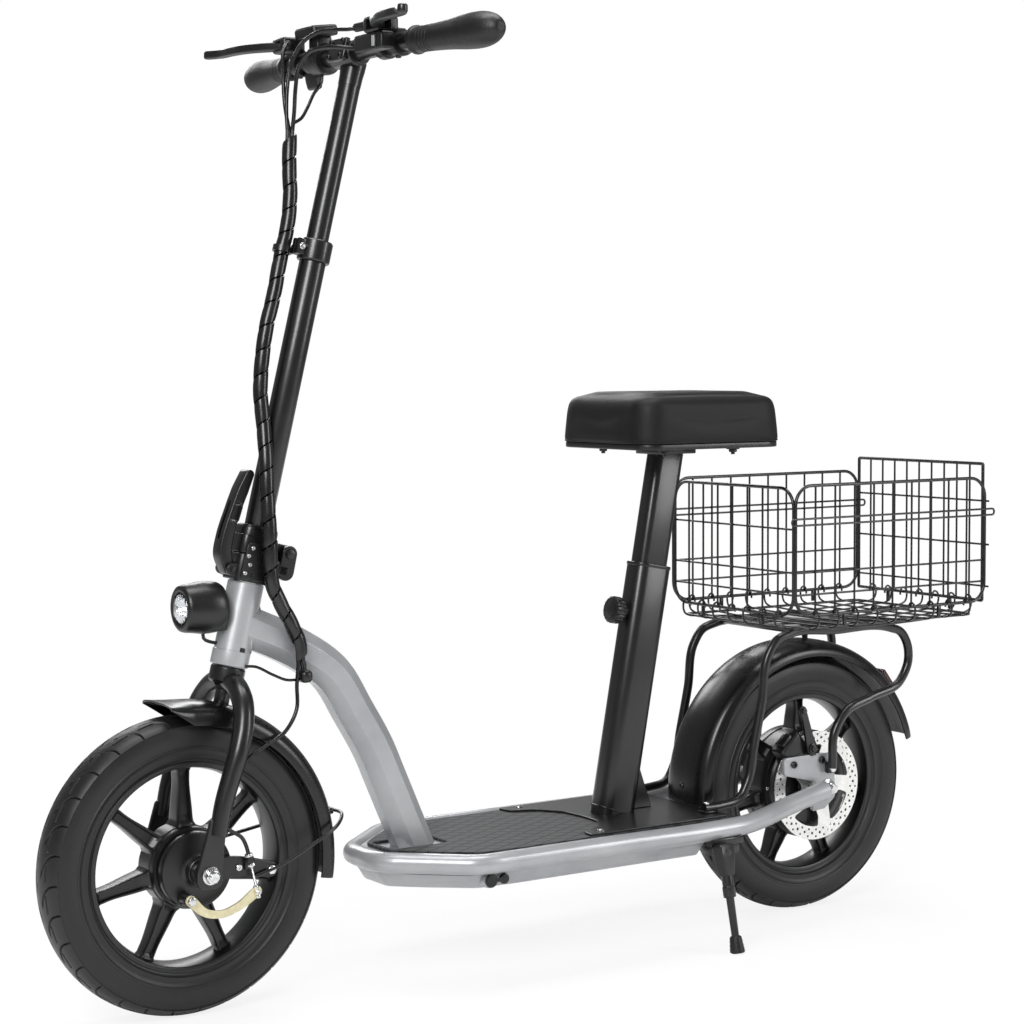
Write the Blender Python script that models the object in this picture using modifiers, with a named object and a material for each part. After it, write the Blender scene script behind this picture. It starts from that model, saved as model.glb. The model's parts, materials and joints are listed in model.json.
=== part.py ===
# Electric scooter with a seat, a wire basket and a kickstand.
# Everything is modelled with X running back from the front axle, Y to the rider's right
# and Z up from the floor. The root empty then centres the part along X.

import bpy
import bmesh
from math import atan2, ceil, cos, pi, radians, sin, sqrt, tan
from mathutils import Matrix, Vector

# Clearances
GAP = 0.0003
RUNNING = 0.0004

# Wheels and axles
WHEELBASE = 1.000
TYRE_RADIUS = 0.189
TYRE_WIDTH = 0.062
TREAD_FLAT = 0.030
RIM_SEAT_RADIUS = 0.1266
RIM_OPENING_RADIUS = 0.1217
RIM_WIDTH = 0.0456
WHEEL_STEPS = 24
SPOKES = 7
SPOKE_THICKNESS = 0.018
AXLE_RADIUS = 0.006
AXLE_HEIGHT = TYRE_RADIUS * cos(pi / WHEEL_STEPS)

# Front hub with drum brake
DRUM_RADIUS = 0.051
DRUM_LEFT = -0.028
DRUM_RIGHT = 0.036
BRAKE_PLATE_RADIUS = 0.048
BRAKE_PLATE_OUTER = -0.045
TORQUE_ARM_OUTER = -0.058
ARM_THICKNESS = 0.004

# Rear hub motor and disc brake
MOTOR_RADIUS = 0.078
MOTOR_HALF_WIDTH = 0.040
MOTOR_WALL = 0.005
DISC_RADIUS = 0.080
DISC_THICKNESS = 0.0018
DISC_Y = -0.050

# Steering axis and head tube
RAKE = radians(14)
HEAD_X = 0.082
HEAD_ABOVE_AXLE = 0.2957
HEAD_LENGTH = 0.107
HEAD_RADIUS = 0.023
HEAD_BORE_RADIUS = 0.0165
STEERER_RADIUS = 0.0143

# Fork
FORK_SPREAD = 0.0775
BLADE_THICKNESS = 0.006
LEG_RADIUS_TOP = 0.0135
LEG_RADIUS_BOTTOM = 0.011

# Mudguards
FRONT_GUARD_RADIUS = 0.2065
REAR_GUARD_RADIUS = 0.212
GUARD_THICKNESS = 0.0026
GUARD_STEP = 12
FRONT_GUARD_START = 98
REAR_GUARD_START = 183

# Folding stem
FOLD_PIVOT_N = 0.0432
FOLD_PIVOT_T = 0.0994
FOLD_PIN_RADIUS = 0.004
LEVER_PIVOT_N = -0.0308
LEVER_PIVOT_T = 0.0655
STEM_RADIUS = 0.017
STEM_UPPER_RADIUS = 0.0143
STEM_SOCKET_TOP = 0.490
STEM_UPPER_BOTTOM = 0.330

# Handlebar
BAR_N = -0.009
BAR_T = 0.7408
BAR_RADIUS = 0.0111
BAR_STRAIGHT = 0.145
BAR_HALF_WIDTH = 0.310
BAR_SWEEP = 0.024
LEVER_THICKNESS = 0.007

# Deck
RAIL_RADIUS = 0.0135
RAIL_Y = 0.127
RAIL_Z = 0.163
DECK_PLATE_TOP = 0.1712
DECK_PLATE_THICKNESS = 0.004
DECK_HALF_WIDTH = 0.118
MAT_THICKNESS = 0.004
COVER_THICKNESS = 0.003
TRAY_BOTTOM = 0.128
TRAY_WALL = 0.002
MAIN_TUBE_RADIUS = 0.02814
MAIN_TUBE_WALL = 0.0027

# Seat
SEAT_LEAN = radians(10.7)
SEAT_BASE_X = 0.6655
SLEEVE_DEPTH = 0.060
SLEEVE_WIDTH = 0.042
POST_DEPTH = 0.050
POST_WIDTH = 0.032
POST_WALL = 0.002
SLEEVE_LENGTH = 0.3516
POST_BOTTOM = 0.183
POST_TOP = 0.514
KNOB_S = 0.280
SEAT_X = 0.770
SEAT_LENGTH = 0.260
SEAT_WIDTH = 0.220
SEAT_TOP = 0.766

# Rear frame, rack and basket
DROPOUT_INNER = 0.0682
DROPOUT_THICKNESS = 0.006
RACK_Y = 0.085
RACK_RADIUS = 0.0065
RACK_BAR_RADIUS = 0.005
BASKET_FRONT = 0.882
BASKET_REAR = 1.249
BASKET_HALF_WIDTH = 0.139
BASKET_FLOOR = 0.4292
BASKET_SIDE_BOTTOM = 0.449
BASKET_SIDE_TOP = 0.6365
BASKET_FRONT_TOP = 0.633
BASKET_REAR_TOP = 0.657
PANEL_THICKNESS = 0.004
WIRE = 0.003
FRAME_WIRE = 0.005
LATCH_DROP = 0.047
LATCH_SPREAD = 0.012
LATCH_REAR = 0.019

# Kickstand
KICKSTAND_X = 0.748
KICKSTAND_Y = -0.146
KICKSTAND_Z = 0.137
KICKSTAND_FOOT = (0.752, -0.172)

# Cables
BRAKE_CABLE_RADIUS = 0.0025
LOOM_RADIUS = 0.0026
WRAP_RADIUS = 0.0089
WRAP_THICKNESS = 0.0012
WRAP_PITCH = 0.031
WRAP_BAND = 0.0298
WRAP_POINTS_PER_TURN = 8

FRONT = Vector((0, 0, AXLE_HEIGHT))
REAR = Vector((WHEELBASE, 0, AXLE_HEIGHT))
HEAD = Vector((HEAD_X, 0, AXLE_HEIGHT + HEAD_ABOVE_AXLE))
STEER = Matrix.Translation(HEAD) @ Matrix.Rotation(RAKE, 4, "Y")
MAT_TOP = DECK_PLATE_TOP + GAP + MAT_THICKNESS
COVER_TOP = MAT_TOP + GAP + COVER_THICKNESS
SEAT_FRAME = Matrix.Translation((SEAT_BASE_X, 0, COVER_TOP)) @ Matrix.Rotation(SEAT_LEAN, 4, "Y")
BAR_CENTRE = STEER @ Vector((BAR_N, 0, BAR_T))
UPRIGHT = Matrix.Rotation(radians(90), 4, "X")
ACROSS = Matrix.Rotation(radians(-90), 4, "X")
LATCH_HIGH = BASKET_SIDE_TOP - LATCH_DROP
LATCH_LOW = LATCH_HIGH - LATCH_SPREAD
LATCH_END = BASKET_REAR + LATCH_REAR
FRONT_AXLE_X = -(LATCH_END - AXLE_HEIGHT) / 2

# A clean scene with one collection for the parts and one for their cutters
for old in list(bpy.data.objects):
    bpy.data.objects.remove(old, do_unlink=True)
parts = bpy.data.collections.new("electric_scooter")
cutters = bpy.data.collections.new("cutters")
bpy.context.scene.collection.children.link(parts)
bpy.context.scene.collection.children.link(cutters)
pivots = {}
rests = {}


# Places and parents

def addBody(name, place, turn=None, parent=None):
    rest = Matrix.Translation(place) @ (turn or Matrix())
    empty = bpy.data.objects.new(name + "_pivot", None)
    parts.objects.link(empty)
    if parent:
        empty.parent = pivots[parent]
        empty.matrix_parent_inverse = rests[parent].inverted()
        empty.matrix_basis = rest
        rests[name] = rest
    else:
        empty.matrix_basis = rest
        rests[name] = Matrix()
    pivots[name] = empty


def attach(item, bodyName):
    item.parent = pivots[bodyName]
    item.matrix_parent_inverse = rests[bodyName].inverted()


def paint(name, colour, roughness, metallic):
    material = bpy.data.materials.get(name)
    if material is None:
        material = bpy.data.materials.new(name)
        material.use_nodes = True
        shader = material.node_tree.nodes["Principled BSDF"]
        shader.inputs["Base Color"].default_value = (*colour, 1)
        shader.inputs["Roughness"].default_value = roughness
        shader.inputs["Metallic"].default_value = metallic
    return material


def finish(item, bodyName, material):
    attach(item, bodyName)
    item.data.materials.clear()
    item.data.materials.append(material)
    return item


def hide(item):
    parts.objects.unlink(item)
    cutters.objects.link(item)
    attach(item, "frame")
    item.hide_render = True
    item.display_type = "WIRE"


# Modelling tools

def objectFrom(name, data, matrix=None):
    item = bpy.data.objects.new(name, data)
    parts.objects.link(item)
    item.matrix_basis = matrix or Matrix()
    return item


def meshFrom(name, work, matrix=None, smooth=30):
    mesh = bpy.data.meshes.new(name)
    work.to_mesh(mesh)
    work.free()
    if smooth:
        mesh.shade_smooth()
        mesh.set_sharp_from_angle(angle=radians(smooth))
    return objectFrom(name, mesh, matrix)


def asMesh(item):
    bpy.context.view_layer.update()
    evaluated = item.evaluated_get(bpy.context.evaluated_depsgraph_get())
    mesh = bpy.data.meshes.new_from_object(evaluated)
    work = bmesh.new()
    work.from_mesh(mesh)
    bmesh.ops.remove_doubles(work, verts=work.verts, dist=0.00001)
    name = item.name
    matrix = item.matrix_world.copy()
    bpy.data.objects.remove(item, do_unlink=True)
    return meshFrom(name, work, matrix)


def bevel(item, width, segments=1):
    modifier = item.modifiers.new("Bevel", "BEVEL")
    modifier.width = width
    modifier.segments = segments
    modifier.limit_method = "ANGLE"
    modifier.angle_limit = radians(40)
    return item


def box(name, low, high, width=0, matrix=None):
    low = Vector(low)
    high = Vector(high)
    size = high - low
    place = Matrix.Translation((low + high) / 2) @ Matrix.Diagonal((*size, 1))
    work = bmesh.new()
    bmesh.ops.create_cube(work, size=1, matrix=place)
    item = meshFrom(name, work, matrix, smooth=0)
    return bevel(item, width) if width else item


def rod(name, start, end, radius, sides=16, endRadius=None, matrix=None):
    start = Vector(start)
    end = Vector(end)
    along = end - start
    turn = along.to_track_quat("Z", "Y").to_matrix().to_4x4()
    place = Matrix.Translation((start + end) / 2) @ turn
    work = bmesh.new()
    bmesh.ops.create_cone(work, cap_ends=True, segments=sides, radius1=radius,
                          radius2=radius if endRadius is None else endRadius, depth=along.length,
                          matrix=place)
    return meshFrom(name, work, matrix)


def turned(name, profile, steps, matrix, closed=True, sweep=360):
    edges = [(index, index + 1) for index in range(len(profile) - 1)]
    if closed:
        edges.append((len(profile) - 1, 0))
    mesh = bpy.data.meshes.new(name)
    mesh.from_pydata([(radius, 0, height) for radius, height in profile], edges, [])
    item = objectFrom(name, mesh, matrix)
    screw = item.modifiers.new("Screw", "SCREW")
    screw.angle = radians(sweep)
    screw.steps = steps
    screw.render_steps = steps
    screw.use_merge_vertices = True
    screw.merge_threshold = 0.00001
    return item


def solidify(item, thickness):
    modifier = item.modifiers.new("Solidify", "SOLIDIFY")
    modifier.thickness = thickness
    modifier.offset = -1
    return item


def plate(name, outline, thickness, matrix=None, holes=()):
    curve = bpy.data.curves.new(name, "CURVE")
    curve.dimensions = "2D"
    curve.fill_mode = "BOTH"
    curve.extrude = thickness / 2
    for loop in [outline, *holes]:
        spline = curve.splines.new("POLY")
        spline.points.add(len(loop) - 1)
        for point, (x, y) in zip(spline.points, loop):
            point.co = (x, y, 0, 1)
        spline.use_cyclic_u = True
    return asMesh(objectFrom(name, curve, matrix))


def tube(name, route, radius, sides=8, factors=None, tilt=0.0, matrix=None):
    curve = bpy.data.curves.new(name, "CURVE")
    curve.dimensions = "3D"
    curve.bevel_depth = radius
    curve.bevel_resolution = (sides - 4) // 2
    curve.use_fill_caps = True
    spline = curve.splines.new("POLY")
    spline.points.add(len(route) - 1)
    for index, place in enumerate(route):
        spline.points[index].co = (*place, 1)
        spline.points[index].tilt = tilt
        if factors:
            spline.points[index].radius = factors[index]
    return asMesh(objectFrom(name, curve, matrix))


def join(item, others, operation="UNION"):
    for other in others:
        modifier = item.modifiers.new(other.name, "BOOLEAN")
        modifier.operation = operation
        modifier.object = other
        hide(other)
    return item


def cut(item, others):
    return join(item, others, "DIFFERENCE")


# Outlines and routes

def circle(centre, radius, steps=20):
    angles = [2 * pi * step / steps for step in range(steps)]
    return [(centre[0] + radius * cos(angle), centre[1] + radius * sin(angle)) for angle in angles]


def rounded(corners, steps=4):
    outline = []
    for index, (x, y, radius) in enumerate(corners):
        here = Vector((x, y))
        if radius == 0:
            outline.append((x, y))
            continue
        before = (Vector(corners[index - 1][:2]) - here).normalized()
        after = (Vector(corners[(index + 1) % len(corners)][:2]) - here).normalized()
        half = before.angle(after) / 2
        centre = here + (before + after).normalized() * radius / sin(half)
        start = here + before * radius / tan(half) - centre
        end = here + after * radius / tan(half) - centre
        first = atan2(start.y, start.x)
        turn = (atan2(end.y, end.x) - first + pi) % (2 * pi) - pi
        for step in range(steps + 1):
            angle = first + turn * step / steps
            outline.append((centre.x + radius * cos(angle), centre.y + radius * sin(angle)))
    return outline


def rectangle(low, high, radius=0, steps=4):
    corners = [(low[0], low[1]), (high[0], low[1]), (high[0], high[1]), (low[0], high[1])]
    return rounded([(x, y, radius) for x, y in corners], steps)


def strip(path, halfWidths, steps=4):
    last = len(path) - 1
    left = []
    right = []
    for index, place in enumerate(path):
        along = (Vector(path[min(index + 1, last)]) - Vector(path[max(index - 1, 0)])).normalized()
        side = Vector((-along.y, along.x)) * halfWidths[index]
        left.append(tuple(Vector(place) + side))
        right.append(tuple(Vector(place) - side))
    endCap = arcBetween(path[last], left[last], right[last], steps)
    startCap = arcBetween(path[0], right[0], left[0], steps)
    return left + endCap + right[::-1] + startCap


def arcBetween(centre, start, end, steps):
    radius = (Vector(start) - Vector(centre)).length
    first = atan2(start[1] - centre[1], start[0] - centre[0])
    angles = [first - pi * step / steps for step in range(1, steps)]
    return [(centre[0] + radius * cos(angle), centre[1] + radius * sin(angle)) for angle in angles]


def evenRoute(points, spacing):
    knots = [Vector(point) for point in points]
    last = len(knots) - 1
    lengths = [(after - before).length for before, after in zip(knots, knots[1:])]
    slopes = []
    for index in range(last + 1):
        before = lengths[max(index - 1, 0)]
        after = lengths[min(index, last - 1)]
        arriving = (knots[max(index, 1)] - knots[max(index, 1) - 1]) / before
        leaving = (knots[min(index + 1, last)] - knots[min(index + 1, last) - 1]) / after
        slopes.append((leaving * before + arriving * after) / (before + after))
    route = [knots[0]]
    for index, length in enumerate(lengths):
        count = max(1, round(length / spacing))
        for step in range(1, count + 1):
            t = step / count
            place = knots[index] * (2 * t ** 3 - 3 * t ** 2 + 1) + knots[index + 1] * (3 * t ** 2 - 2 * t ** 3)
            lean = slopes[index] * (t ** 3 - 2 * t ** 2 + t) + slopes[index + 1] * (t ** 3 - t ** 2)
            route.append(place + lean * length)
    return route


def thinned(route, allowed):
    # Leaves out points as long as the chord stays this close to the curve.
    kept = [route[0]]
    first = 0
    while first < len(route) - 1:
        last = first + 1
        while last + 1 < len(route) and bulge(route[first:last + 2]) < allowed:
            last += 1
        kept.append(route[last])
        first = last
    return kept


def bulge(points):
    chord = (points[-1] - points[0]).normalized()
    return max((point - points[0] - chord * chord.dot(point - points[0])).length for point in points[1:-1])


def smoothRoute(points, allowed):
    return thinned(evenRoute(points, 0.006), allowed)


def mirrored(points):
    return [(x, -y, z) for x, y, z in points]


def around(centre, angle, radius, y=0):
    return Vector((centre.x + radius * cos(angle), y, centre.z + radius * sin(angle)))


# Colours

SILVER = paint("silver_paint", (0.42, 0.43, 0.44), 0.35, 0.5)
BLACK_METAL = paint("satin_black_metal", (0.022, 0.022, 0.023), 0.42, 0.3)
BLACK_CAST = paint("black_cast_alloy", (0.020, 0.020, 0.021), 0.5, 0.3)
BLACK_PLASTIC = paint("black_plastic", (0.018, 0.018, 0.019), 0.45, 0.0)
TYRE_RUBBER = paint("tyre_rubber", (0.013, 0.013, 0.014), 0.75, 0.0)
GRIP_RUBBER = paint("grip_rubber", (0.015, 0.015, 0.016), 0.7, 0.0)
MAT_RUBBER = paint("mat_rubber", (0.045, 0.045, 0.047), 0.8, 0.0)
BRIGHT_STEEL = paint("bright_steel", (0.62, 0.62, 0.62), 0.25, 1.0)
GOLD_ZINC = paint("yellow_zinc", (0.50, 0.44, 0.22), 0.35, 0.9)
CLEAR_LENS = paint("clear_lens", (0.85, 0.86, 0.88), 0.05, 0.0)
RED_LENS = paint("dark_red_lens", (0.10, 0.006, 0.006), 0.15, 0.0)
VINYL = paint("black_vinyl", (0.012, 0.012, 0.012), 0.35, 0.0)
GREY_PLASTIC = paint("grey_plastic", (0.30, 0.30, 0.30), 0.5, 0.0)
CABLE_BLACK = paint("cable_black", (0.012, 0.012, 0.013), 0.5, 0.0)
BATTERY_BLUE = paint("battery_sleeve", (0.02, 0.06, 0.22), 0.4, 0.0)


# Bodies with their pivots

def makeBodies():
    upright = Matrix.Rotation(RAKE, 4, "Y")
    lean = Matrix.Rotation(SEAT_LEAN, 4, "Y")
    addBody("frame", (FRONT_AXLE_X, 0, 0))
    addBody("fork", HEAD, upright, "frame")
    addBody("front_wheel", FRONT, None, "fork")
    addBody("front_brake_arm", brakeArmPivot, None, "fork")
    addBody("stem_lower", STEER @ Vector((FOLD_PIVOT_N, 0, FOLD_PIVOT_T)), None, "fork")
    addBody("fold_lever", STEER @ Vector((LEVER_PIVOT_N, 0, LEVER_PIVOT_T)), None, "fork")
    addBody("stem_upper", STEER @ Vector((0, 0, STEM_SOCKET_TOP)), upright, "stem_lower")
    addBody("left_brake_lever", leverPivot(-1), None, "stem_upper")
    addBody("right_brake_lever", leverPivot(1), None, "stem_upper")
    addBody("throttle_paddle", BAR_CENTRE, None, "stem_upper")
    addBody("switch_rocker", rockerPivot, None, "stem_upper")
    addBody("rear_wheel", REAR, None, "frame")
    addBody("caliper_arm", caliperPivot, None, "frame")
    addBody("kickstand", (KICKSTAND_X, KICKSTAND_Y, KICKSTAND_Z), None, "frame")
    addBody("seat", SEAT_FRAME @ Vector((0, 0, SLEEVE_LENGTH)), lean, "frame")
    addBody("seat_knob", SEAT_FRAME @ Vector((-SLEEVE_DEPTH / 2, 0, KNOB_S)), lean, "frame")
    addBody("charge_cap", capPivot, None, "frame")


def leverPivot(side):
    return BAR_CENTRE + Vector((-0.0305, side * 0.125, 0.021))


brakeArmPivot = FRONT + Vector((-0.020, (TORQUE_ARM_OUTER - 0.0062 - ARM_THICKNESS / 2), -0.0314))
caliperPivot = REAR + Vector((-0.0275, -0.0710, 0.0601))
rockerPivot = BAR_CENTRE + Vector((-0.0365, -0.125, 0.0005))
capPivot = Vector((0.3935, -0.1262, 0.1400))
makeBodies()


# Wheels

def wheelTurn(centre):
    # A flat of the tyre lies on the floor.
    return Matrix.Translation(centre) @ ACROSS @ Matrix.Rotation(pi / WHEEL_STEPS, 4, "Z")


def makeTyre(name, centre):
    half = TYRE_WIDTH / 2
    tread = TREAD_FLAT / 2
    bead = RIM_WIDTH / 2 - 0.0024
    outer = [(RIM_SEAT_RADIUS + RUNNING, bead), (RIM_SEAT_RADIUS + 0.0066, bead),
             (TYRE_RADIUS - 0.024, half), (TYRE_RADIUS, tread)]
    inner = RIM_SEAT_RADIUS + RUNNING
    profile = outer + [(radius, -height) for radius, height in reversed(outer)]
    profile += [(inner, 0.0054 - bead), (TYRE_RADIUS - 0.010, 0), (inner, bead - 0.0054)]
    return turned(name, profile, WHEEL_STEPS, wheelTurn(centre))


def makeWheel(name, centre, hub, hubRadius):
    lip = RIM_WIDTH / 2
    side = [(RIM_OPENING_RADIUS + 0.0028, lip), (RIM_SEAT_RADIUS + 0.0059, lip),
            (RIM_SEAT_RADIUS, lip - 0.0021)]
    profile = side + [(radius, -height) for radius, height in reversed(side)]
    profile.append((RIM_OPENING_RADIUS, 0))
    rim = turned(name, profile, WHEEL_STEPS, wheelTurn(centre))
    inside = hubRadius - 0.003
    outside = RIM_OPENING_RADIUS + 0.0025
    shape = [(inside, -0.0105), (outside, -0.0105), (outside, 0.0105), (inside, 0.0105)]
    spokes = []
    for index in range(SPOKES):
        angle = pi / 2 + 2 * pi * index / SPOKES
        spokes.append([(reach * cos(angle) - across * sin(angle), reach * sin(angle) + across * cos(angle))
                       for reach, across in shape])
    spokes = plate(name + "_spokes", spokes[0], SPOKE_THICKNESS, Matrix.Translation(centre) @ UPRIGHT,
                   spokes[1:])
    return join(rim, [hub, spokes])


def makeFrontWheel():
    bore = AXLE_RADIUS + 0.0006
    profile = [(0.021, DRUM_RIGHT), (0.033, DRUM_RIGHT - 0.006), (DRUM_RADIUS, DRUM_RIGHT - 0.016),
               (DRUM_RADIUS, DRUM_LEFT), (bore, DRUM_LEFT), (bore, DRUM_RIGHT)]
    hub = turned("front_hub", profile, 16, Matrix.Translation(FRONT) @ ACROSS)
    finish(makeWheel("front_wheel", FRONT, hub, DRUM_RADIUS), "front_wheel", BLACK_CAST)
    finish(makeTyre("front_tyre", FRONT), "front_wheel", TYRE_RUBBER)


def makeRearWheel():
    bore = AXLE_RADIUS + 0.0015
    half = MOTOR_HALF_WIDTH
    boss = DISC_Y + DISC_THICKNESS / 2 + GAP
    wall = MOTOR_WALL
    profile = [(0.055, half), (MOTOR_RADIUS, half - 0.010), (MOTOR_RADIUS, 0.010 - half), (0.055, -half),
               (0.022, -half), (0.022, boss), (bore, boss), (bore, 2 * wall - half),
               (MOTOR_RADIUS - wall, 2 * wall - half), (MOTOR_RADIUS - wall, half - 2 * wall),
               (bore, half - 2 * wall), (bore, half)]
    hub = turned("motor_shell", profile, 16, Matrix.Translation(REAR) @ ACROSS)
    finish(makeWheel("rear_wheel", REAR, hub, MOTOR_RADIUS), "rear_wheel", BLACK_CAST)
    finish(makeTyre("rear_tyre", REAR), "rear_wheel", TYRE_RUBBER)


def makeBrakeDisc():
    windows = []
    for index in range(5):
        first = radians(72 * index)
        outer = [first + radians(angle) for angle in (9, 36, 63)]
        inner = [first + radians(angle) for angle in (54, 18)]
        window = [(0.061 * cos(angle), 0.061 * sin(angle)) for angle in outer]
        window += [(0.030 * cos(angle), 0.030 * sin(angle)) for angle in inner]
        windows.append(window)
    holes = windows + [circle((0, 0), AXLE_RADIUS + 0.003, 8)]
    disc = plate("brake_disc", circle((0, 0), DISC_RADIUS, 30), DISC_THICKNESS,
                 Matrix.Translation(REAR + Vector((0, DISC_Y, 0))) @ UPRIGHT, holes)
    finish(disc, "rear_wheel", BRIGHT_STEEL)


# Axles and front brake

def makeFrontAxle():
    outside = FORK_SPREAD + BLADE_THICKNESS / 2 + GAP
    inside = FORK_SPREAD - BLADE_THICKNESS / 2 - GAP
    shaft = rod("front_axle", around(FRONT, 0, 0, -outside - 0.0135), around(FRONT, 0, 0, outside + 0.0135),
                AXLE_RADIUS, 10)
    pieces = []
    for side, start in ((-1, -TORQUE_ARM_OUTER + GAP), (1, DRUM_RIGHT + GAP)):
        pieces.append(rod("axle_spacer", around(FRONT, 0, 0, side * start),
                          around(FRONT, 0, 0, side * inside), 0.011, 10))
        pieces.append(rod("axle_washer", around(FRONT, 0, 0, side * outside),
                          around(FRONT, 0, 0, side * (outside + 0.0016)), 0.013, 10))
        pieces.append(rod("axle_nut", around(FRONT, 0, 0, side * (outside + 0.001)),
                          around(FRONT, 0, 0, side * (outside + 0.0095)), 0.0104, 6))
    finish(join(shaft, pieces), "fork", BRIGHT_STEEL)


def makeBrakePlate():
    start = DRUM_LEFT - 0.003
    turn = Matrix.Translation(FRONT) @ ACROSS
    bore = AXLE_RADIUS + GAP
    profile = [(BRAKE_PLATE_RADIUS - 0.003, start), (BRAKE_PLATE_RADIUS, start - 0.003),
               (BRAKE_PLATE_RADIUS, BRAKE_PLATE_OUTER + 0.003), (0.040, BRAKE_PLATE_OUTER),
               (0.018, BRAKE_PLATE_OUTER), (0.018, TORQUE_ARM_OUTER), (bore, TORQUE_ARM_OUTER),
               (bore, start)]
    dish = turned("brake_plate", profile, 16, turn)
    arm = plate("torque_arm",
                strip([(0.000, 0.000), (0.050, 0.000), (0.095, -0.008)], [0.0165, 0.0135, 0.010]),
                0.0076, Matrix.Translation(FRONT + Vector((0, TORQUE_ARM_OUTER + 0.0042, 0))) @ UPRIGHT,
                [circle((0, 0), 0.010, 8)])
    pin = brakeArmPivot
    boss = rod("arm_boss", (pin.x, BRAKE_PLATE_OUTER + 0.003, pin.z),
               (pin.x, TORQUE_ARM_OUTER - 0.0059, pin.z), 0.0075, 6)
    stud = rod("arm_stud", (pin.x, TORQUE_ARM_OUTER, pin.z), (pin.x, pin.y - 0.004, pin.z), 0.004, 8)
    stop = cableStop()
    along = (cableAnchor() - stop).normalized()
    lug = rod("cable_stop", stop, stop + along * 0.008, 0.0055, 8)
    foot = box("stop_foot", (stop.x - 0.005, TORQUE_ARM_OUTER - 0.004, stop.z - 0.014),
               (stop.x + 0.005, TORQUE_ARM_OUTER + 0.002, stop.z - 0.002))
    bore = rod("stop_bore", stop - along * 0.004, stop + along * 0.020, 0.0018, 6)
    finish(cut(join(dish, [arm, boss, stud, foot, lug]), [bore]), "fork", BLACK_CAST)


def cableStop():
    return FRONT + Vector((0.062, TORQUE_ARM_OUTER - 0.0045, 0.0125))


def cableAnchor():
    return FRONT + Vector((0.071, brakeArmPivot.y, -0.030))


def makeBrakeArm():
    pivot = brakeArmPivot
    path = [(0, 0), (0.020, -0.017), (0.042, -0.0205), (0.065, -0.014), (0.090, 0.0005)]
    arm = plate("front_brake_arm", strip(path, [0.008, 0.006, 0.0055, 0.0055, 0.007]), ARM_THICKNESS,
                Matrix.Translation(pivot) @ UPRIGHT, [circle((0, 0), 0.004 + RUNNING, 10)])
    anchor = rod("arm_barrel", (pivot.x + 0.090, pivot.y - 0.0045, pivot.z),
                 (pivot.x + 0.090, pivot.y + 0.0022, pivot.z), 0.0045, 8)
    finish(join(arm, [anchor]), "front_brake_arm", GOLD_ZINC)


# Fork and front mudguard

def legRoute(side):
    upper = [(-0.0165, 0.010, -0.0690), (-0.018, 0.034, -0.0770), (-0.021, 0.053, -0.0915),
             (-0.028, 0.068, -0.116)]
    lower = [(0.043, 0.0765, 0.1497), (0.031, 0.0775, 0.1167), (0.021, 0.0775, 0.0867),
             (0.0125, 0.0775, 0.0477)]
    spread = FORK_SPREAD - 0.0775
    points = [(HEAD.x + x, side * (y + spread * y / 0.0775), HEAD.z + z) for x, y, z in upper]
    points += [(FRONT.x + x, side * (y + spread), FRONT.z + z) for x, y, z in lower]
    return smoothRoute(points, 0.0016)


def makeFork():
    bottom = -HEAD_LENGTH / 2 - GAP
    crown = rod("fork", (0, 0, bottom - 0.0215), (0, 0, bottom), 0.022, 14, matrix=STEER)
    pieces = [rod("steerer", (0, 0, bottom - 0.010), (0, 0, 0.0875), STEERER_RADIUS, 12, matrix=STEER)]
    race = HEAD_BORE_RADIUS - GAP
    for start in (0.035, -0.050):
        pieces.append(rod("bearing_race", (0, 0, start), (0, 0, start + 0.015), race, 12, matrix=STEER))
    plug = rod("guard_boss", (0, 0, bottom - 0.052), (0, 0, bottom - 0.018), 0.010, 10, matrix=STEER)
    pieces.append(cut(plug, [guardClearance(FRONT, FRONT_GUARD_RADIUS, FRONT_GUARD_START)]))
    for side in (-1, 1):
        route = legRoute(side)
        shrink = 1 - LEG_RADIUS_BOTTOM / LEG_RADIUS_TOP
        drop = route[0].z - route[-1].z
        factors = [1 - shrink * (route[0].z - point.z) / drop for point in route]
        pieces.append(tube("fork_leg", route, LEG_RADIUS_TOP, 8, factors))
        outline = rounded([(-0.017, 0.010, 0), (-0.017, -0.017, 0.012), (0.017, -0.017, 0.012),
                           (0.017, 0.010, 0), (0.0225, 0.062, 0), (0.0035, 0.062, 0)], 3)
        place = Matrix.Translation(FRONT + Vector((0, side * FORK_SPREAD, 0))) @ UPRIGHT
        pieces.append(plate("fork_blade", outline, BLADE_THICKNESS, place))
    slots = []
    for side in (-1, 1):
        near = side * (FORK_SPREAD - BLADE_THICKNESS)
        far = side * (FORK_SPREAD + BLADE_THICKNESS)
        slots.append(rod("axle_hole", around(FRONT, 0, 0, near), around(FRONT, 0, 0, far),
                         AXLE_RADIUS + GAP, 12))
        slots.append(box("axle_slot", (-AXLE_RADIUS - GAP, min(near, far), AXLE_HEIGHT - 0.030),
                         (AXLE_RADIUS + GAP, max(near, far), AXLE_HEIGHT)))
    finish(cut(join(crown, pieces), slots), "fork", BLACK_METAL)


def guardTurn(centre, first):
    return Matrix.Translation(centre) @ ACROSS @ Matrix.Rotation(-radians(first), 4, "Z")


def guardClearance(centre, radius, first):
    profile = [(0, 0.020), (radius + GAP, 0.020), (radius + GAP, -0.020), (0, -0.020)]
    return turned("guard_clearance", profile, 360 // GUARD_STEP, guardTurn(centre, first), closed=False)


def makeMudguard(name, centre, radius, section, first, steps):
    profile = [(radius - drop, height) for drop, height in section]
    profile += [(radius - drop, -height) for drop, height in reversed(section)]
    guard = turned(name, profile, steps, guardTurn(centre, first), closed=False, sweep=GUARD_STEP * steps)
    return solidify(guard, GUARD_THICKNESS)


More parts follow.
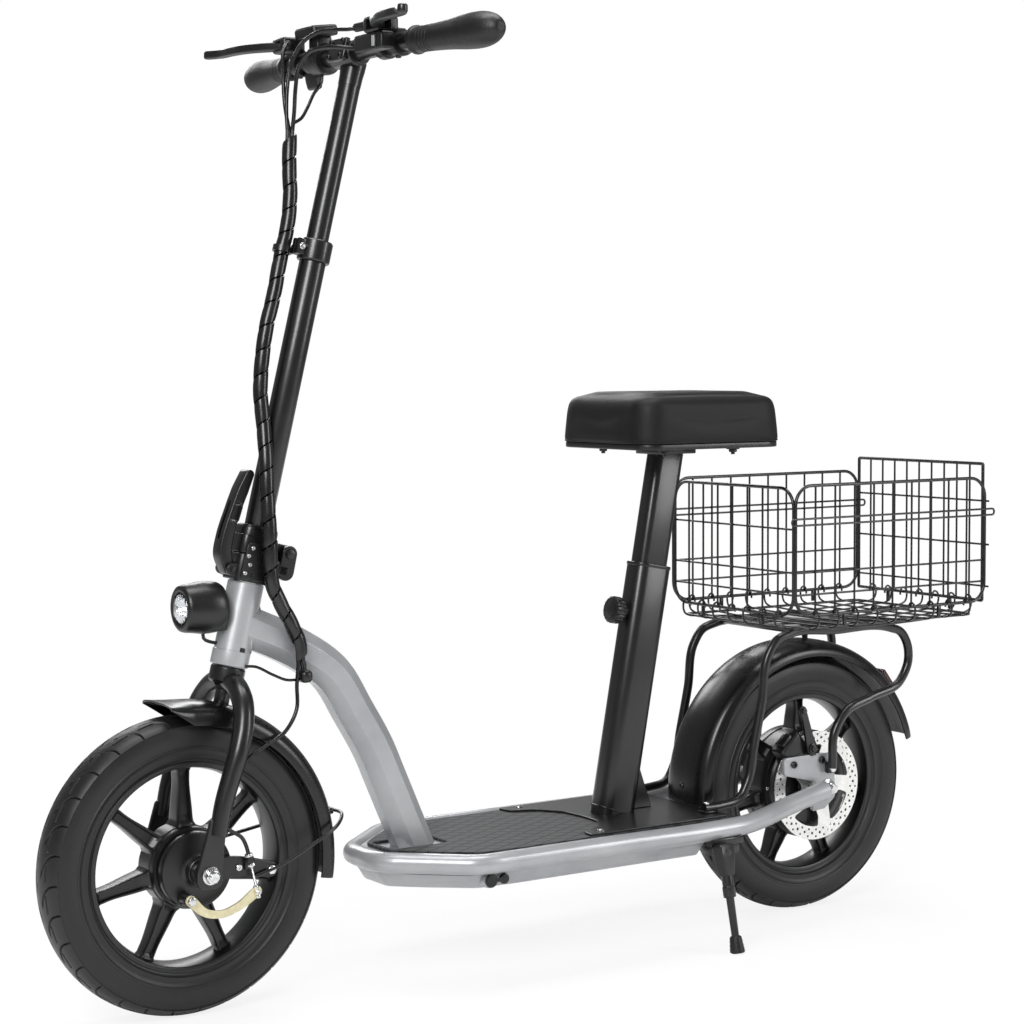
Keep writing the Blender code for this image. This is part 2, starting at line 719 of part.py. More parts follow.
def makeFrontMudguard():
    section = [(0.0275, 0.041), (0.0100, 0.0385), (0, 0.0140)]
    guard = makeMudguard("front_fender", FRONT, FRONT_GUARD_RADIUS, section, FRONT_GUARD_START, 9)
    hook = stayHook()
    outward = Vector((hook.x, 0, hook.z - AXLE_HEIGHT)).normalized()
    start = FRONT + outward * (FRONT_GUARD_RADIUS - 0.0024)
    end = hook - outward * (STAY_RADIUS + GAP)
    lug = rod("stay_lug", start, end, 0.004, 8)
    finish(join(guard, [lug]), "fork", BLACK_PLASTIC)


STAY_RADIUS = 0.0025


def stayHook():
    return Vector((0.2180, 0, AXLE_HEIGHT + 0.0441))


def makeMudguardStay():
    hook = stayHook()
    left = TORQUE_ARM_OUTER - STAY_RADIUS - GAP
    right = FORK_SPREAD - BLADE_THICKNESS / 2 - STAY_RADIUS - 0.004
    end = 0.011 + STAY_RADIUS + 2 * GAP
    points = [(0.070, left, AXLE_HEIGHT - 0.014), (0.112, left, hook.z - 0.046),
              (0.150, left + 0.003, hook.z - 0.030),
              (0.197, -0.047, hook.z - 0.0095), (hook.x - 0.0015, -0.022, hook.z - 0.0005), hook,
              (hook.x - 0.0015, 0.022, hook.z - 0.0005), (0.197, 0.047, hook.z - 0.0095),
              (0.110, 0.058, hook.z - 0.026), (end, right, AXLE_HEIGHT)]
    route = evenRoute(points, 0.006)
    middle = route.index(hook)
    route = thinned(route[:middle + 1], 0.0010) + thinned(route[middle:], 0.0010)[1:]
    finish(tube("fender_stay", route, STAY_RADIUS, 6), "fork", BLACK_METAL)


# Head tube, headlight and main tube

def makeHeadTube():
    half = HEAD_LENGTH / 2
    ring = HEAD_RADIUS + 0.0012
    profile = [(HEAD_RADIUS, half), (HEAD_RADIUS, 0.009 - half), (ring, 0.008 - half), (ring, -half),
               (HEAD_BORE_RADIUS, -half), (HEAD_BORE_RADIUS, half)]
    finish(turned("head_tube", profile, 18, STEER), "frame", SILVER)


def makeHeadlight():
    centre = HEAD + Vector((-0.024, 0, 0.024))
    forward = Matrix.Translation(centre) @ Matrix.Rotation(radians(-90), 4, "Y")
    profile = [(0, 0.0035), (0.024, 0.0035), (0.0295, 0.014), (0.0245, 0.0477), (0.0262, 0.0477),
               (0.0262, 0.054), (0.0290, 0.054), (0.0330, 0.020), (0.0270, 0), (0, 0)]
    housing = turned("headlight_housing", profile, 16, forward, closed=False)
    bracket = box("light_bracket", (centre.x - 0.006, -0.012, centre.z - 0.030),
                  (HEAD.x + 0.006, 0.012, centre.z + 0.010))
    room = rod("head_clearance", (0, 0, -0.06), (0, 0, 0.06), HEAD_RADIUS + 2 * GAP, 24, matrix=STEER)
    inside = rod("light_inside", centre + Vector((-0.0045, 0, 0)), centre + Vector((-0.020, 0, 0)),
                 0.0235, 16)
    bracket = cut(bracket, [inside])
    finish(cut(join(housing, [bracket]), [room]), "frame", BLACK_PLASTIC)
    lens = [(0, 0.060), (0.014, 0.0580), (0.0257, 0.0520), (0.0257, 0.0480), (0, 0.0480)]
    finish(turned("headlight_lens", lens, 16, forward, closed=False), "frame", CLEAR_LENS)


def mainTubeRoute():
    head = [(0.001, 0.0005), (0.026, -0.010), (0.078, -0.0345), (0.1326, -0.073), (0.1656, -0.1247),
            (0.198, -0.181)]
    points = [(HEAD.x + x, 0, HEAD.z + z) for x, z in head]
    return points + [(0.3342, 0, DECK_PLATE_TOP + 0.0058), (0.3454, 0, DECK_PLATE_TOP - 0.0202)]


def makeMainTube():
    route = smoothRoute(mainTubeRoute(), 0.0010)
    outer = tube("main_tube", route, MAIN_TUBE_RADIUS, 8, tilt=pi / 8)
    inner = tube("main_tube_inside",
                 [route[0] + Vector((-0.03, 0, 0.006)), *route, route[-1] + Vector((0.01, 0, -0.02))],
                 MAIN_TUBE_RADIUS - MAIN_TUBE_WALL, 8, tilt=pi / 8)
    gland = box("cable_gland", (0.1500, -0.046, GLAND_TOP - 0.022), (0.1665, -0.018, GLAND_TOP))
    head = rod("head_clearance", (0, 0, -0.09), (0, 0, 0.09), HEAD_RADIUS + 0.0012 + GAP, 28, matrix=STEER)
    front = box("tube_front", (-0.080, -0.060, -0.100), (0.012, 0.060, 0.100), 0, STEER)
    deck = box("deck_clearance", (0.27, -0.05, DECK_PLATE_TOP - 0.06), (0.42, 0.05, DECK_PLATE_TOP + GAP))
    finish(cut(join(outer, [gland]), [inner, front, head, deck]), "frame", SILVER)


GLAND_TOP = 0.424


# Deck

def deckOutline(inset, front, rear):
    half = RAIL_Y - inset
    corners = [(front, -0.030, 0.02), (front + 0.038, -0.075 + inset * 0.6, 0.05),
               (front + 0.083, -0.115 + inset, 0.06), (front + 0.150, -half, 0.05), (rear, -half, 0)]
    return rounded(corners + [(x, -y, radius) for x, y, radius in reversed(corners)], 2)


def makeDeckFrame():
    face = DROPOUT_INNER + DROPOUT_THICKNESS + GAP
    end = REAR + Vector((-0.017, -face - RAIL_RADIUS, 0))
    rear = [end, (0.965, -0.0900, 0.1845), (0.900, -0.1020, 0.1755), (0.840, -0.1175, 0.1672),
            (0.800, -0.1250, RAIL_Z + 0.0008), (0.765, -RAIL_Y, RAIL_Z)]
    front = [(0.410, -RAIL_Y, RAIL_Z), (0.380, -0.1250, RAIL_Z), (0.342, -0.1130, RAIL_Z),
             (0.298, -0.0740, RAIL_Z), (0.266, -0.0340, RAIL_Z), (0.262, 0, RAIL_Z)]
    rearRoute = smoothRoute(rear, 0.0012)
    frontRoute = smoothRoute(front + mirrored(front[-2::-1]), 0.0012)
    route = rearRoute + frontRoute + [Vector((point.x, -point.y, point.z)) for point in reversed(rearRoute)]
    rail = tube("deck_frame", route, RAIL_RADIUS, 8)
    middle = DECK_PLATE_TOP - DECK_PLATE_THICKNESS / 2
    outline = deckOutline(RAIL_Y - DECK_HALF_WIDTH, 0.270, 0.775)
    top = plate("deck_plate", outline, DECK_PLATE_THICKNESS, Matrix.Translation((0, 0, middle)))
    lug = box("kickstand_lug", (KICKSTAND_X - 0.012, KICKSTAND_Y + 0.010, KICKSTAND_Z - 0.008),
              (KICKSTAND_X + 0.047, KICKSTAND_Y + 0.038, RAIL_Z - 0.008))
    pin = (KICKSTAND_X, KICKSTAND_Y, KICKSTAND_Z)
    hole = rod("stand_hole", pin, (pin[0], pin[1] + 0.040, pin[2]), 0.004 + GAP, 12)
    pads = []
    for side in (-1, 1):
        low, high = sorted((side * face, side * (face + RAIL_RADIUS)))
        pads.append(box("rail_pad", (end.x - 0.010, low, end.z - 0.007),
                        (end.x - 0.0005, high, end.z + 0.007)))
    finish(cut(join(rail, [top, lug, *pads]), [hole]), "frame", SILVER)


def makeBellyTray():
    top = deckOutline(0.005, 0.2665, 0.735)
    low = deckOutline(0.015, 0.2790, 0.728)
    work = bmesh.new()
    base = [work.verts.new((x, y, TRAY_BOTTOM)) for x, y in low]
    rim = [work.verts.new((x, y, RAIL_Z - RAIL_RADIUS - 4 * GAP)) for x, y in top]
    count = len(base)
    work.faces.new(base[::-1])
    for index in range(count):
        after = (index + 1) % count
        work.faces.new((base[index], base[after], rim[after], rim[index]))
    tray = solidify(meshFrom("belly_tray", work), TRAY_WALL)
    port = rod("charge_port", (PORT_X, -0.108, PORT_Z), (PORT_X, PORT_FACE, PORT_Z), 0.0095, 12)
    finish(join(tray, [port]), "frame", SILVER)


PORT_X = 0.380
PORT_Z = 0.1400
PORT_FACE = -0.1238


def makeChargeCap():
    y = PORT_FACE - GAP
    cap = rod("charge_cap", (PORT_X, y - 0.0026, PORT_Z), (PORT_X, y, PORT_Z), 0.009, 12)
    tab = box("cap_tab", (PORT_X + 0.004, y - 0.0024, PORT_Z - 0.003),
              (capPivot.x, y - 0.0004, PORT_Z + 0.003))
    knuckle = rod("cap_knuckle", (capPivot.x, y - 0.0014, PORT_Z - 0.004),
                  (capPivot.x, y - 0.0014, PORT_Z + 0.004), 0.0016, 6)
    finish(join(cap, [tab, knuckle]), "charge_cap", BLACK_PLASTIC)


def makeDeckTop():
    outline = deckOutline(RAIL_Y - DECK_HALF_WIDTH + 0.0045, 0.283, 0.770)
    opening = rectangle((0.290, -0.0285), (0.3765, 0.0285), 0.006, 2)
    middle = DECK_PLATE_TOP + GAP + MAT_THICKNESS / 2
    mat = plate("deck_mat", outline, MAT_THICKNESS, Matrix.Translation((0, 0, middle)), [opening])
    finish(mat, "frame", MAT_RUBBER)
    corners = [(0.550, -0.113, 0.004), (0.556, -0.098, 0.02), (0.597, -0.060, 0.03), (0.600, 0, 0),
               (0.597, 0.060, 0.03), (0.556, 0.098, 0.02), (0.550, 0.113, 0.004), (0.785, 0.113, 0.006),
               (0.785, -0.113, 0.006)]
    cover = plate("seat_base_cover", rounded(corners, 3), COVER_THICKNESS,
                  Matrix.Translation((0, 0, COVER_TOP - COVER_THICKNESS / 2)))
    finish(cover, "frame", BLACK_METAL)


def makeInside():
    floor = TRAY_BOTTOM + TRAY_WALL + GAP
    battery = box("battery_pack", (0.345, -0.076, floor), (0.630, 0.076, floor + 0.033))
    finish(battery, "frame", BATTERY_BLUE)
    controller = box("motor_controller", (0.638, -0.045, floor), (0.720, 0.045, floor + 0.026))
    finish(controller, "frame", BRIGHT_STEEL)


# Seat

def makeSleeve():
    half = (SLEEVE_DEPTH / 2, SLEEVE_WIDTH / 2)
    room = (POST_DEPTH / 2 + RUNNING, POST_WIDTH / 2 + RUNNING)
    start = -0.02
    middle = (SLEEVE_LENGTH + start) / 2
    outline = rectangle((-half[0], -half[1]), half, 0.016, 2)
    hole = rectangle((-room[0], -room[1]), room, 0.0114, 2)
    sleeve = plate("seat_post_sleeve", outline, SLEEVE_LENGTH - start,
                   SEAT_FRAME @ Matrix.Translation((0, 0, middle)), [hole])
    rear = SEAT_BASE_X + half[0] / cos(SEAT_LEAN)
    lean = tan(SEAT_LEAN)
    height = 0.062
    web = [(rear - 0.003, COVER_TOP), (rear + 0.036, COVER_TOP),
           (rear + height * lean + 0.002, COVER_TOP + height),
           (rear + height * lean - 0.003, COVER_TOP + height)]
    gusset = plate("gusset", web, 0.008, UPRIGHT)
    floor = box("cover_clearance", (0.60, -0.06, COVER_TOP - 0.06), (0.76, 0.06, COVER_TOP + GAP))
    screwHole = rod("knob_hole", (-half[0] - 0.004, 0, KNOB_S), (-room[0] + 0.002, 0, KNOB_S),
                    0.004 + GAP, 12,
                    matrix=SEAT_FRAME)
    finish(cut(join(sleeve, [gusset]), [floor, screwHole]), "frame", BLACK_METAL)


def makeSeat():
    half = (POST_DEPTH / 2, POST_WIDTH / 2)
    inner = (half[0] - POST_WALL, half[1] - POST_WALL)
    middle = (POST_BOTTOM + POST_TOP) / 2
    post = plate("seat_post", rectangle((-half[0], -half[1]), half, 0.011, 2), POST_TOP - POST_BOTTOM,
                 SEAT_FRAME @ Matrix.Translation((0, 0, middle)),
                 [rectangle((-inner[0], -inner[1]), inner, 0.009, 2)])
    top = SEAT_FRAME @ Vector((0, 0, POST_TOP))
    mount = box("seat_mount", (top.x - 0.050, -0.030, top.z - 0.0046),
                (top.x + 0.050, 0.030, top.z + 0.0046), 0.001)
    finish(join(post, [mount]), "seat", BLACK_METAL)
    panLow = top.z + 0.0046 + GAP
    panTop = panLow + 0.008
    length = SEAT_LENGTH / 2 - 0.006
    width = SEAT_WIDTH / 2 - 0.006
    pan = plate("seat_pan", rectangle((-length, -width), (length, width), 0.062, 3), panTop - panLow,
                Matrix.Translation((SEAT_X, 0, (panLow + panTop) / 2)))
    studs = []
    for x in (-0.066, 0.054):
        for y in (-0.072, 0.072):
            studs.append(rod("seat_stud", (SEAT_X + x, y, panLow - 0.010),
                             (SEAT_X + x, y, panLow + 0.002), 0.005, 6))
    finish(join(pan, studs), "seat", BLACK_PLASTIC)
    makeCushion(panTop + GAP)


def makeCushion(bottom):
    height = SEAT_TOP - bottom
    levels = [(0.0045, 0), (0.0010, 0.08), (0, 0.35), (0.0008, 0.58), (0.0040, 0.76), (0.0110, 0.89),
              (0.0240, 0.955), (0.0450, 0.985), (0.0700, 1)]
    work = bmesh.new()
    rings = []
    for inset, level in levels:
        half = (SEAT_LENGTH / 2 - inset, SEAT_WIDTH / 2 - inset)
        outline = rectangle((-half[0], -half[1]), half, max(0.070 - inset, 0.012), 4)
        rings.append([work.verts.new((SEAT_X + x, y, bottom + height * level)) for x, y in outline])
    for lower, upper in zip(rings, rings[1:]):
        for index in range(len(lower)):
            after = (index + 1) % len(lower)
            work.faces.new((lower[index], lower[after], upper[after], upper[index]))
    work.faces.new(rings[0][::-1])
    work.faces.new(rings[-1])
    finish(meshFrom("seat_cushion", work), "seat", VINYL)


def makeSeatKnob():
    face = -SLEEVE_DEPTH / 2
    tip = -POST_DEPTH / 2 - GAP
    screw = rod("seat_knob", (tip, 0, KNOB_S), (face - 0.012, 0, KNOB_S), 0.004, 8, matrix=SEAT_FRAME)
    neck = rod("knob_neck", (face - GAP, 0, KNOB_S), (face - 0.011, 0, KNOB_S), 0.010, 12,
               matrix=SEAT_FRAME)
    head = rod("knob_head", (face - 0.010, 0, KNOB_S), (face - 0.025, 0, KNOB_S), 0.019, 16,
               matrix=SEAT_FRAME)
    finish(join(screw, [neck, head]), "seat_knob", BLACK_PLASTIC)


# Folding joint and stem

def makeFoldBase():
    low = HEAD_LENGTH / 2 + 2 * GAP
    top = 0.088
    block = box("fold_base", (-0.026, -0.022, low), (0.034, 0.022, top), 0, STEER)
    pieces = [box("rear_block", (0.030, -0.0195, low + 0.004), (FOLD_PIVOT_N + 0.010, 0.0195, top), 0,
                  STEER)]
    for side in (-1, 1):
        low_y, high_y = sorted((side * 0.0106, side * 0.0195))
        pieces.append(box("pivot_ear", (0.0310, low_y, top - 0.008),
                          (FOLD_PIVOT_N + 0.010, high_y, FOLD_PIVOT_T + 0.0100), 0, STEER))
        low_y, high_y = sorted((side * 0.0112, side * 0.0172))
        pieces.append(box("lever_ear", (LEVER_PIVOT_N - 0.007, low_y, LEVER_PIVOT_T - 0.008),
                          (-0.020, high_y, LEVER_PIVOT_T + 0.009), 0, STEER))
    pieces.append(rod("pivot_pin", (FOLD_PIVOT_N, -0.0215, FOLD_PIVOT_T),
                      (FOLD_PIVOT_N, 0.0215, FOLD_PIVOT_T),
                      FOLD_PIN_RADIUS, 10, matrix=STEER))
    pieces.append(rod("lever_pin", (LEVER_PIVOT_N, -0.0190, LEVER_PIVOT_T),
                      (LEVER_PIVOT_N, 0.0190, LEVER_PIVOT_T),
                      0.003, 8, matrix=STEER))
    socket = rod("steerer_socket", (0, 0, 0.040), (0, 0, 0.0878), STEERER_RADIUS + GAP, 12, matrix=STEER)
    notch = box("lever_notch", (-0.032, -0.0112, 0.040), (LEVER_PIVOT_N + 0.0086, 0.0112, 0.100), 0, STEER)
    finish(join(cut(block, [socket, notch]), pieces), "fork", BLACK_METAL)


def makeFoldLever():
    points = [(0, 0), (-0.0100, 0.016), (-0.0118, 0.038), (-0.0090, 0.070), (-0.0040, 0.100),
              (0.0005, 0.121)]
    path = [(LEVER_PIVOT_N + n, LEVER_PIVOT_T + t) for n, t in points]
    turn = STEER @ UPRIGHT
    outline = strip(path, [0.0075, 0.0085, 0.0080, 0.0072, 0.0075, 0.0060])
    lever = plate("fold_lever", outline, 0.0218, turn,
                  [circle((LEVER_PIVOT_N, LEVER_PIVOT_T), 0.003 + RUNNING, 10)])
    finish(lever, "fold_lever", BLACK_METAL)


def makeStemLower():
    low = 0.0886
    top = 0.125
    block = box("stem_lower", (-0.0255, -0.0205, low), (0.0255, 0.0205, top), 0, STEER)
    lug = rod("pivot_lug", (FOLD_PIVOT_N, -0.0103, FOLD_PIVOT_T), (FOLD_PIVOT_N, 0.0103, FOLD_PIVOT_T),
              0.0105, 14, matrix=STEER)
    neck = box("lug_neck", (0.020, -0.0103, FOLD_PIVOT_T - 0.0098),
               (FOLD_PIVOT_N, 0.0103, FOLD_PIVOT_T + 0.0100),
               0, STEER)
    pipe = rod("stem_pipe", (0, 0, top - 0.010), (0, 0, STEM_SOCKET_TOP), STEM_RADIUS, 16, matrix=STEER)
    collar = rod("stem_collar", (0, 0, STEM_SOCKET_TOP - 0.020), (0, 0, STEM_SOCKET_TOP + 0.007), 0.021, 14,
                 matrix=STEER)
    ears = box("collar_ears", (-0.029, -0.009, STEM_SOCKET_TOP - 0.016),
               (-0.018, 0.009, STEM_SOCKET_TOP + 0.003),
               0, STEER)
    screw = rod("collar_screw", (-0.0245, -0.012, STEM_SOCKET_TOP - 0.0065),
                (-0.0245, 0.012, STEM_SOCKET_TOP - 0.0065), 0.0035, 8, matrix=STEER)
    centre, across, side, along = wrapAt(wrapLoopPlace)
    ring = rod("cable_loop", centre - along * 0.004, centre + along * 0.004, WRAP_RADIUS + 0.0036, 10)
    arm = rod("loop_arm", centre + across * (WRAP_RADIUS + 0.002),
              STEER @ Vector((-0.017, 0.004, STEM_SOCKET_TOP - 0.010)), 0.0035, 6)
    bore = rod("socket_bore", (0, 0, top - 0.005), (0, 0, STEM_SOCKET_TOP + 0.02),
               STEM_UPPER_RADIUS + GAP, 16,
               matrix=STEER)
    hole = rod("pivot_hole", (FOLD_PIVOT_N, -0.02, FOLD_PIVOT_T), (FOLD_PIVOT_N, 0.02, FOLD_PIVOT_T),
               FOLD_PIN_RADIUS + GAP, 12, matrix=STEER)
    through = rod("loop_bore", centre - along * 0.010, centre + along * 0.010, WRAP_RADIUS + 0.0015, 10)
    slit = box("collar_slit", (-0.040, -0.001, STEM_SOCKET_TOP - 0.025),
               (-0.016, 0.001, STEM_SOCKET_TOP + 0.02),
               0, STEER)
    solid = join(block, [neck, lug, pipe, collar, ears, arm, ring])
    finish(join(cut(solid, [bore, hole, through, slit]), [screw]), "stem_lower", BLACK_METAL)


def makeStemUpper():
    wall = 0.002
    barrel = STEM_UPPER_RADIUS + 0.0032
    pipe = rod("stem_upper", (0, 0, STEM_UPPER_BOTTOM), (0, 0, BAR_T - BAR_RADIUS - 0.0015),
               STEM_UPPER_RADIUS, 16,
               matrix=STEER)
    inside = rod("stem_inside", (0, 0, STEM_UPPER_BOTTOM - 0.01), (0, 0, BAR_T - 0.022),
                 STEM_UPPER_RADIUS - wall, 12,
                 matrix=STEER)
    clamp = rod("bar_clamp", (BAR_N, -0.026, BAR_T), (BAR_N, 0.026, BAR_T), barrel, 16, matrix=STEER)
    room = rod("bar_room", (BAR_N, -0.05, BAR_T), (BAR_N, 0.05, BAR_T), BAR_RADIUS + GAP, 18, matrix=STEER)
    finish(cut(join(pipe, [clamp]), [inside, room]), "stem_upper", BLACK_METAL)


# Handlebar and its fittings

def barPoint(side, along, forward=0, up=0):
    # A place on the swept end of the bar, measured along it from its bend.
    length = BAR_HALF_WIDTH - BAR_STRAIGHT
    turn = atan2(BAR_SWEEP, length)
    x = along * sin(turn) - forward * cos(turn)
    y = BAR_STRAIGHT + along * cos(turn) + forward * sin(turn)
    return BAR_CENTRE + Vector((x, side * y, up))


def makeHandlebar():
    reach = 0.161
    route = [barPoint(-1, reach), barPoint(-1, 0.012), barPoint(-1, 0) + Vector((0, 0.005, 0)),
             barPoint(-1, 0) + Vector((0, 0.020, 0))]
    route += [barPoint(1, 0) - Vector((0, 0.020, 0)), barPoint(1, 0) - Vector((0, 0.005, 0)),
              barPoint(1, 0.012), barPoint(1, reach)]
    finish(tube("handlebar", route, BAR_RADIUS, 12), "stem_upper", BLACK_METAL)


def makeGrips():
    levels = [(0.013, 0.0185), (0.024, 0.0185), (0.027, 0.0162), (0.090, 0.0162), (0.145, 0.0190),
              (0.163, 0.0172), (0.1715, 0.0090)]
    for side, name in ((-1, "left_grip"), (1, "right_grip")):
        route = [barPoint(side, along) for along, radius in levels]
        grip = tube(name, route, 1, 10, [radius for along, radius in levels])
        hole = rod("grip_hole", barPoint(side, 0.005), barPoint(side, 0.1615), BAR_RADIUS + GAP, 14)
        finish(cut(grip, [hole]), "stem_upper", GRIP_RUBBER)


def bored(name, item):
    reach = rod(name, BAR_CENTRE - Vector((0, 0.16, 0)), BAR_CENTRE + Vector((0, 0.16, 0)),
                BAR_RADIUS + GAP, 16)
    return cut(item, [reach])


def barRing(name, first, last, radius):
    return rod(name, BAR_CENTRE + Vector((0, first, 0)), BAR_CENTRE + Vector((0, last, 0)), radius, 16)


def leverPlace(side, x, y, z):
    return BAR_CENTRE + Vector((x, side * y, z))


def sideBox(name, side, low, high, width=0):
    first = leverPlace(side, *low)
    second = leverPlace(side, *high)
    lowCorner = [min(pair) for pair in zip(first, second)]
    highCorner = [max(pair) for pair in zip(first, second)]
    return box(name, lowCorner, highCorner, width)


def makeLeverBrackets():
    for side, name in ((-1, "left_lever_bracket"), (1, "right_lever_bracket")):
        ring = barRing(name, side * 0.118, side * 0.134, 0.0165)
        body = sideBox("bracket_body", side, (-0.0405, 0.1016, 0.0123), (-0.006, 0.136, 0.0305))
        slot = sideBox("lever_slot", side, (-0.060, 0.1120, 0.0165), (-0.0195, 0.150, 0.0255))
        pivot = leverPivot(side)
        pin = rod("lever_pin", pivot - Vector((0, 0, 0.0075)), pivot + Vector((0, 0, 0.0080)), 0.0030, 8)
        start, end = adjusterEnds(side)
        adjuster = rod("cable_adjuster", start, end, 0.0045, 8)
        solid = join(bored("bracket_bore", join(ring, [body])), [adjuster])
        finish(join(cut(solid, [slot]), [pin]), "stem_upper", BLACK_PLASTIC)


def adjusterEnds(side):
    if side < 0:
        return leverPlace(-1, -0.0305, 0.106, 0.0225), leverPlace(-1, -0.0305, 0.064, 0.0230)
    return leverPlace(1, -0.0290, 0.108, 0.0220), leverPlace(1, -0.0410, 0.0905, 0.0195)


def makeBrakeLevers():
    for side, name in ((-1, "left_brake_lever"), (1, "right_brake_lever")):
        pivot = leverPivot(side)
        points = [(0, 0), (-0.014, 0.020), (-0.027, 0.045), (-0.033, 0.080), (-0.035, 0.112),
                  (-0.043, 0.128)]
        outline = strip([(x, side * y) for x, y in points],
                        [0.0080, 0.0085, 0.0065, 0.0055, 0.0055, 0.0045])
        lever = plate(name, outline, LEVER_THICKNESS, Matrix.Translation(pivot),
                      [circle((0, 0), 0.0030 + RUNNING, 10)])
        finish(lever, name, BLACK_METAL)


def makeDisplay():
    ring = barRing("display_unit", 0.055, 0.085, 0.020)
    screen = sideBox("screen_box", 1, (-0.030, 0.0415, 0.028), (0.009, 0.0945, 0.042))
    neck = sideBox("screen_neck", 1, (-0.015, 0.0565, 0.010), (0.0085, 0.0835, 0.032))
    finish(bored("display_bore", join(ring, [neck, screen])), "stem_upper", BLACK_PLASTIC)
    paddle = barRing("throttle_paddle", 0.085 + 2 * GAP, 0.100, 0.0165)
    tongue = sideBox("paddle_tongue", 1, (-0.002, 0.085 + 2 * GAP, -0.044), (0.007, 0.1135, -0.012))
    paddle = join(paddle, [tongue])
    reach = rod("paddle_bore", BAR_CENTRE, BAR_CENTRE + Vector((0, 0.15, 0)), BAR_RADIUS + RUNNING, 16)
    finish(cut(paddle, [reach]), "throttle_paddle", BLACK_PLASTIC)


def makeSwitchBox():
    ring = barRing("switch_box", -0.100, -0.085, 0.0165)
    body = sideBox("switch_body", -1, (-0.0375, 0.075, -0.010), (-0.0175, 0.142, 0.0118))
    bridge = sideBox("switch_bridge", -1, (-0.020, 0.085, -0.009), (-0.006, 0.100, 0.009))
    recess = sideBox("rocker_recess", -1, (-0.045, 0.1212, -0.0070), (-0.0345, 0.1288, 0.0080))
    solid = bored("switch_bore", join(ring, [body, bridge]))
    finish(cut(solid, [recess]), "stem_upper", BLACK_PLASTIC)
    rocker = sideBox("switch_rocker", -1, (-0.0395, 0.1217, -0.0062), (-0.0357, 0.1283, 0.0072), 0.0006)
    finish(rocker, "switch_rocker", GREY_PLASTIC)


# Cables and spiral wrap

# Distance behind the stem's axis, sideways place, and height up the stem as a share of the bar's height
WRAP_ROUTE = [(-0.0510, 0.0365, 0.8481), (-0.0464, 0.0270, 0.7870), (-0.0397, 0.0200, 0.7336),
              (-0.0377, 0.0150, 0.6786), (-0.0392, 0.0130, 0.6475), (-0.0397, 0.0120, 0.6223),
              (-0.0409, 0.0070, 0.5621), (-0.0439, 0.0030, 0.5054), (-0.0421, 0.0000, 0.4486),
              (-0.0364, -0.0030, 0.3925), (-0.0267, -0.0100, 0.3401), (-0.0197, -0.0220, 0.2840),
              (-0.0118, -0.0285, 0.2283), (0.0000, -0.0340, 0.1627), (0.0102, -0.0340, 0.1124),
              (0.0181, -0.0340, 0.0794), (0.0353, -0.0345, 0.0488), (0.0553, -0.0365, 0.0186),
              (0.0724, -0.0370, -0.0126), (0.0793, -0.0372, -0.0416)]
wrapPoints = [STEER @ Vector((behind, y, share * BAR_T)) for behind, y, share in WRAP_ROUTE]
wrapLine = evenRoute(wrapPoints, 0.004)
wrapLengths = [0]
for beforePoint, afterPoint in zip(wrapLine, wrapLine[1:]):
    wrapLengths.append(wrapLengths[-1] + (afterPoint - beforePoint).length)
wrapLoopPlace = 0.1555


def linePoint(place):
    index = 0
    while index < len(wrapLine) - 2 and wrapLengths[index + 1] < place:
        index += 1
    share = (place - wrapLengths[index]) / (wrapLengths[index + 1] - wrapLengths[index])
    return wrapLine[index].lerp(wrapLine[index + 1], share)


def wrapAt(place):
    # Centre, two directions across the wrap (rearwards first) and its direction of travel.
    before = max(place - 0.008, 0)
    after = min(place + 0.008, wrapLengths[-1])
    along = (linePoint(after) - linePoint(before)).normalized()
    rearwards = Vector((1, 0, 0))
    across = (rearwards - along * rearwards.dot(along)).normalized()
    return linePoint(place), across, along.cross(across), along


def cableInWrap(rearOffset, sideOffset):
    count = ceil(wrapLengths[-1] / 0.010)
    route = []
    for index in range(count + 1):
        centre, across, side, along = wrapAt(wrapLengths[-1] * index / count)
        route.append(centre + across * rearOffset + side * sideOffset)
    return route


def makeSpiralWrap():
    total = wrapLengths[-1]
    turns = (total - WRAP_BAND) / WRAP_PITCH
    count = int(turns * WRAP_POINTS_PER_TURN)
    work = bmesh.new()
    bmesh.ops.create_grid(work, x_segments=1, y_segments=count, size=0.5)
    work.verts.ensure_lookup_table()
    edges = {}
    for vertex in work.verts:
        index = round((vertex.co.y + 0.5) * count)
        edge = 1 if vertex.co.x > 0 else 0
        angle = 2 * pi * index / WRAP_POINTS_PER_TURN
        centre, across, side, along = wrapAt(WRAP_PITCH * index / WRAP_POINTS_PER_TURN + edge * WRAP_BAND)
        vertex.co = centre + (across * cos(angle) + side * sin(angle)) * (WRAP_RADIUS + WRAP_THICKNESS / 2)
        edges[(index, edge)] = vertex.co.copy()
    gaps = []
    for (index, edge), place in edges.items():
        below = edges.get((index + WRAP_POINTS_PER_TURN, 0))
        if edge == 1 and below is not None:
            gaps.append((below - place).length)
    print("least gap between turns of the spiral wrap in mm:", round(min(gaps) * 1000, 2))
    bmesh.ops.recalc_face_normals(work, faces=work.faces)
    first = work.faces[:][0]
    outward = first.calc_center_median() - linePoint(WRAP_BAND / 2)
    if first.normal.dot(outward) < 0:
        bmesh.ops.reverse_faces(work, faces=work.faces)
    wrap = solidify(meshFrom("spiral_wrap", work), WRAP_THICKNESS)
    finish(wrap, "frame", CABLE_BLACK)


def intoGland(last):
    x = last.x + 0.0015
    return [(x, last.y, GLAND_TOP + 0.0065), (x, last.y, GLAND_TOP + GAP)]


def cableRoute(before, inWrap, after):
    first = evenRoute([*before, inWrap[0]], 0.006)
    last = evenRoute([inWrap[-1], *after], 0.006)
    route = [first[0], *thinned(first[1:], 0.0020), *thinned(inWrap, 0.0006)[1:]]
    return route + [*thinned(last[:-1], 0.0020)[1:], last[-1]]


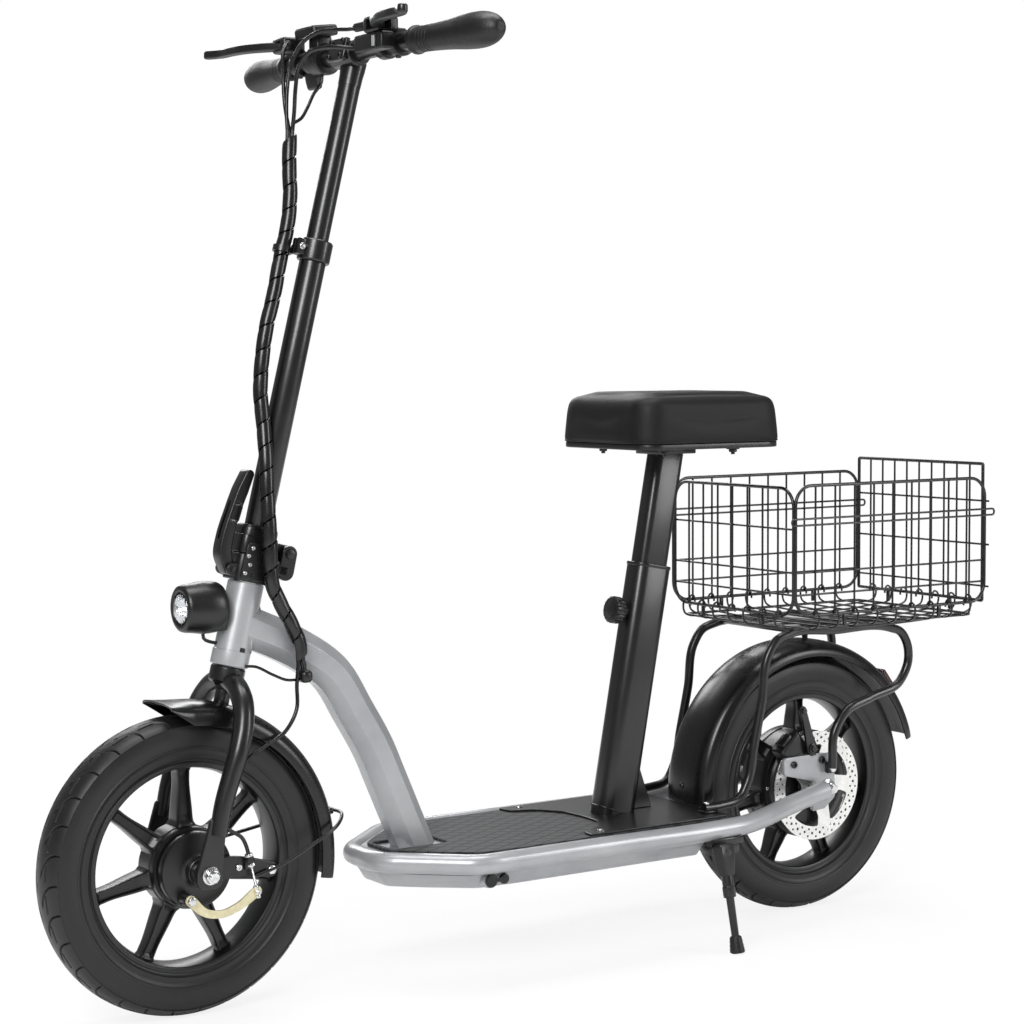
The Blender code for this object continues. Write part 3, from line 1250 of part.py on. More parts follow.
def fromBar(points):
    return [BAR_CENTRE + Vector(point) for point in points]


def makeCables():
    first, last = adjusterEnds(-1)
    leaving = (last - first).normalized()
    front = [last + leaving * GAP, last + leaving * 0.010, last + Vector((-0.005, 0.034, 0.002))]
    front += fromBar([(-0.0475, 0, 0.0239), (-0.0565, 0.025, 0.0109), (-0.0645, 0.038, -0.0141),
                      (-0.0690, 0.040, -0.0441), (-0.0710, 0.039, -0.0741)])
    inWrap = cableInWrap(-0.0034, 0)
    stop = cableStop()
    below = [(0.1455, -0.0375, 0.405), (0.143, -0.041, 0.375), (0.125, -0.046, 0.350),
             (0.09, -0.052, 0.333),
             (0.064, -0.056, 0.320), (0.045, -0.0575, 0.298), (0.035, -0.0575, 0.27),
             (0.034, -0.0575, 0.24)]
    along = (cableAnchor() - stop).normalized()
    arrival = [stop - along * 0.022 + Vector((-0.003, 0, 0.002)), stop - along * 0.012, stop - along * GAP]
    housing = cableRoute(front, inWrap, [*below, *arrival])
    wire = [stop - along * GAP * 0.5, stop + along * 0.020, cableAnchor() - along * 0.0080]
    factors = [1] * len(housing) + [0.4] * len(wire)
    cable = tube("front_brake_cable", housing + wire, BRAKE_CABLE_RADIUS, 8, factors)
    finish(cable, "frame", CABLE_BLACK)
    first, last = adjusterEnds(1)
    leaving = (last - first).normalized()
    rear = [last + leaving * GAP, last + leaving * 0.012]
    rear += fromBar([(-0.0575, 0.072, 0.0039), (-0.0625, 0.062, -0.0191), (-0.0665, 0.054, -0.0491),
                     (-0.0675, 0.047, -0.0741)])
    inWrap = cableInWrap(0.0020, -0.0032)
    route = cableRoute(rear, inWrap, intoGland(inWrap[-1]))
    finish(tube("rear_brake_cable", route, BRAKE_CABLE_RADIUS, 8), "frame", CABLE_BLACK)
    inWrap = cableInWrap(0.0020, 0.0032)
    display = fromBar([(0, 0.072, -0.0203), (-0.001, 0.072, -0.028), (-0.0145, 0.068, -0.0441),
                       (-0.0325, 0.055, -0.0661), (-0.0495, 0.0415, -0.0811)])
    face = BAR_CENTRE + Vector((-0.029, -0.075 + GAP, -0.002))
    switch = [face, face + Vector((0, 0.008, 0))]
    switch += fromBar([(-0.0435, -0.040, 0.0019), (-0.0505, -0.015, 0.0029), (-0.0565, 0.006, -0.0011),
                       (-0.0620, 0.022, -0.0191), (-0.0630, 0.029, -0.0441), (-0.0640, 0.0315, -0.0741)])
    loom = tube("wiring_loom", cableRoute(switch, inWrap, intoGland(inWrap[-1])), LOOM_RADIUS, 8)
    lead = tube("display_lead", smoothRoute([*display, inWrap[0] + Vector((0, 0, 0.010))], 0.0006),
                LOOM_RADIUS * 0.85, 8)
    finish(join(loom, [lead]), "frame", CABLE_BLACK)


# Rear frame

def makeDropouts():
    corners = [(-0.083, 0.0503, 0.006), (0.004, 0.0520, 0.003), (0.0135, 0.022, 0.010),
               (0.0160, -0.014, 0.012),
               (-0.0047, -0.0300, 0.003), (-0.0277, -0.0320, 0.003), (-0.0278, 0.006, 0.004),
               (-0.0260, 0.0115, 0.004), (-0.081, 0.0254, 0.004)]
    for side, name in ((-1, "left_dropout"), (1, "right_dropout")):
        y = side * (DROPOUT_INNER + DROPOUT_THICKNESS / 2)
        holes = [circle((0, 0), AXLE_RADIUS + GAP, 12)]
        if side < 0:
            holes += [circle(bolt, 0.003 + GAP, 8) for bolt in CALIPER_BOLTS]
        item = plate(name, rounded(corners, 2), DROPOUT_THICKNESS,
                     Matrix.Translation(REAR + Vector((0, y, 0))) @ UPRIGHT, holes)
        if side < 0:
            scallop = rod("arm_scallop", caliperPivot + Vector((0, -0.01, 0)),
                          caliperPivot + Vector((0, 0.01, 0)),
                          0.0112, 10)
            item = cut(item, [scallop])
        finish(item, "frame", SILVER)


CALIPER_BOLTS = [(-0.0648, 0.0403), (-0.0119, 0.0423)]


def makeCaliper():
    angle = radians(131.5)
    turn = Matrix.Translation(REAR) @ Matrix.Rotation(-angle, 4, "Y")
    inner = DISC_Y + 0.0105
    outer = -DROPOUT_INNER + 0.0020
    block = box("brake_caliper", (0.060, outer, -0.021), (0.096, inner, 0.022), 0, turn)
    slot = box("disc_slot", (0.040, DISC_Y - 0.0022, -0.05),
               (DISC_RADIUS + 0.002, DISC_Y + 0.0022, 0.05), 0, turn)
    block = cut(block, [slot])
    bracketY = -DROPOUT_INNER + GAP + 0.0018
    path = [CALIPER_BOLTS[0], (-0.040, 0.0455), CALIPER_BOLTS[1]]
    bracket = plate("caliper_bracket", strip(path, [0.008, 0.008, 0.007]), 0.0036,
                    Matrix.Translation(REAR + Vector((0, bracketY, 0))) @ UPRIGHT)
    pieces = [bracket]
    outside = -DROPOUT_INNER - DROPOUT_THICKNESS - GAP
    for x, z in CALIPER_BOLTS:
        place = REAR + Vector((x, 0, z))
        pieces.append(rod("caliper_bolt", (place.x, bracketY, place.z),
                          (place.x, outside - 0.001, place.z), 0.003, 6))
        pieces.append(rod("bolt_head", (place.x, outside, place.z), (place.x, outside - 0.0036, place.z),
                          0.0052, 6))
    pivot = caliperPivot
    pieces.append(rod("arm_pin", (pivot.x, outer + 0.002, pivot.z), (pivot.x, pivot.y - 0.005, pivot.z),
                      0.003, 8))
    finish(join(block, pieces), "frame", BLACK_METAL)
    points = [(0, 0), (-0.006, 0.018), (-0.012, 0.040), (-0.018, 0.058)]
    arm = plate("caliper_arm", strip(points, [0.0095, 0.0070, 0.0055, 0.0055]), 0.005,
                Matrix.Translation(pivot) @ UPRIGHT, [circle((0, 0), 0.003 + RUNNING, 10)])
    finish(arm, "caliper_arm", BLACK_METAL)


def makeRearAxle():
    outside = DROPOUT_INNER + DROPOUT_THICKNESS + GAP
    inside = DROPOUT_INNER - GAP
    shaft = rod("rear_axle", around(REAR, 0, 0, -outside - 0.0165), around(REAR, 0, 0, outside + 0.0165),
                AXLE_RADIUS, 10)
    stator = MOTOR_HALF_WIDTH - 0.014
    pieces = [rod("stator", around(REAR, 0, 0, -stator), around(REAR, 0, 0, stator),
                  MOTOR_RADIUS - MOTOR_WALL - 0.003, 12)]
    for side, start in ((-1, -DISC_Y + 0.0025), (1, MOTOR_HALF_WIDTH + GAP)):
        pieces.append(rod("axle_locknut", around(REAR, 0, 0, side * start),
                          around(REAR, 0, 0, side * inside), 0.0105, 10))
        pieces.append(rod("axle_washer", around(REAR, 0, 0, side * outside),
                          around(REAR, 0, 0, side * (outside + 0.0016)), 0.0130, 10))
        pieces.append(rod("axle_nut", around(REAR, 0, 0, side * (outside + 0.001)),
                          around(REAR, 0, 0, side * (outside + 0.0100)), 0.0104, 6))
    finish(join(shaft, pieces), "frame", BRIGHT_STEEL)


def rackRoute(side):
    height = COVER_TOP + GAP + RACK_RADIUS * cos(pi / 6)
    front = [(0.762, height), (0.792, height)]
    rear = [(-0.1729, 0.0060), (-0.1584, 0.0287), (-0.1476, 0.0767), (-0.133, 0.1406), (-0.122, 0.2041),
            (-0.107, 0.2240), (-0.0814, 0.2326), (0, 0.2322), (0.1114, 0.2279), (0.132, 0.2207),
            (0.1455, 0.2017),
            (0.1478, 0.1762), (0.1319, 0.1476), (0.0725, 0.1273), (0.0238, 0.1094), (0.0046, 0.0848),
            (0, 0.0302)]
    points = front + [(REAR.x + x, REAR.z + z) for x, z in rear]
    return smoothRoute([(x, side * RACK_Y, z) for x, z in points], 0.0020)


def makeRack():
    tubes = [tube("rack_side", rackRoute(side), RACK_RADIUS, 6) for side in (-1, 1)]
    rack = tubes[0]
    rack.name = "rear_rack"
    pieces = [tubes[1]]
    height = BASKET_FLOOR - GAP - RACK_BAR_RADIUS
    for x in (-0.070, 0.020, 0.100):
        pieces.append(rod("rack_bar", (REAR.x + x, -RACK_Y, height), (REAR.x + x, RACK_Y, height),
                          RACK_BAR_RADIUS, 8))
    post = rod("guard_post", (REAR.x + 0.020, 0, height), (REAR.x + 0.020, 0, REAR.z + 0.205), 0.0045, 8)
    pieces.append(cut(post, [guardClearance(REAR, REAR_GUARD_RADIUS, REAR_GUARD_START)]))
    outside = DROPOUT_INNER + DROPOUT_THICKNESS + GAP
    for side in (-1, 1):
        low, high = sorted((side * outside, side * RACK_Y))
        pieces.append(box("rack_foot", (REAR.x - 0.006, low, REAR.z + 0.0225),
                          (REAR.x + 0.006, high, REAR.z + 0.0385)))
    finish(join(rack, pieces), "frame", BLACK_METAL)


def makeRearMudguard():
    section = [(0.022, 0.0455), (0.0080, 0.0415), (0, 0.0160)]
    guard = makeMudguard("rear_fender", REAR, REAR_GUARD_RADIUS, section, REAR_GUARD_START, 14)
    finish(guard, "frame", BLACK_PLASTIC)
    angle = radians(38)
    turn = Matrix.Translation(REAR) @ Matrix.Rotation(-angle, 4, "Y")
    start = REAR_GUARD_RADIUS + GAP
    light = box("tail_light", (start, -0.019, -0.0225), (start + 0.014, 0.019, 0.0225), 0, turn)
    finish(light, "frame", RED_LENS)


# Basket

def grille(name, low, high, columns, rows, matrix, corner=0, latch=False):
    # Rows are the heights of the cross wires. The frame runs round the outside.
    inner = FRAME_WIRE
    edgesX = [low[0] + inner]
    span = high[0] - low[0] - FRAME_WIRE
    for index in range(1, columns):
        middle = low[0] + FRAME_WIRE / 2 + span * index / columns
        edgesX += [middle - WIRE / 2, middle + WIRE / 2]
    edgesX.append(high[0] - inner)
    edgesY = [low[1] + inner]
    for height in rows:
        edgesY += [height - WIRE / 2, height + WIRE / 2]
    edgesY.append(high[1] - inner)
    holes = []
    lastX = len(edgesX) - 2
    lastY = len(edgesY) - 2
    if latch:
        holes.append(rectangle((edgesX[0], LATCH_LOW + WIRE), (edgesX[-1], LATCH_HIGH - WIRE)))
    for i in range(0, len(edgesX), 2):
        for j in range(0, len(edgesY), 2):
            if latch and abs(edgesY[j] - LATCH_LOW - WIRE) < WIRE / 2:
                continue
            cell = [[edgesX[i], edgesY[j]], [edgesX[i + 1], edgesY[j]],
                    [edgesX[i + 1], edgesY[j + 1]], [edgesX[i], edgesY[j + 1]]]
            left = corner if corner and i == 0 else 0
            right = corner if corner and i == lastX else 0
            sizes = [left if j == 0 else 0, right if j == 0 else 0, right if j == lastY else 0,
                     left if j == lastY else 0]
            limit = min(edgesX[i + 1] - edgesX[i], edgesY[j + 1] - edgesY[j]) - 0.001
            holes.append(rounded([(x, y, min(size, limit)) for (x, y), size in zip(cell, sizes)], 2))
    outline = rectangle(low, high, corner + FRAME_WIRE if corner else 0, 3)
    windows = plate(name + "_windows", holes[0], 3 * PANEL_THICKNESS, matrix, holes[1:])
    return cut(plate(name, outline, PANEL_THICKNESS, matrix), [windows])


def levelBetween(low, high, share):
    return low + (high - low) * share


def makeBasket():
    floorTop = BASKET_FLOOR + PANEL_THICKNESS
    length = BASKET_REAR - BASKET_FRONT
    middle = (BASKET_FRONT + BASKET_REAR) / 2
    half = PANEL_THICKNESS / 2
    floor = grille("basket_floor", (BASKET_FRONT - half, -BASKET_HALF_WIDTH - half),
                   (BASKET_REAR + half, BASKET_HALF_WIDTH + half), 5, (-0.0463, 0.0463),
                   Matrix.Translation((0, 0, BASKET_FLOOR + half)))
    finish(floor, "frame", BLACK_METAL)
    inside = BASKET_HALF_WIDTH - half - GAP
    for side, name in ((-1, "basket_left_panel"), (1, "basket_right_panel")):
        place = Matrix.Translation((0, side * BASKET_HALF_WIDTH, 0)) @ UPRIGHT
        panel = grille(name, (BASKET_FRONT - half, BASKET_SIDE_BOTTOM),
                       (BASKET_REAR + half, BASKET_SIDE_TOP), 5,
                       (levelBetween(BASKET_SIDE_BOTTOM, BASKET_SIDE_TOP, 0.336), LATCH_LOW + WIRE / 2,
                        LATCH_HIGH - WIRE / 2), place, 0.026, True)
        pieces = []
        for start, end in ((BASKET_FRONT - 0.0095, BASKET_FRONT + 0.0015),
                           (BASKET_REAR - 0.0015, LATCH_END)):
            hole = rectangle((start + WIRE, LATCH_LOW + WIRE - GAP), (end - WIRE, LATCH_HIGH - WIRE + GAP))
            loop = rectangle((start, LATCH_LOW + GAP), (end, LATCH_HIGH - GAP))
            pieces.append(plate("latch_loop", loop, WIRE, place, [hole]))
        for x in (middle - length / 4, middle + length / 4):
            pieces.append(box("panel_foot", (x - WIRE, side * BASKET_HALF_WIDTH - WIRE / 2, floorTop + GAP),
                              (x + WIRE, side * BASKET_HALF_WIDTH + WIRE / 2, BASKET_SIDE_BOTTOM + 0.002)))
        finish(join(panel, pieces), "frame", BLACK_METAL)
    ends = (("basket_front_panel", BASKET_FRONT, BASKET_FRONT_TOP, 0.026, (0.342, 0.674)),
            ("basket_rear_panel", BASKET_REAR, BASKET_REAR_TOP, 0, (0.327, 0.6635)))
    for name, x, top, corner, shares in ends:
        rows = [levelBetween(BASKET_SIDE_BOTTOM, top, share) for share in shares]
        place = Matrix.Translation((x, 0, 0)) @ Matrix.Rotation(radians(90), 4, "Z") @ UPRIGHT
        panel = grille(name, (-inside, BASKET_SIDE_BOTTOM), (inside, top), 4, rows, place, corner)
        pieces = []
        for y in (-inside / 2, inside / 2):
            pieces.append(box("panel_foot", (x - WIRE / 2, y - WIRE, floorTop + GAP),
                              (x + WIRE / 2, y + WIRE, BASKET_SIDE_BOTTOM + 0.002)))
        finish(join(panel, pieces), "frame", BLACK_METAL)


# Kickstand

def makeKickstand():
    pivot = Vector((KICKSTAND_X, KICKSTAND_Y, KICKSTAND_Z))
    foot = Vector((*KICKSTAND_FOOT, 0))
    along = (foot - pivot).normalized()
    hub = rod("kickstand_leg", pivot - Vector((0, 0.006, 0)), pivot + Vector((0, 0.0097, 0)), 0.0115, 10)
    pin = rod("stand_pin", pivot, pivot + Vector((0, 0.037, 0)), 0.004, 10)
    upper = rod("stand_upper", pivot, pivot + along * 0.045, 0.0090, 8)
    sleeve = rod("stand_sleeve", pivot + along * 0.040, pivot + along * 0.072, 0.0100, 8)
    lower = rod("stand_lower", pivot + along * 0.060, pivot + along * 0.125, 0.0075, 8)
    shoe = rod("stand_shoe", pivot + along * 0.118, pivot + along * 0.155, 0.0095, 8, 0.0115)
    floor = box("floor", (foot.x - 0.05, foot.y - 0.05, -0.03), (foot.x + 0.05, foot.y + 0.05, 0))
    leg = cut(join(hub, [pin, upper, sleeve, lower, shoe]), [floor])
    finish(leg, "kickstand", BLACK_METAL)


makeFrontWheel()
makeRearWheel()
makeBrakeDisc()
makeFrontAxle()
makeBrakePlate()
makeBrakeArm()
makeFork()
makeFrontMudguard()
makeMudguardStay()
makeHeadTube()
makeHeadlight()
makeMainTube()
makeDeckFrame()
makeBellyTray()
makeChargeCap()
makeDeckTop()
makeInside()
makeSleeve()
makeSeat()
makeSeatKnob()
makeFoldBase()
makeFoldLever()
makeStemLower()
makeStemUpper()
makeHandlebar()
makeGrips()
makeLeverBrackets()
makeBrakeLevers()
makeDisplay()
makeSwitchBox()
makeSpiralWrap()
makeCables()
makeDropouts()
makeCaliper()
makeRearAxle()
makeRack()
makeRearMudguard()
makeBasket()
makeKickstand()
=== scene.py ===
# Seated electric scooter, dressed and lit like its product photograph.
# Lengths are metres. Pieces are laid out with X running back from the front axle,
# Y to the rider's right and Z up, and assemble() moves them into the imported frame.
import bpy
import bmesh
import json
from math import atan2, ceil, cos, pi, radians, sin, sqrt, tan
from mathutils import Matrix, Vector


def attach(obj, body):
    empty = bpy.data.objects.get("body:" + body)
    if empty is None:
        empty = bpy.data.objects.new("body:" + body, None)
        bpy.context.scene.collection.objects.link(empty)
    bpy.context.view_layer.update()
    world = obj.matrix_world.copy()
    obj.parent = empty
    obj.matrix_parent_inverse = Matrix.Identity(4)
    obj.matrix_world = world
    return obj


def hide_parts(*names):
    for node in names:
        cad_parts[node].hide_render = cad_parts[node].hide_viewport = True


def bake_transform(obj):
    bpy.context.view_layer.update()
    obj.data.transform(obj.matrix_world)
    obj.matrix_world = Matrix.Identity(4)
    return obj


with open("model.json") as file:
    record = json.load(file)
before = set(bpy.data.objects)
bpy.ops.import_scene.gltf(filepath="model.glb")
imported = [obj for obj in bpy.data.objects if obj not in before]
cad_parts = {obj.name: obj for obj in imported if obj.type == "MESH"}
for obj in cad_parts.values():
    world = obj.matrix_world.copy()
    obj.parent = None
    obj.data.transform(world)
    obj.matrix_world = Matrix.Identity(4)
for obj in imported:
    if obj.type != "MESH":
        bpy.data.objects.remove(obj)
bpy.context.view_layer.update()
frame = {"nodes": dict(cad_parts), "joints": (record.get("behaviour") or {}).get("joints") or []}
print("frame loaded:", len(frame["nodes"]), "nodes")


def at(x, y, z):
    # a place, or a step from one place to the next
    return Vector((x, y, z))


# Places that many pieces share
spin = {joint["name"]: Vector(joint["pos_m"]) for joint in frame["joints"] if "pos_m" in joint}
axleHeight = spin["front_wheel_spin"].z
origin = at(spin["front_wheel_spin"].x, 0, 0)
front = at(0, 0, axleHeight)
rear = at(1, 0, axleHeight)
head = spin["steering"] - origin
barCentre = spin["throttle_push"] - origin
steer = Matrix.Translation(head) @ Matrix.Rotation(radians(14), 4, "Y")
coverTop = 0.1788
sleeveFoot = 0.6655
seatLean = radians(10.7)
seatFrame = Matrix.Translation((sleeveFoot, 0, coverTop)) @ Matrix.Rotation(seatLean, 4, "Y")
barHeight = 0.7408  # of the clamp, up the stem
upright = Matrix.Rotation(radians(90), 4, "X")
across = Matrix.Rotation(radians(-90), 4, "X")
sides = ((-1, "left"), (1, "right"))


# Colours and materials

def linear(hexText):
    parts = [int(hexText[index:index + 2], 16) / 255 for index in (1, 3, 5)]
    return (*[part / 12.92 if part <= 0.04045 else ((part + 0.055) / 1.055) ** 2.4 for part in parts], 1)


def addNode(tree, kind, inputs, **settings):
    item = tree.nodes.new("ShaderNode" + kind)
    for key, value in settings.items():
        setattr(item, key, value)
    for key, value in inputs.items():
        if isinstance(value, bpy.types.NodeSocket):
            tree.links.new(value, item.inputs[key])
        else:
            item.inputs[key].default_value = value
    return item


finishes = {}


def startFinish(name, look):
    # look holds the shader's own numbers, and comes back with the piece's own coordinates in metres
    material = bpy.data.materials.new(name)
    material.use_nodes = True
    tree = material.node_tree
    shader = tree.nodes["Principled BSDF"]
    for key, value in look.items():
        shader.inputs[key].default_value = value
    place = addNode(tree, "TexCoord", {}).outputs["Object"]
    finishes[name] = material
    return tree, shader, place


def mottle(tree, shader, place, tones, scale):
    # two close tones of one colour, so that no surface is a flat fill
    cloud = addNode(tree, "TexNoise", {"Vector": place, "Scale": scale, "Detail": 5.0, "Roughness": 0.6})
    ramp = addNode(tree, "ValToRGB", {"Fac": cloud.outputs["Fac"]})
    for stop, tone, position in zip(ramp.color_ramp.elements, tones, (0.35, 0.65)):
        stop.color = linear(tone)
        stop.position = position
    tree.links.new(ramp.outputs["Color"], shader.inputs["Base Color"])
    return cloud.outputs["Fac"]


def relief(tree, shader, height, distance, strength):
    bump = addNode(tree, "Bump", {"Height": height, "Distance": distance, "Strength": strength})
    tree.links.new(bump.outputs["Normal"], shader.inputs["Normal"])


def roughnessFrom(tree, shader, source, low, high):
    spread = addNode(tree, "MapRange", {"Value": source, "To Min": low, "To Max": high})
    tree.links.new(spread.outputs["Result"], shader.inputs["Roughness"])


def makeFinish(name, slot, look, tones, scale, rough=None, bump=None, texture=None, cloudy=False, **settings):
    # roughness (low, high) and relief (depth, strength) follow the texture, or the cloud of the two tones
    tree, shader, place = startFinish(name, look)
    cloud = source = mottle(tree, shader, place, tones, scale)
    if texture:
        kind, inputs = texture
        pattern = addNode(tree, kind, {"Vector": place, **inputs}, **settings)
        source = pattern.outputs["Distance" if kind == "TexVoronoi" else "Fac"]
    if rough:
        roughnessFrom(tree, shader, cloud if cloudy else source, *rough)
    if bump:
        relief(tree, shader, source, *bump)


# Metallic lacquer on steel tube, sprayed: fine aluminium flake under a soft clear coat.
makeFinish("silverLacquer", "silver_paint",
    {"Metallic": 0.3, "Roughness": 0.34, "Coat Weight": 0.45, "Coat Roughness": 0.12},
    ("#9c9da0", "#adaeb0"), 9.0, (0.28, 0.44), (0.00005, 0.25),
    ("TexNoise", {"Scale": 1400.0, "Detail": 2.0}))  # flake of 0.7 mm, coarser than real

# Powder coat on steel tube: satin black with the faint orange peel that powder leaves.
makeFinish("satinPowderCoat", "satin_black_metal",
    {"Roughness": 0.32, "Specular IOR Level": 0.5, "Coat Weight": 0.25, "Coat Roughness": 0.16},
    ("#0c0c0d", "#131314"), 30.0, (0.25, 0.38), (0.0001, 0.4),
    ("TexNoise", {"Scale": 650.0, "Detail": 3.0}))  # peel of 1.5 mm

# Cast aluminium, painted: a little duller, with the grain of the mould still under the paint.
makeFinish("paintedCasting", "black_cast_alloy",
    {"Roughness": 0.34, "Specular IOR Level": 0.5, "Coat Weight": 0.15, "Coat Roughness": 0.2},
    ("#0c0c0d", "#121213"), 22.0, (0.28, 0.44), (0.00014, 0.5),
    ("TexNoise", {"Scale": 900.0, "Detail": 6.0, "Roughness": 0.7}))

# ABS, moulded in a spark-eroded tool: matt black with a fine pebble.
makeFinish("mouldedPlastic", "black_plastic", {"Roughness": 0.42, "Specular IOR Level": 0.5, "IOR": 1.53},
    ("#0c0c0d", "#121213"), 18.0, (0.26, 0.42), (0.0001, 0.35),
    ("TexVoronoi", {"Scale": 1100.0}))  # pebbles of 0.9 mm

# Mudguard polypropylene: same black, smoother and with long soft highlights.
makeFinish("mudguardPlastic", "black_plastic", {"Roughness": 0.34, "Specular IOR Level": 0.5, "IOR": 1.49},
    ("#0b0b0c", "#101011"), 14.0, (0.22, 0.31), (0.0004, 0.2),
    ("TexNoise", {"Scale": 60.0, "Detail": 2.0}), cloudy=True)

# Vulcanised tyre rubber: dull charcoal, dusty in the grooves and smoother on the side wall.
makeFinish("tyreRubber", "tyre_rubber",
    {"Roughness": 0.5, "Specular IOR Level": 0.5, "IOR": 1.52, "Sheen Weight": 0.03,
        "Sheen Roughness": 0.5},
    ("#09090a", "#0f0f10"), 40.0, (0.36, 0.52), (0.00012, 0.5),
    ("TexNoise", {"Scale": 1500.0, "Detail": 4.0}), cloudy=True)

# Grip compound: soft thermoplastic rubber, moulded, nearly without gloss.
makeFinish("gripRubber", "grip_rubber",
    {"Roughness": 0.5, "Specular IOR Level": 0.5, "Sheen Weight": 0.04, "Sheen Roughness": 0.4},
    ("#0a0a0b", "#101011"), 45.0, (0.38, 0.54), (0.0004, 0.55),
    ("TexVoronoi", {"Scale": 420.0}), feature="SMOOTH_F1")  # pips of 2.4 mm

# Zinc or chrome on nuts and screws: bright and slightly clouded.
makeFinish("brightPlating", "bright_steel", {"Metallic": 1.0, "Roughness": 0.18},
    ("#c4c5c6", "#e6e6e6"), 160.0, (0.12, 0.3))

# Yellow passivated zinc on a stamped steel arm: pale brass, softly clouded.
makeFinish("yellowZinc", "yellow_zinc", {"Metallic": 0.6, "Roughness": 0.38},
    ("#cbc39c", "#e2dab8"), 120.0, (0.3, 0.48))

# Vacuum-metallised reflector: mirror with the faint facets of its mould.
makeFinish("lampReflector", "bright_steel", {"Metallic": 1.0, "Roughness": 0.06},
    ("#dcdcdc", "#f2f2f2"), 80.0, None, (0.0012, 0.8), ("TexVoronoi", {"Scale": 180.0}))

# Acrylic reflector lens, dark red with pyramids behind the face.
makeFinish("redLens", "dark_red_lens",
    {"Roughness": 0.12, "IOR": 1.49, "Coat Weight": 0.6, "Coat Roughness": 0.05},
    ("#260606", "#3c0b0a"), 90.0, None, (0.0008, 0.6),
    ("TexVoronoi", {"Scale": 380.0}), distance="CHEBYCHEV")

# Grey ABS of the rocker, satin.
makeFinish("greyRocker", "grey_plastic", {"Roughness": 0.45, "IOR": 1.53},
    ("#8f9192", "#a2a3a4"), 200.0, None, (0.0001, 0.3))

# PVC jacket of the cables and the polyethylene spiral: black, fairly glossy, slightly wavy.
makeFinish("cableJacket", "cable_black", {"Roughness": 0.34, "IOR": 1.52},
    ("#0d0d0e", "#161617"), 70.0, (0.2, 0.34), (0.0003, 0.3))

# Heat-shrunk PVC round the battery cells, blue and crinkled.
makeFinish("shrinkSleeve", "battery_sleeve", {"Roughness": 0.35, "IOR": 1.52},
    ("#1d3f86", "#2a55a8"), 60.0, None, (0.0008, 0.5))

# Smoked glass of the display.
makeFinish("displayGlass", "black_plastic",
    {"Roughness": 0.08, "IOR": 1.5, "Coat Weight": 0.5, "Coat Roughness": 0.03},
    ("#0e0f11", "#17181b"), 50.0, (0.05, 0.12))

# Foot mat: calendered rubber sheet, charcoal, with thin raised lines crossing every 18 mm into diamonds.
tree, shader, place = startFinish("diamondMat", {
    "Roughness": 0.72, "Specular IOR Level": 0.35, "Sheen Weight": 0.1})
lines = []
for turn in (28, -28):
    slanted = addNode(tree, "Mapping", {"Vector": place, "Rotation": (0, 0, radians(turn))})
    wave = addNode(tree, "TexWave", {"Vector": slanted.outputs["Vector"], "Scale": 17.5, "Distortion": 0.0},
        bands_direction="Y", wave_profile="SIN")
    lines.append(addNode(tree, "MapRange", {"Value": wave.outputs["Fac"], "From Min": 0.8, "From Max": 0.97}))
ridge = addNode(tree, "Math", {0: lines[0].outputs["Result"], 1: lines[1].outputs["Result"]},
    operation="MAXIMUM")
crumb = addNode(tree, "TexNoise", {"Vector": place, "Scale": 500.0, "Detail": 4.0})
tint = addNode(tree, "Mix", {"Factor": ridge.outputs[0], "A": linear("#37383a"), "B": linear("#1b1c1d")},
    data_type="RGBA")
tree.links.new(tint.outputs["Result"], shader.inputs["Base Color"])
level = addNode(tree, "Math", {0: crumb.outputs["Fac"], 1: 0.18, 2: ridge.outputs[0]},
    operation="MULTIPLY_ADD")
roughnessFrom(tree, shader, crumb.outputs["Fac"], 0.62, 0.8)
relief(tree, shader, level.outputs[0], 0.0007, 0.8)

# Stainless disc, ground flat: bright, with fine circular grinding marks.
tree, shader, place = startFinish("groundSteel", {"Metallic": 0.8, "Roughness": 0.34})
centred = addNode(tree, "Mapping", {"Vector": place, "Location": tuple(-(rear + origin))})
rings = addNode(tree, "TexWave", {"Vector": centred.outputs["Vector"], "Scale": 260.0, "Distortion": 1.5,
        "Detail": 3.0}, wave_type="RINGS", rings_direction="Y")
mottle(tree, shader, place, ("#e2e2e0", "#f2f1ef"), 60.0)
roughnessFrom(tree, shader, rings.outputs["Fac"], 0.22, 0.38)
relief(tree, shader, rings.outputs["Fac"], 0.00003, 0.5)

# Polycarbonate lens, moulded clear.
tree, shader, place = startFinish("clearLens", {
    "Base Color": linear("#f4f6f8"), "Roughness": 0.02, "IOR": 1.585, "Transmission Weight": 1.0})
flute = addNode(tree, "TexWave", {"Vector": place, "Scale": 60.0}, bands_direction="Y")
relief(tree, shader, flute.outputs["Fac"], 0.0002, 0.25)

# Seat vinyl: embossed PVC, black, with a fine leather grain and a soft sheen.
tree, shader, place = startFinish("grainedVinyl", {
    "Roughness": 0.5, "Specular IOR Level": 0.3, "Coat Weight": 0.04, "Coat Roughness": 0.3})
mottle(tree, shader, place, ("#050506", "#0a0a0a"), 26.0)
warp = addNode(tree, "TexNoise", {"Vector": place, "Scale": 120.0, "Detail": 3.0})
bent = addNode(tree, "MixRGB", {"Fac": 0.03, "Color1": place, "Color2": warp.outputs["Color"]},
    blend_type="ADD")
pores = addNode(tree, "TexVoronoi", {"Vector": bent.outputs["Color"], "Scale": 520.0},
    feature="DISTANCE_TO_EDGE")  # grain cells of 1.9 mm
roughnessFrom(tree, shader, pores.outputs["Distance"], 0.6, 0.46)
relief(tree, shader, pores.outputs["Distance"], 0.0003, 0.5)
print("materials made:", len(finishes))


# Mesh tools

def fresh(name, data, matrix=None):
    item = bpy.data.objects.new(name, data)
    bpy.context.scene.collection.objects.link(item)
    item.matrix_world = matrix or Matrix()
    return item


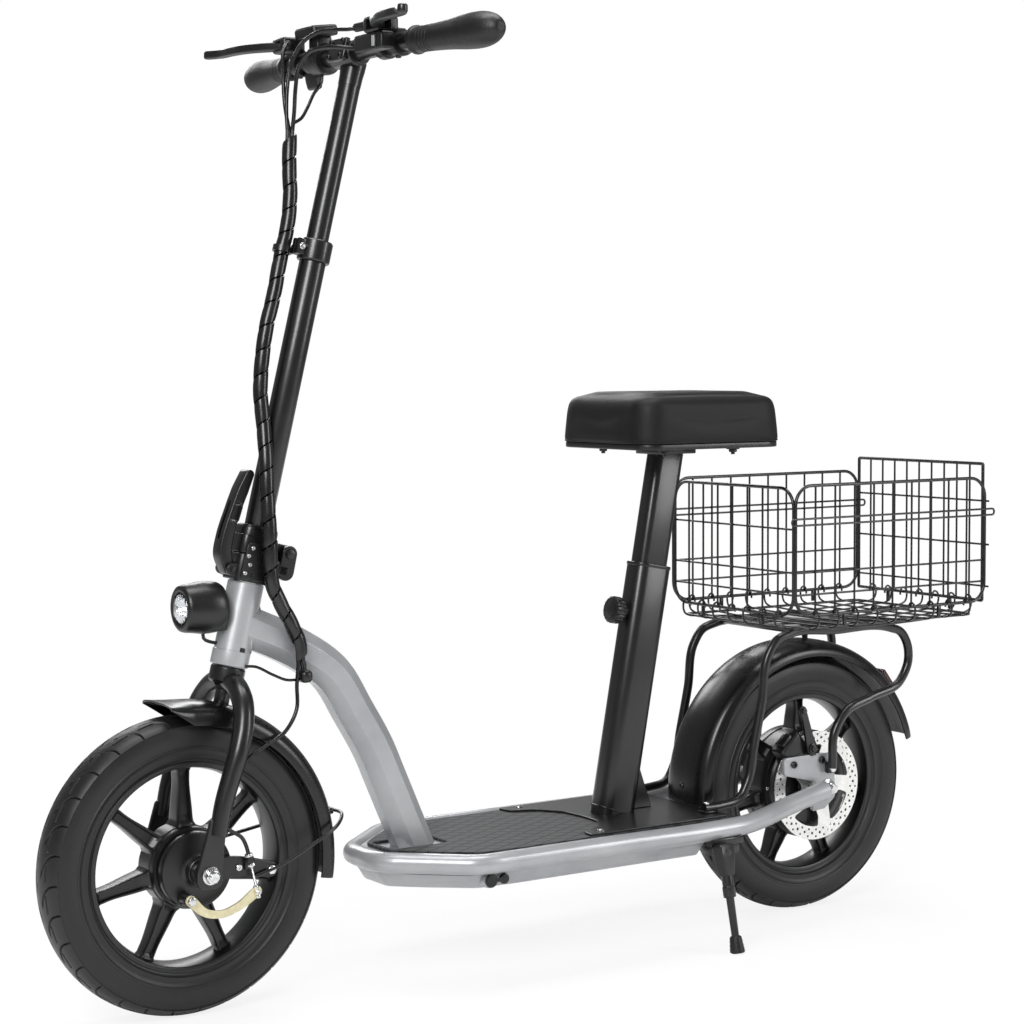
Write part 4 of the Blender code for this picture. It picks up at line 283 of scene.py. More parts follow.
def fromWork(name, work, matrix=None):
    mesh = bpy.data.meshes.new(name)
    bmesh.ops.recalc_face_normals(work, faces=work.faces)
    work.to_mesh(mesh)
    work.free()
    return fresh(name, mesh, matrix)


def assemble(name, bits, finish, body, nodes=(), crease=35):
    # one visible piece from its bits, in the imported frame, riding on its body
    bpy.context.view_layer.update()
    graph = bpy.context.evaluated_depsgraph_get()
    work = bmesh.new()
    for bit in bits:
        mesh = bpy.data.meshes.new_from_object(bit.evaluated_get(graph))
        mesh.transform(Matrix.Translation(origin) @ bit.matrix_world)
        work.from_mesh(mesh)
        bpy.data.meshes.remove(mesh)
    for bit in bits:
        bpy.data.objects.remove(bit)
    for face in work.faces:
        face.material_index = 0
    mesh = bpy.data.meshes.new(name)
    work.to_mesh(mesh)
    work.free()
    mesh.materials.append(finishes[finish])
    mesh.shade_smooth()
    mesh.set_sharp_from_angle(angle=radians(crease))
    item = fresh(name, mesh)
    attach(item, body)
    if nodes:
        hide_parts(*nodes)
    return item


def edged(item, width, segments=2):
    bevel = item.modifiers.new("edge", "BEVEL")
    bevel.width = width
    bevel.segments = segments
    bevel.limit_method = "ANGLE"
    bevel.angle_limit = radians(35)
    bevel.use_clamp_overlap = True
    return item


def bakedMesh(item):
    return bpy.data.meshes.new_from_object(item.evaluated_get(bpy.context.evaluated_depsgraph_get()))


def carved(item, cutters):
    # cuts the holes, then clears the cutters away
    if item.type == "CURVE":
        flat = item
        bpy.context.view_layer.update()
        item = fresh(flat.name, bakedMesh(flat), flat.matrix_world.copy())
        bpy.data.objects.remove(flat)
    for cutter in cutters:
        knife = item.modifiers.new("cut", "BOOLEAN")
        knife.operation = "DIFFERENCE"
        knife.object = cutter
    bpy.context.view_layer.update()
    result = fresh(item.name, bakedMesh(item), item.matrix_world.copy())
    for old in [item, *cutters]:
        bpy.data.objects.remove(old)
    return result


def block(low, high, edge=0.001, matrix=None, segments=2):
    low = Vector(low)
    high = Vector(high)
    work = bmesh.new()
    size = Matrix.Diagonal((*(high - low), 1))
    bmesh.ops.create_cube(work, size=1, matrix=Matrix.Translation((low + high) / 2) @ size)
    item = fromWork("block", work, matrix)
    return edged(item, edge, segments) if edge else item


def lathe(profile, steps=96, matrix=None, closed=True):
    work = bmesh.new()
    rings = []
    for index in range(steps):
        angle = radians(360 * index / steps)
        rings.append([work.verts.new((reach * cos(angle), reach * sin(angle), height))
            for reach, height in profile])
    for near, far in zip(rings, rings[1:] + rings[:1]):
        for index in range(len(profile) if closed else len(profile) - 1):
            after = (index + 1) % len(profile)
            work.faces.new((near[index], far[index], far[after], near[after]))
    bmesh.ops.remove_doubles(work, verts=work.verts, dist=0.000001)
    return fromWork("lathe", work, matrix)


def turned(profile, steps=96, matrix=None):
    # for a profile that is open at its ends, as one is that meets the axis
    return lathe(profile, steps, matrix, closed=False)


def softProfile(points, radius=0.0008):
    # a lathe profile, open at the axis, with its inner corners rounded
    return rounded([(x, y, 0 if index in (0, len(points) - 1) else radius)
        for index, (x, y) in enumerate(points)], 3)


def turnTo(start, end):
    along = Vector(end) - Vector(start)
    turn = along.to_track_quat("Z", "Y").to_matrix().to_4x4()
    return Matrix.Translation(start) @ turn, along.length


def rod(start, end, radius, edge=0.0006, endRadius=None, matrix=None):
    turn, length = turnTo(start, end)
    far = radius if endRadius is None else endRadius
    profile = [(0, 0), (radius - edge, 0), (radius - edge * 0.3, edge * 0.3), (radius, edge),
        (far, length - edge), (far - edge * 0.3, length - edge * 0.3), (far - edge, length), (0, length)]
    return turned(profile, 40, (matrix or Matrix()) @ turn)


def hexHead(start, end, radius, matrix=None, bore=0):
    # a nut or bolt head, its corners turned off at the outer face
    turn, length = turnTo(start, end)
    chamfer = radius * 0.13
    profile = [(0, 0), (radius, 0), (radius, length - chamfer), (radius - chamfer * 1.6, length)]
    profile += [(bore, length), (bore, length * 0.3), (0, length * 0.3)] if bore else [(0, length)]
    return edged(turned(profile, 6, (matrix or Matrix()) @ turn), 0.0003, 1)


def standing(place):
    return Matrix.Translation(place) @ upright


def sideways(place):
    return Matrix.Translation(place) @ across


def raised(height):
    return Matrix.Translation((0, 0, height))


def socketScrew(place, axis, radius, height):
    start = Vector(place)
    turn, length = turnTo(start, start + Vector(axis).normalized() * height)
    edge = radius * 0.18
    profile = [(0, 0), (radius, 0), (radius, length - edge), (radius - edge, length), (radius * 0.52, length),
        (radius * 0.48, length * 0.35), (0, length * 0.35)]
    return turned(profile, 24, turn)


def threaded(start, end, radius, pitch=0.001, matrix=None):
    turn, length = turnTo(start, end)
    profile = [(0, 0)]
    for index in range(int(length / pitch)):
        profile += [(radius * 0.88, pitch * index), (radius, pitch * (index + 0.5))]
    profile += [(radius * 0.8, length), (0, length)]
    return turned(profile, 20, (matrix or Matrix()) @ turn)


def plate(outline, thickness, matrix=None, holes=(), edge=0.0007):
    curve = bpy.data.curves.new("plate", "CURVE")
    curve.dimensions = "2D"
    curve.fill_mode = "BOTH"
    curve.extrude = thickness / 2 - edge
    curve.bevel_depth = edge
    curve.bevel_resolution = 2
    curve.offset = -edge
    for loop in [outline, *holes]:
        spline = curve.splines.new("POLY")
        spline.points.add(len(loop) - 1)
        for point, (x, y) in zip(spline.points, loop):
            point.co = (x, y, 0, 1)
        spline.use_cyclic_u = True
    return fresh("plate", curve, matrix)


def pipe(route, radius, sides=20, factors=None, matrix=None, closed=False):
    curve = bpy.data.curves.new("pipe", "CURVE")
    curve.dimensions = "3D"
    curve.bevel_depth = radius
    curve.bevel_resolution = (sides - 4) // 2
    curve.use_fill_caps = not closed
    spline = curve.splines.new("POLY")
    spline.points.add(len(route) - 1)
    for index, place in enumerate(route):
        spline.points[index].co = (*place, 1)
        if factors:
            spline.points[index].radius = factors[index]
    spline.use_cyclic_u = closed
    return fresh("pipe", curve, matrix)


def loft(rings, matrix=None):
    # skins a list of equal rings of points, and closes both ends
    work = bmesh.new()
    rows = [[work.verts.new(point) for point in ring] for ring in rings]
    for lower, upper in zip(rows, rows[1:]):
        for index in range(len(lower)):
            after = (index + 1) % len(lower)
            work.faces.new((lower[index], lower[after], upper[after], upper[index]))
    work.faces.new(rows[0][::-1])
    work.faces.new(rows[-1])
    return fromWork("loft", work, matrix)


def circle(centre, radius, steps=20):
    angles = [2 * pi * step / steps for step in range(steps)]
    return [(centre[0] + radius * cos(angle), centre[1] + radius * sin(angle)) for angle in angles]


def rounded(corners, steps=6):
    outline = []
    for index, (x, y, radius) in enumerate(corners):
        here = Vector((x, y))
        if radius == 0:
            outline.append((x, y))
            continue
        before = Vector(corners[index - 1][:2]) - here
        after = Vector(corners[(index + 1) % len(corners)][:2]) - here
        radius = min(radius, before.length * 0.45, after.length * 0.45)
        before.normalize()
        after.normalize()
        half = before.angle(after) / 2
        reach = min(radius / tan(half), radius * 2.2)
        size = reach * tan(half)
        centre = here + (before + after).normalized() * size / sin(half)
        start = here + before * reach - centre
        end = here + after * reach - centre
        first = atan2(start.y, start.x)
        turn = (atan2(end.y, end.x) - first + pi) % (2 * pi) - pi
        for step in range(steps + 1):
            angle = first + turn * step / steps
            outline.append((centre.x + size * cos(angle), centre.y + size * sin(angle)))
    return outline


def rectangle(low, high, radius=0, steps=6):
    corners = [(low[0], low[1]), (high[0], low[1]), (high[0], high[1]), (low[0], high[1])]
    return rounded([(x, y, radius) for x, y in corners], steps)


def oblong(x, y, radius=0, steps=6):
    # a rectangle about its own middle
    return rectangle((-x, -y), (x, y), radius, steps)


def strip(path, halfWidths):
    # a flat bar of changing width along a path, with round ends
    route = evenRoute([(*place, 0) for place in path], 0.004)
    lengths = [0]
    for before, after in zip(route, route[1:]):
        lengths.append(lengths[-1] + (after - before).length)
    marks = [min(range(len(route)), key=lambda k: (route[k] - Vector((*place, 0))).length) for place in path]
    left = []
    right = []
    last = len(route) - 1
    for index, place in enumerate(route):
        span = max(k for k in range(len(marks) - 1) if marks[k] <= index)
        share = (lengths[index] - lengths[marks[span]]) / (lengths[marks[span + 1]] - lengths[marks[span]])
        width = halfWidths[span] + (halfWidths[span + 1] - halfWidths[span]) * min(max(share, 0), 1)
        along = (route[min(index + 1, last)] - route[max(index - 1, 0)]).normalized()
        side = at(-along.y, along.x, 0) * width
        left.append(tuple((place + side)[:2]))
        right.append(tuple((place - side)[:2]))
    return left + arc(route[-1], left[-1], 10) + right[::-1] + arc(route[0], right[0], 10)


def arc(centre, start, steps):
    radius = (Vector(start) - Vector(centre[:2])).length
    first = atan2(start[1] - centre[1], start[0] - centre[0])
    angles = [first - pi * step / steps for step in range(1, steps)]
    return [(centre[0] + radius * cos(angle), centre[1] + radius * sin(angle)) for angle in angles]


def evenRoute(points, spacing=0.004):
    # a smooth line through the points
    knots = [Vector(point) for point in points]
    last = len(knots) - 1
    lengths = [(after - before).length for before, after in zip(knots, knots[1:])]
    slopes = []
    for index in range(last + 1):
        before = lengths[max(index - 1, 0)]
        after = lengths[min(index, last - 1)]
        arriving = (knots[max(index, 1)] - knots[max(index, 1) - 1]) / before
        leaving = (knots[min(index + 1, last)] - knots[min(index + 1, last) - 1]) / after
        slopes.append((leaving * before + arriving * after) / (before + after))
    route = [knots[0]]
    for index, length in enumerate(lengths):
        count = max(1, round(length / spacing))
        for step in range(1, count + 1):
            t = step / count
            place = knots[index] * (2 * t ** 3 - 3 * t ** 2 + 1) + knots[index +
                1] * (3 * t ** 2 - 2 * t ** 3)
            lean = slopes[index] * (t ** 3 - 2 * t ** 2 + t) + slopes[index + 1] * (t ** 3 - t ** 2)
            route.append(place + lean * length)
    return route


def around(centre, y, angle=0, radius=0):
    return at(centre.x + radius * cos(radians(angle)), y, centre.z + radius * sin(radians(angle)))


def along(values, share):
    # a value from (share, value) stops
    for (low, start), (high, end) in zip(values, values[1:]):
        if share <= high:
            part = min(max((share - low) / (high - low), 0), 1)
            part = part * part * (3 - 2 * part)
            return start + (end - start) * part
    return values[-1][1]


# Camera, light and floor

cameraLook = {"place": (-1.2594, -2.6291, 0.8176), "yaw": 33.7833, "pitch": -3.8072, "roll": -0.3034,
    "lens": 82.301, "shift": -0.00046}


def makeCamera(look):
    yaw, pitch, roll = (radians(look[key]) for key in ("yaw", "pitch", "roll"))
    ahead = at(sin(yaw) * cos(pitch), cos(yaw) * cos(pitch), sin(pitch))
    right = at(cos(yaw), -sin(yaw), 0)
    up = right.cross(ahead)
    right, up = right * cos(roll) + up * sin(roll), up * cos(roll) - right * sin(roll)
    data = bpy.data.cameras.new("photoCamera")
    data.lens = look["lens"]
    data.sensor_width = 36
    data.shift_x = look["shift"]
    camera = fresh("photoCamera", data)
    turn = Matrix((right, up, -ahead)).transposed().to_4x4()
    camera.matrix_world = Matrix.Translation(origin + Vector(look["place"])) @ turn
    bpy.context.scene.camera = camera


makeCamera(cameraLook)

# name, place, aim, size, watts
lamps = [("keySoftbox", (-2.6, -2.2, 2.6), (0.0, 0.0, 0.5), (1.3, 1.8), 104),
    ("sideSoftbox", (2.4, -2.6, 1.7), (0.1, 0.0, 0.5), (0.7, 2.2), 44),
    ("rearStrip", (0.8, 3.0, 2.2), (0.0, 0.0, 0.6), (2.4, 0.9), 48),
    ("overhead", (0.0, 0.2, 3.4), (0.0, 0.0, 0.0), (2.6, 1.2), 64)]


def makeLamps():
    for name, place, aim, size, power in lamps:
        data = bpy.data.lights.new(name, "AREA")
        data.shape = "RECTANGLE"
        data.size, data.size_y = size
        data.energy = power
        lamp = fresh(name, data)
        lamp.matrix_world = Matrix.Translation(place) @ (Vector(place) - Vector(aim)).to_track_quat("Z",
            "Y").to_matrix().to_4x4()


makeLamps()

world = bpy.data.worlds.new("studio")
bpy.context.scene.world = world
world.use_nodes = True
tree = world.node_tree
tree.nodes.clear()
path = addNode(tree, "LightPath", {})
seen = addNode(tree, "Math", {0: path.outputs["Is Camera Ray"], 1: path.outputs["Is Transmission Ray"]},
    operation="MAXIMUM")
softLight = addNode(tree, "Background", {"Color": linear("#f4f5f6"), "Strength": 0.26})
white = addNode(tree, "Background", {"Color": (1, 1, 1, 1), "Strength": 1.0})
blend = addNode(tree, "MixShader", {"Fac": seen.outputs[0], 1: softLight.outputs[0], 2: white.outputs[0]})
addNode(tree, "OutputWorld", {"Surface": blend.outputs[0]})


def makeFloor():
    work = bmesh.new()
    bmesh.ops.create_circle(work, cap_ends=True, segments=96, radius=14)
    floor = fromWork("studioFloor", work, raised(-0.0004))
    material = bpy.data.materials.new("paperFloor")
    material.use_nodes = True
    tree = material.node_tree
    tree.nodes.clear()
    grain = addNode(tree, "TexNoise", {"Scale": 300.0})
    paper = addNode(tree, "BsdfDiffuse", {"Color": linear("#f6f6f6")})
    bump = addNode(tree, "Bump", {"Height": grain.outputs["Fac"], "Distance": 0.0001, "Strength": 0.1})
    tree.links.new(bump.outputs["Normal"], paper.inputs["Normal"])
    glow = addNode(tree, "Emission", {"Color": (1, 1, 1, 1), "Strength": 1.0})
    path = addNode(tree, "LightPath", {})
    here = addNode(tree, "TexCoord", {}).outputs["Object"]
    away = addNode(tree, "VectorMath", {0: here}, operation="LENGTH")
    # the paper burns out to white behind the scooter
    fade = addNode(tree, "MapRange", {"Value": away.outputs["Value"], "From Min": 0.55, "From Max": 1.7,
        "To Min": 0.84, "To Max": 1.0}, interpolation_type="SMOOTHSTEP")
    share = addNode(tree, "Math", {0: path.outputs["Is Camera Ray"], 1: fade.outputs["Result"]},
        operation="MULTIPLY")
    blend = addNode(tree, "MixShader", {"Fac": share.outputs[0], 1: paper.outputs[0], 2: glow.outputs[0]})
    addNode(tree, "OutputMaterial", {"Surface": blend.outputs[0]})
    floor.data.materials.append(material)


makeFloor()
bpy.context.scene.view_settings.view_transform = "Standard"
print("camera, lamps and floor made")


# Tyres: 14 x 2.50, a crowned tread with curved sipes and short rain grooves

tyreLook = {"radius": 0.1888, "halfWidth": 0.0312, "treadHalf": 0.0292, "crown": 0.05, "pitches": 31,
    "grooveDepth": 0.004, "grooveWidth": 0.0014, "steps": 1488, "rows": 84}


def grooveAt(around, sideways, look):
    pitch = 2 * pi * look["radius"] / look["pitches"]
    wide = look["grooveWidth"]
    side = abs(sideways) / look["treadHalf"]
    offset = around + (0.5 * pitch if sideways < 0 else 0)
    sweepBack = 0.042 * (1 - side) ** 2.6
    slope = 2.6 * 0.042 * (1 - side) ** 1.6 / look["treadHalf"]
    away = (offset - sweepBack + pitch / 2) % pitch - pitch / 2
    sipe = abs(away) / sqrt(1 + slope * slope) if side > 0.16 else 1
    dash = abs(abs(sideways) - 0.0135) if 0.35 < (offset / pitch) % 1 < 0.95 else 1
    near = min(sipe / (0.75 + 0.5 * (1 - side)), dash * 1.3) / wide
    return look["grooveDepth"] * min(max(1.4 - 1.2 * near, 0), 1) * (1 - 0.55 * side ** 3)


def makeTyre(name, centre, body, node, look):
    radius, tread, rows = look["radius"], look["treadHalf"], look["rows"]
    wall = [(radius - drop, side) for drop, side in ((0.0112, 0.0299), (0.0119, 0.0299), (0.0124, 0.029),
        (0.014, 0.0296), (0.0215, look["halfWidth"]), (0.03, 0.0308), (0.037, 0.0294), (0.0376, 0.03),
        (0.0396, 0.0295), (0.0402, 0.0285), (0.048, 0.0258), (0.0495, 0.0262), (0.052, 0.0258),
        (0.053, 0.024))]
    wall += [(0.133, 0.0222), (0.1285, 0.0204)]
    profile = [(reach, -side) for reach, side in reversed(wall)]
    for index in range(rows + 1):
        side = -tread + 2 * tread * index / rows
        profile.append((radius - side * side / (2 * look["crown"]) - 0.002 * (abs(side) / tread) ** 6, side))
    profile += wall
    first = len(wall)
    work = bmesh.new()
    rings = []
    for step in range(look["steps"]):
        angle = 2 * pi * step / look["steps"]
        ring = []
        for index, (reach, side) in enumerate(profile):
            if first <= index <= first + rows:
                reach -= grooveAt(angle * radius, side, look)
            place = centre + at(reach * cos(angle), side, reach * sin(angle))
            place.z = max(place.z, 0.0)  # the flat where it stands
            ring.append(work.verts.new(place))
        rings.append(ring)
    for near, far in zip(rings, rings[1:] + rings[:1]):
        for index in range(len(profile)):
            after = (index + 1) % len(profile)
            work.faces.new((near[index], near[after], far[after], far[index]))
    assemble(name, [fromWork(name, work)], "tyreRubber", body, [node], 40)


makeTyre("frontTyre", front, "front_wheel", "front_tyre", tyreLook)
makeTyre("rearTyre", rear, "rear_wheel", "rear_tyre", tyreLook)
print("tyres made")


# Wheels: one-piece castings, seven channelled spokes

wheelLook = {"lip": 0.0228, "flange": 0.1325, "opening": 0.1217, "spokes": 7,
    "halfWidth": [(0.0, 0.015), (0.1, 0.0112), (0.75, 0.008), (0.92, 0.0086), (1.0, 0.0125)],
    "halfDepth": [(0.0, 0.0165), (0.2, 0.013), (1.0, 0.0105)]}


def makeSpokes(centre, inside, look):
    outside = look["opening"] + 0.003
    bits = []
    for index in range(look["spokes"]):
        angle = pi / 2 + 2 * pi * index / look["spokes"]
        rings = []
        for step in range(25):
            share = step / 24
            reach = inside + (outside - inside) * share
            wide = along(look["halfWidth"], share)
            deep = along(look["halfDepth"], share)
            well = 0.0055 * min(1, share * 8, (1 - share) * 8)
            half = [(wide, -deep * 0.55), (wide * 0.96, -deep * 0.85), (wide * 0.86, -deep),
                (wide * 0.68, -deep), (wide * 0.52, -deep + well), (wide * 0.2, -deep + well)]
            section = [(-x, y) for x, y in half] + half[::-1]
            section += [(x, -y) for x, y in half] + [(-x, -y) for x, y in half[::-1]]
            rings.append([centre + at(reach * cos(angle) - x * sin(angle), y,
                reach * sin(angle) + x * cos(angle)) for x, y in section])
        bits.append(loft(rings))
    return bits


def makeRim(centre, look):
    lip, flange, opening = look["lip"], look["flange"], look["opening"]
    side = [(opening + 0.0003, 0.006), (opening + 0.0012, 0.012), (opening + 0.0028, 0.02),
        (opening + 0.0036, lip - 0.0008), (opening + 0.0048, lip), (flange - 0.0012, lip),
        (flange, lip - 0.0012), (flange, lip - 0.0024), (flange - 0.0055, lip - 0.003)]
    profile = side + [(reach, -height) for reach, height in reversed(side)]
    return lathe(profile, 160, sideways(centre))


def makeFrontWheel():
    bits = [makeRim(front, wheelLook), *makeSpokes(front, 0.049, wheelLook)]
    profile = [(0.0066, 0.036), (0.0195, 0.036), (0.021, 0.0348), (0.0255, 0.0318), (0.033, 0.03),
        (0.0415, 0.0262), (0.0485, 0.0205), (0.051, 0.017), (0.051, 0.011), (0.0525, 0.0105),
        (0.0525, -0.0145), (0.0512, -0.0152), (0.0512, -0.0255), (0.0498, -0.0278), (0.0485, -0.028),
        (0.0066, -0.028)]
    bits.append(lathe(profile, 96, sideways(front)))
    assemble("frontWheel", bits, "paintedCasting", "front_wheel", ["front_wheel"])


def makeRearWheel():
    bits = [makeRim(rear, wheelLook), *makeSpokes(rear, 0.075, wheelLook)]
    half = 0.04
    profile = [(0.0078, half), (0.024, half), (0.0255, half - 0.0012), (0.03, half - 0.0014),
        (0.055, half - 0.0024), (0.066, half - 0.0052), (0.0705, half - 0.008), (0.0722, half - 0.0112),
        (0.0785, half - 0.012), (0.0792, half - 0.0132), (0.0792, 0.0135), (0.078, 0.0128)]
    shell = profile + [(reach, -height) for reach, height in reversed(profile)]
    shell = shell[:-1] + [(0.022, -half), (0.022, -0.0488), (0.0078, -0.0488)]
    bits.append(lathe(shell, 120, sideways(rear)))
    assemble("rearWheel", bits, "paintedCasting", "rear_wheel", ["rear_wheel"])
    screws = []
    for side in (-1, 1):
        for index in range(9):
            place = around(rear, side * (half - 0.0128), 20 + 40 * index, 0.0756)
            screws.append(socketScrew(place, (0, side, 0), 0.0024, 0.002))
    for index in range(5):
        screws.append(socketScrew(around(rear, -0.0508, 72 * index + 36, 0.017), (0, -1, 0), 0.0032, 0.0022))
    assemble("motorScrews", screws, "brightPlating", "rear_wheel")


discLook = {"radius": 0.08, "thickness": 0.0018, "y": -0.05, "arms": 5}


def makeBrakeDisc(look):
    holes = [circle((0, 0), 0.009, 32)]
    for index in range(look["arms"]):
        first = 72 * index
        outer = [(0.0605, first + turn) for turn in (8, 14, 20, 26, 32, 38, 44, 50, 56)]
        inner = [(0.047, first + 58), (0.0305, first + 48), (0.0285, first + 38), (0.03, first + 28),
            (0.04, first + 17)]
        corners = [(reach * cos(radians(turn)), reach * sin(radians(turn)), 0.003) for reach, turn in outer +
            inner]
        holes.append(rounded(corners, 3))
        for reach, start, size in ((0.0655, 5, 0.0017), (0.0705, 11, 0.0021), (0.0755, 5, 0.0017)):
            for step in range(6):
                turn = radians(first + start + 12 * step)
                holes.append(circle((reach * cos(turn), reach * sin(turn)), size, 12))
    matrix = standing(rear + at(0, look["y"], 0))
    disc = plate(circle((0, 0), look["radius"], 180), look["thickness"], matrix, holes, 0.00025)
    assemble("brakeDisc", [disc], "groundSteel", "rear_wheel", ["brake_disc"], 30)


makeFrontWheel()
makeRearWheel()
makeBrakeDisc(discLook)
print("wheels made")


# Front axle, drum brake and its gold arm

brakeArmPivot = spin["front_brake_arm_swing"] - origin
cableStop = front + at(0.062, -0.0625, 0.0125)
cableAnchor = at(front.x + 0.071, brakeArmPivot.y, front.z - 0.03)
pull = (cableAnchor - cableStop).normalized()
brakeLook = {"radius": 0.048, "face": -0.045, "armThickness": 0.0076, "armY": -0.0538,
    "leverPath": [(0, 0), (0.02, -0.0175), (0.042, -0.0215), (0.065, -0.015), (0.09, 0.0005)],
    "leverHalf": [0.0068, 0.0052, 0.0048, 0.0052, 0.0068]}


def makeFrontAxle():
    outside, inside = 0.0808, 0.0742
    bits = [threaded(around(front, -0.0943), around(front, 0.0943), 0.006)]
    for side, start in ((-1, 0.0583), (1, 0.0363)):
        bits += [rod(around(front, side * start), around(front, side * inside), 0.011),
            rod(around(front, side * outside), around(front, side * (outside + 0.0016)), 0.0112, 0.0003),
            hexHead(around(front, side * (outside + 0.0016)), around(front, side * (outside + 0.0095)),
                0.0096, bore=0.0062)]
    assemble("frontAxle", bits, "brightPlating", "fork", ["front_axle"])


def makeBrakePlate(look):
    radius, face = look["radius"], look["face"]
    profile = [(0.0063, -0.031), (radius - 0.003, -0.031), (radius - 0.0006, -0.0326), (radius, -0.0345),
        (radius, face + 0.0035), (radius - 0.0012, face + 0.001), (radius - 0.004, face),
        (0.023, face - 0.0002), (0.0195, face - 0.001), (0.018, face - 0.002), (0.018, -0.0572),
        (0.0172, -0.058), (0.0063, -0.058)]
    bits = [lathe(profile, 96, sideways(front))]
    place = standing((front.x, look["armY"], front.z))
    outline = strip([(0, 0), (0.05, 0.0004), (0.095, -0.008)], [0.0165, 0.013, 0.01])
    bits.append(plate(outline, look["armThickness"], place, [circle((0, 0), 0.01, 24)], 0.0014))
    pin = brakeArmPivot
    bits += [rod((pin.x, -0.042, pin.z), (pin.x, -0.0639, pin.z), 0.0085, endRadius=0.007),
        rod((pin.x, -0.06, pin.z), (pin.x, pin.y - 0.004, pin.z), 0.004)]
    stop = cableStop
    bits += [rod(stop, stop + pull * 0.008, 0.0055),
        block((stop.x - 0.005, -0.0625, stop.z - 0.016), (stop.x + 0.005, -0.056, stop.z - 0.001), 0.0015)]
    assemble("brakePlate", bits, "paintedCasting", "fork", ["brake_plate"])
    screws = [hexHead((front.x + 0.095, -0.0575, front.z - 0.008),
            (front.x + 0.095, -0.0625, front.z - 0.008), 0.0062),
        socketScrew((front.x + 0.05, -0.0575, front.z), (0, -1, 0), 0.0042, 0.003),
        hexHead((pin.x, pin.y - 0.0022, pin.z), (pin.x, pin.y - 0.0068, pin.z), 0.006)]
    assemble("brakePlateScrews", screws, "brightPlating", "fork")


def makeBrakeArm(look):
    pivot = brakeArmPivot
    arm = plate(strip(look["leverPath"], look["leverHalf"]), 0.004, standing(pivot),
        [circle((0, 0), 0.0044, 24)], 0.0008)
    barrel = pivot + at(0.09, 0, 0)
    bits = [arm, rod(barrel + at(0, -0.0045, 0), barrel + at(0, 0.0022, 0), 0.0045)]
    assemble("brakeArm", bits, "yellowZinc", "front_brake_arm", ["front_brake_arm"])
    seat = barrel + at(0, -0.0012, 0)  # clear of the stay when the arm swings up
    nuts = [hexHead(seat + pull * 0.0032, seat + pull * 0.008, 0.0034, bore=0.0022),
        rod(seat - pull * 0.0085, seat - pull * 0.0035, 0.0034),
        socketScrew(barrel + at(0, -0.0045, 0), (0, -1, 0), 0.0036, 0.002)]
    assemble("brakeArmNuts", nuts, "brightPlating", "front_brake_arm")
    bits = [threaded(cableStop + pull * 0.014, cableAnchor + pull * 0.01, 0.0019, 0.0008),
        rod(cableStop - pull * 0.004, cableStop + pull * 0.0135, 0.003),
        hexHead(cableStop + pull * 0.0082, cableStop + pull * 0.0125, 0.0056, bore=0.0032),
        hexHead(cableStop - pull * 0.0004, cableStop - pull * 0.0045, 0.0056, bore=0.0032)]
    assemble("brakeCableRod", bits, "brightPlating", "fork")


makeFrontAxle()
makeBrakePlate(brakeLook)
makeBrakeArm(brakeLook)


# Fork

forkLook = {"spread": 0.0775, "bladeThickness": 0.006, "top": 0.0138, "bottom": 0.011}


def legRoute(side):
    upper = [(-0.0165, 0.01, -0.069), (-0.018, 0.034, -0.077), (-0.021, 0.053, -0.0915),
        (-0.028, 0.068, -0.116)]
    lower = [(0.043, 0.0765, 0.1497), (0.031, 0.0775, 0.1167), (0.021, 0.0775, 0.0867),
        (0.0125, 0.0775, 0.0477)]
    points = [(head.x + x, side * y, head.z + z) for x, y, z in upper]
    return evenRoute(points + [(front.x + x, side * y, front.z + z) for x, y, z in lower], 0.003)


def makeFork(look):
    low = -0.0538
    profile = softProfile([(0, low - 0.023), (0.019, low - 0.023), (0.0222, low - 0.019),
        (0.0222, low - 0.003), (0.0205, low), (0, low)], 0.0012)
    bits = [turned(profile, 64, steer),
        rod((0, 0, low - 0.048), (0, 0, low - 0.018), 0.01, matrix=steer),
        rod((0, 0, low - 0.01), (0, 0, 0.0875), 0.0143, matrix=steer),
        hexHead((0, 0, low - 0.03), (0, 0, low - 0.0225), 0.0125, matrix=steer)]
    for side in (-1, 1):
        route = legRoute(side)
        drop = route[0].z - route[-1].z
        radii = [look["top"] + (look["bottom"] - look["top"]) * (route[0].z - place.z) / drop
            for place in route]
        bits.append(pipe(route, 1, 32, radii))
        place = standing(front + at(0, side * look["spread"], 0))
        outline = rounded([(-0.017, 0.006, 0.01), (-0.017, -0.017, 0.0165), (0.017, -0.017, 0.0165),
            (0.017, 0.006, 0.01), (0.024, 0.068, 0.006), (0.002, 0.068, 0.006)], 8)
        bits.append(plate(outline, look["bladeThickness"], place, edge=0.0014))
    assemble("fork", bits, "satinPowderCoat", "fork", ["fork"])


makeFork(forkLook)


# Mudguards: moulded shells with a soft crown

guardLook = {"wall": 0.0026, "section": [(0.0275, 0.041), (0.019, 0.0405), (0.0125, 0.0385), (0.0075, 0.0345),
    (0.0035, 0.027), (0.0012, 0.018), (0.0002, 0.009), (0, 0)]}


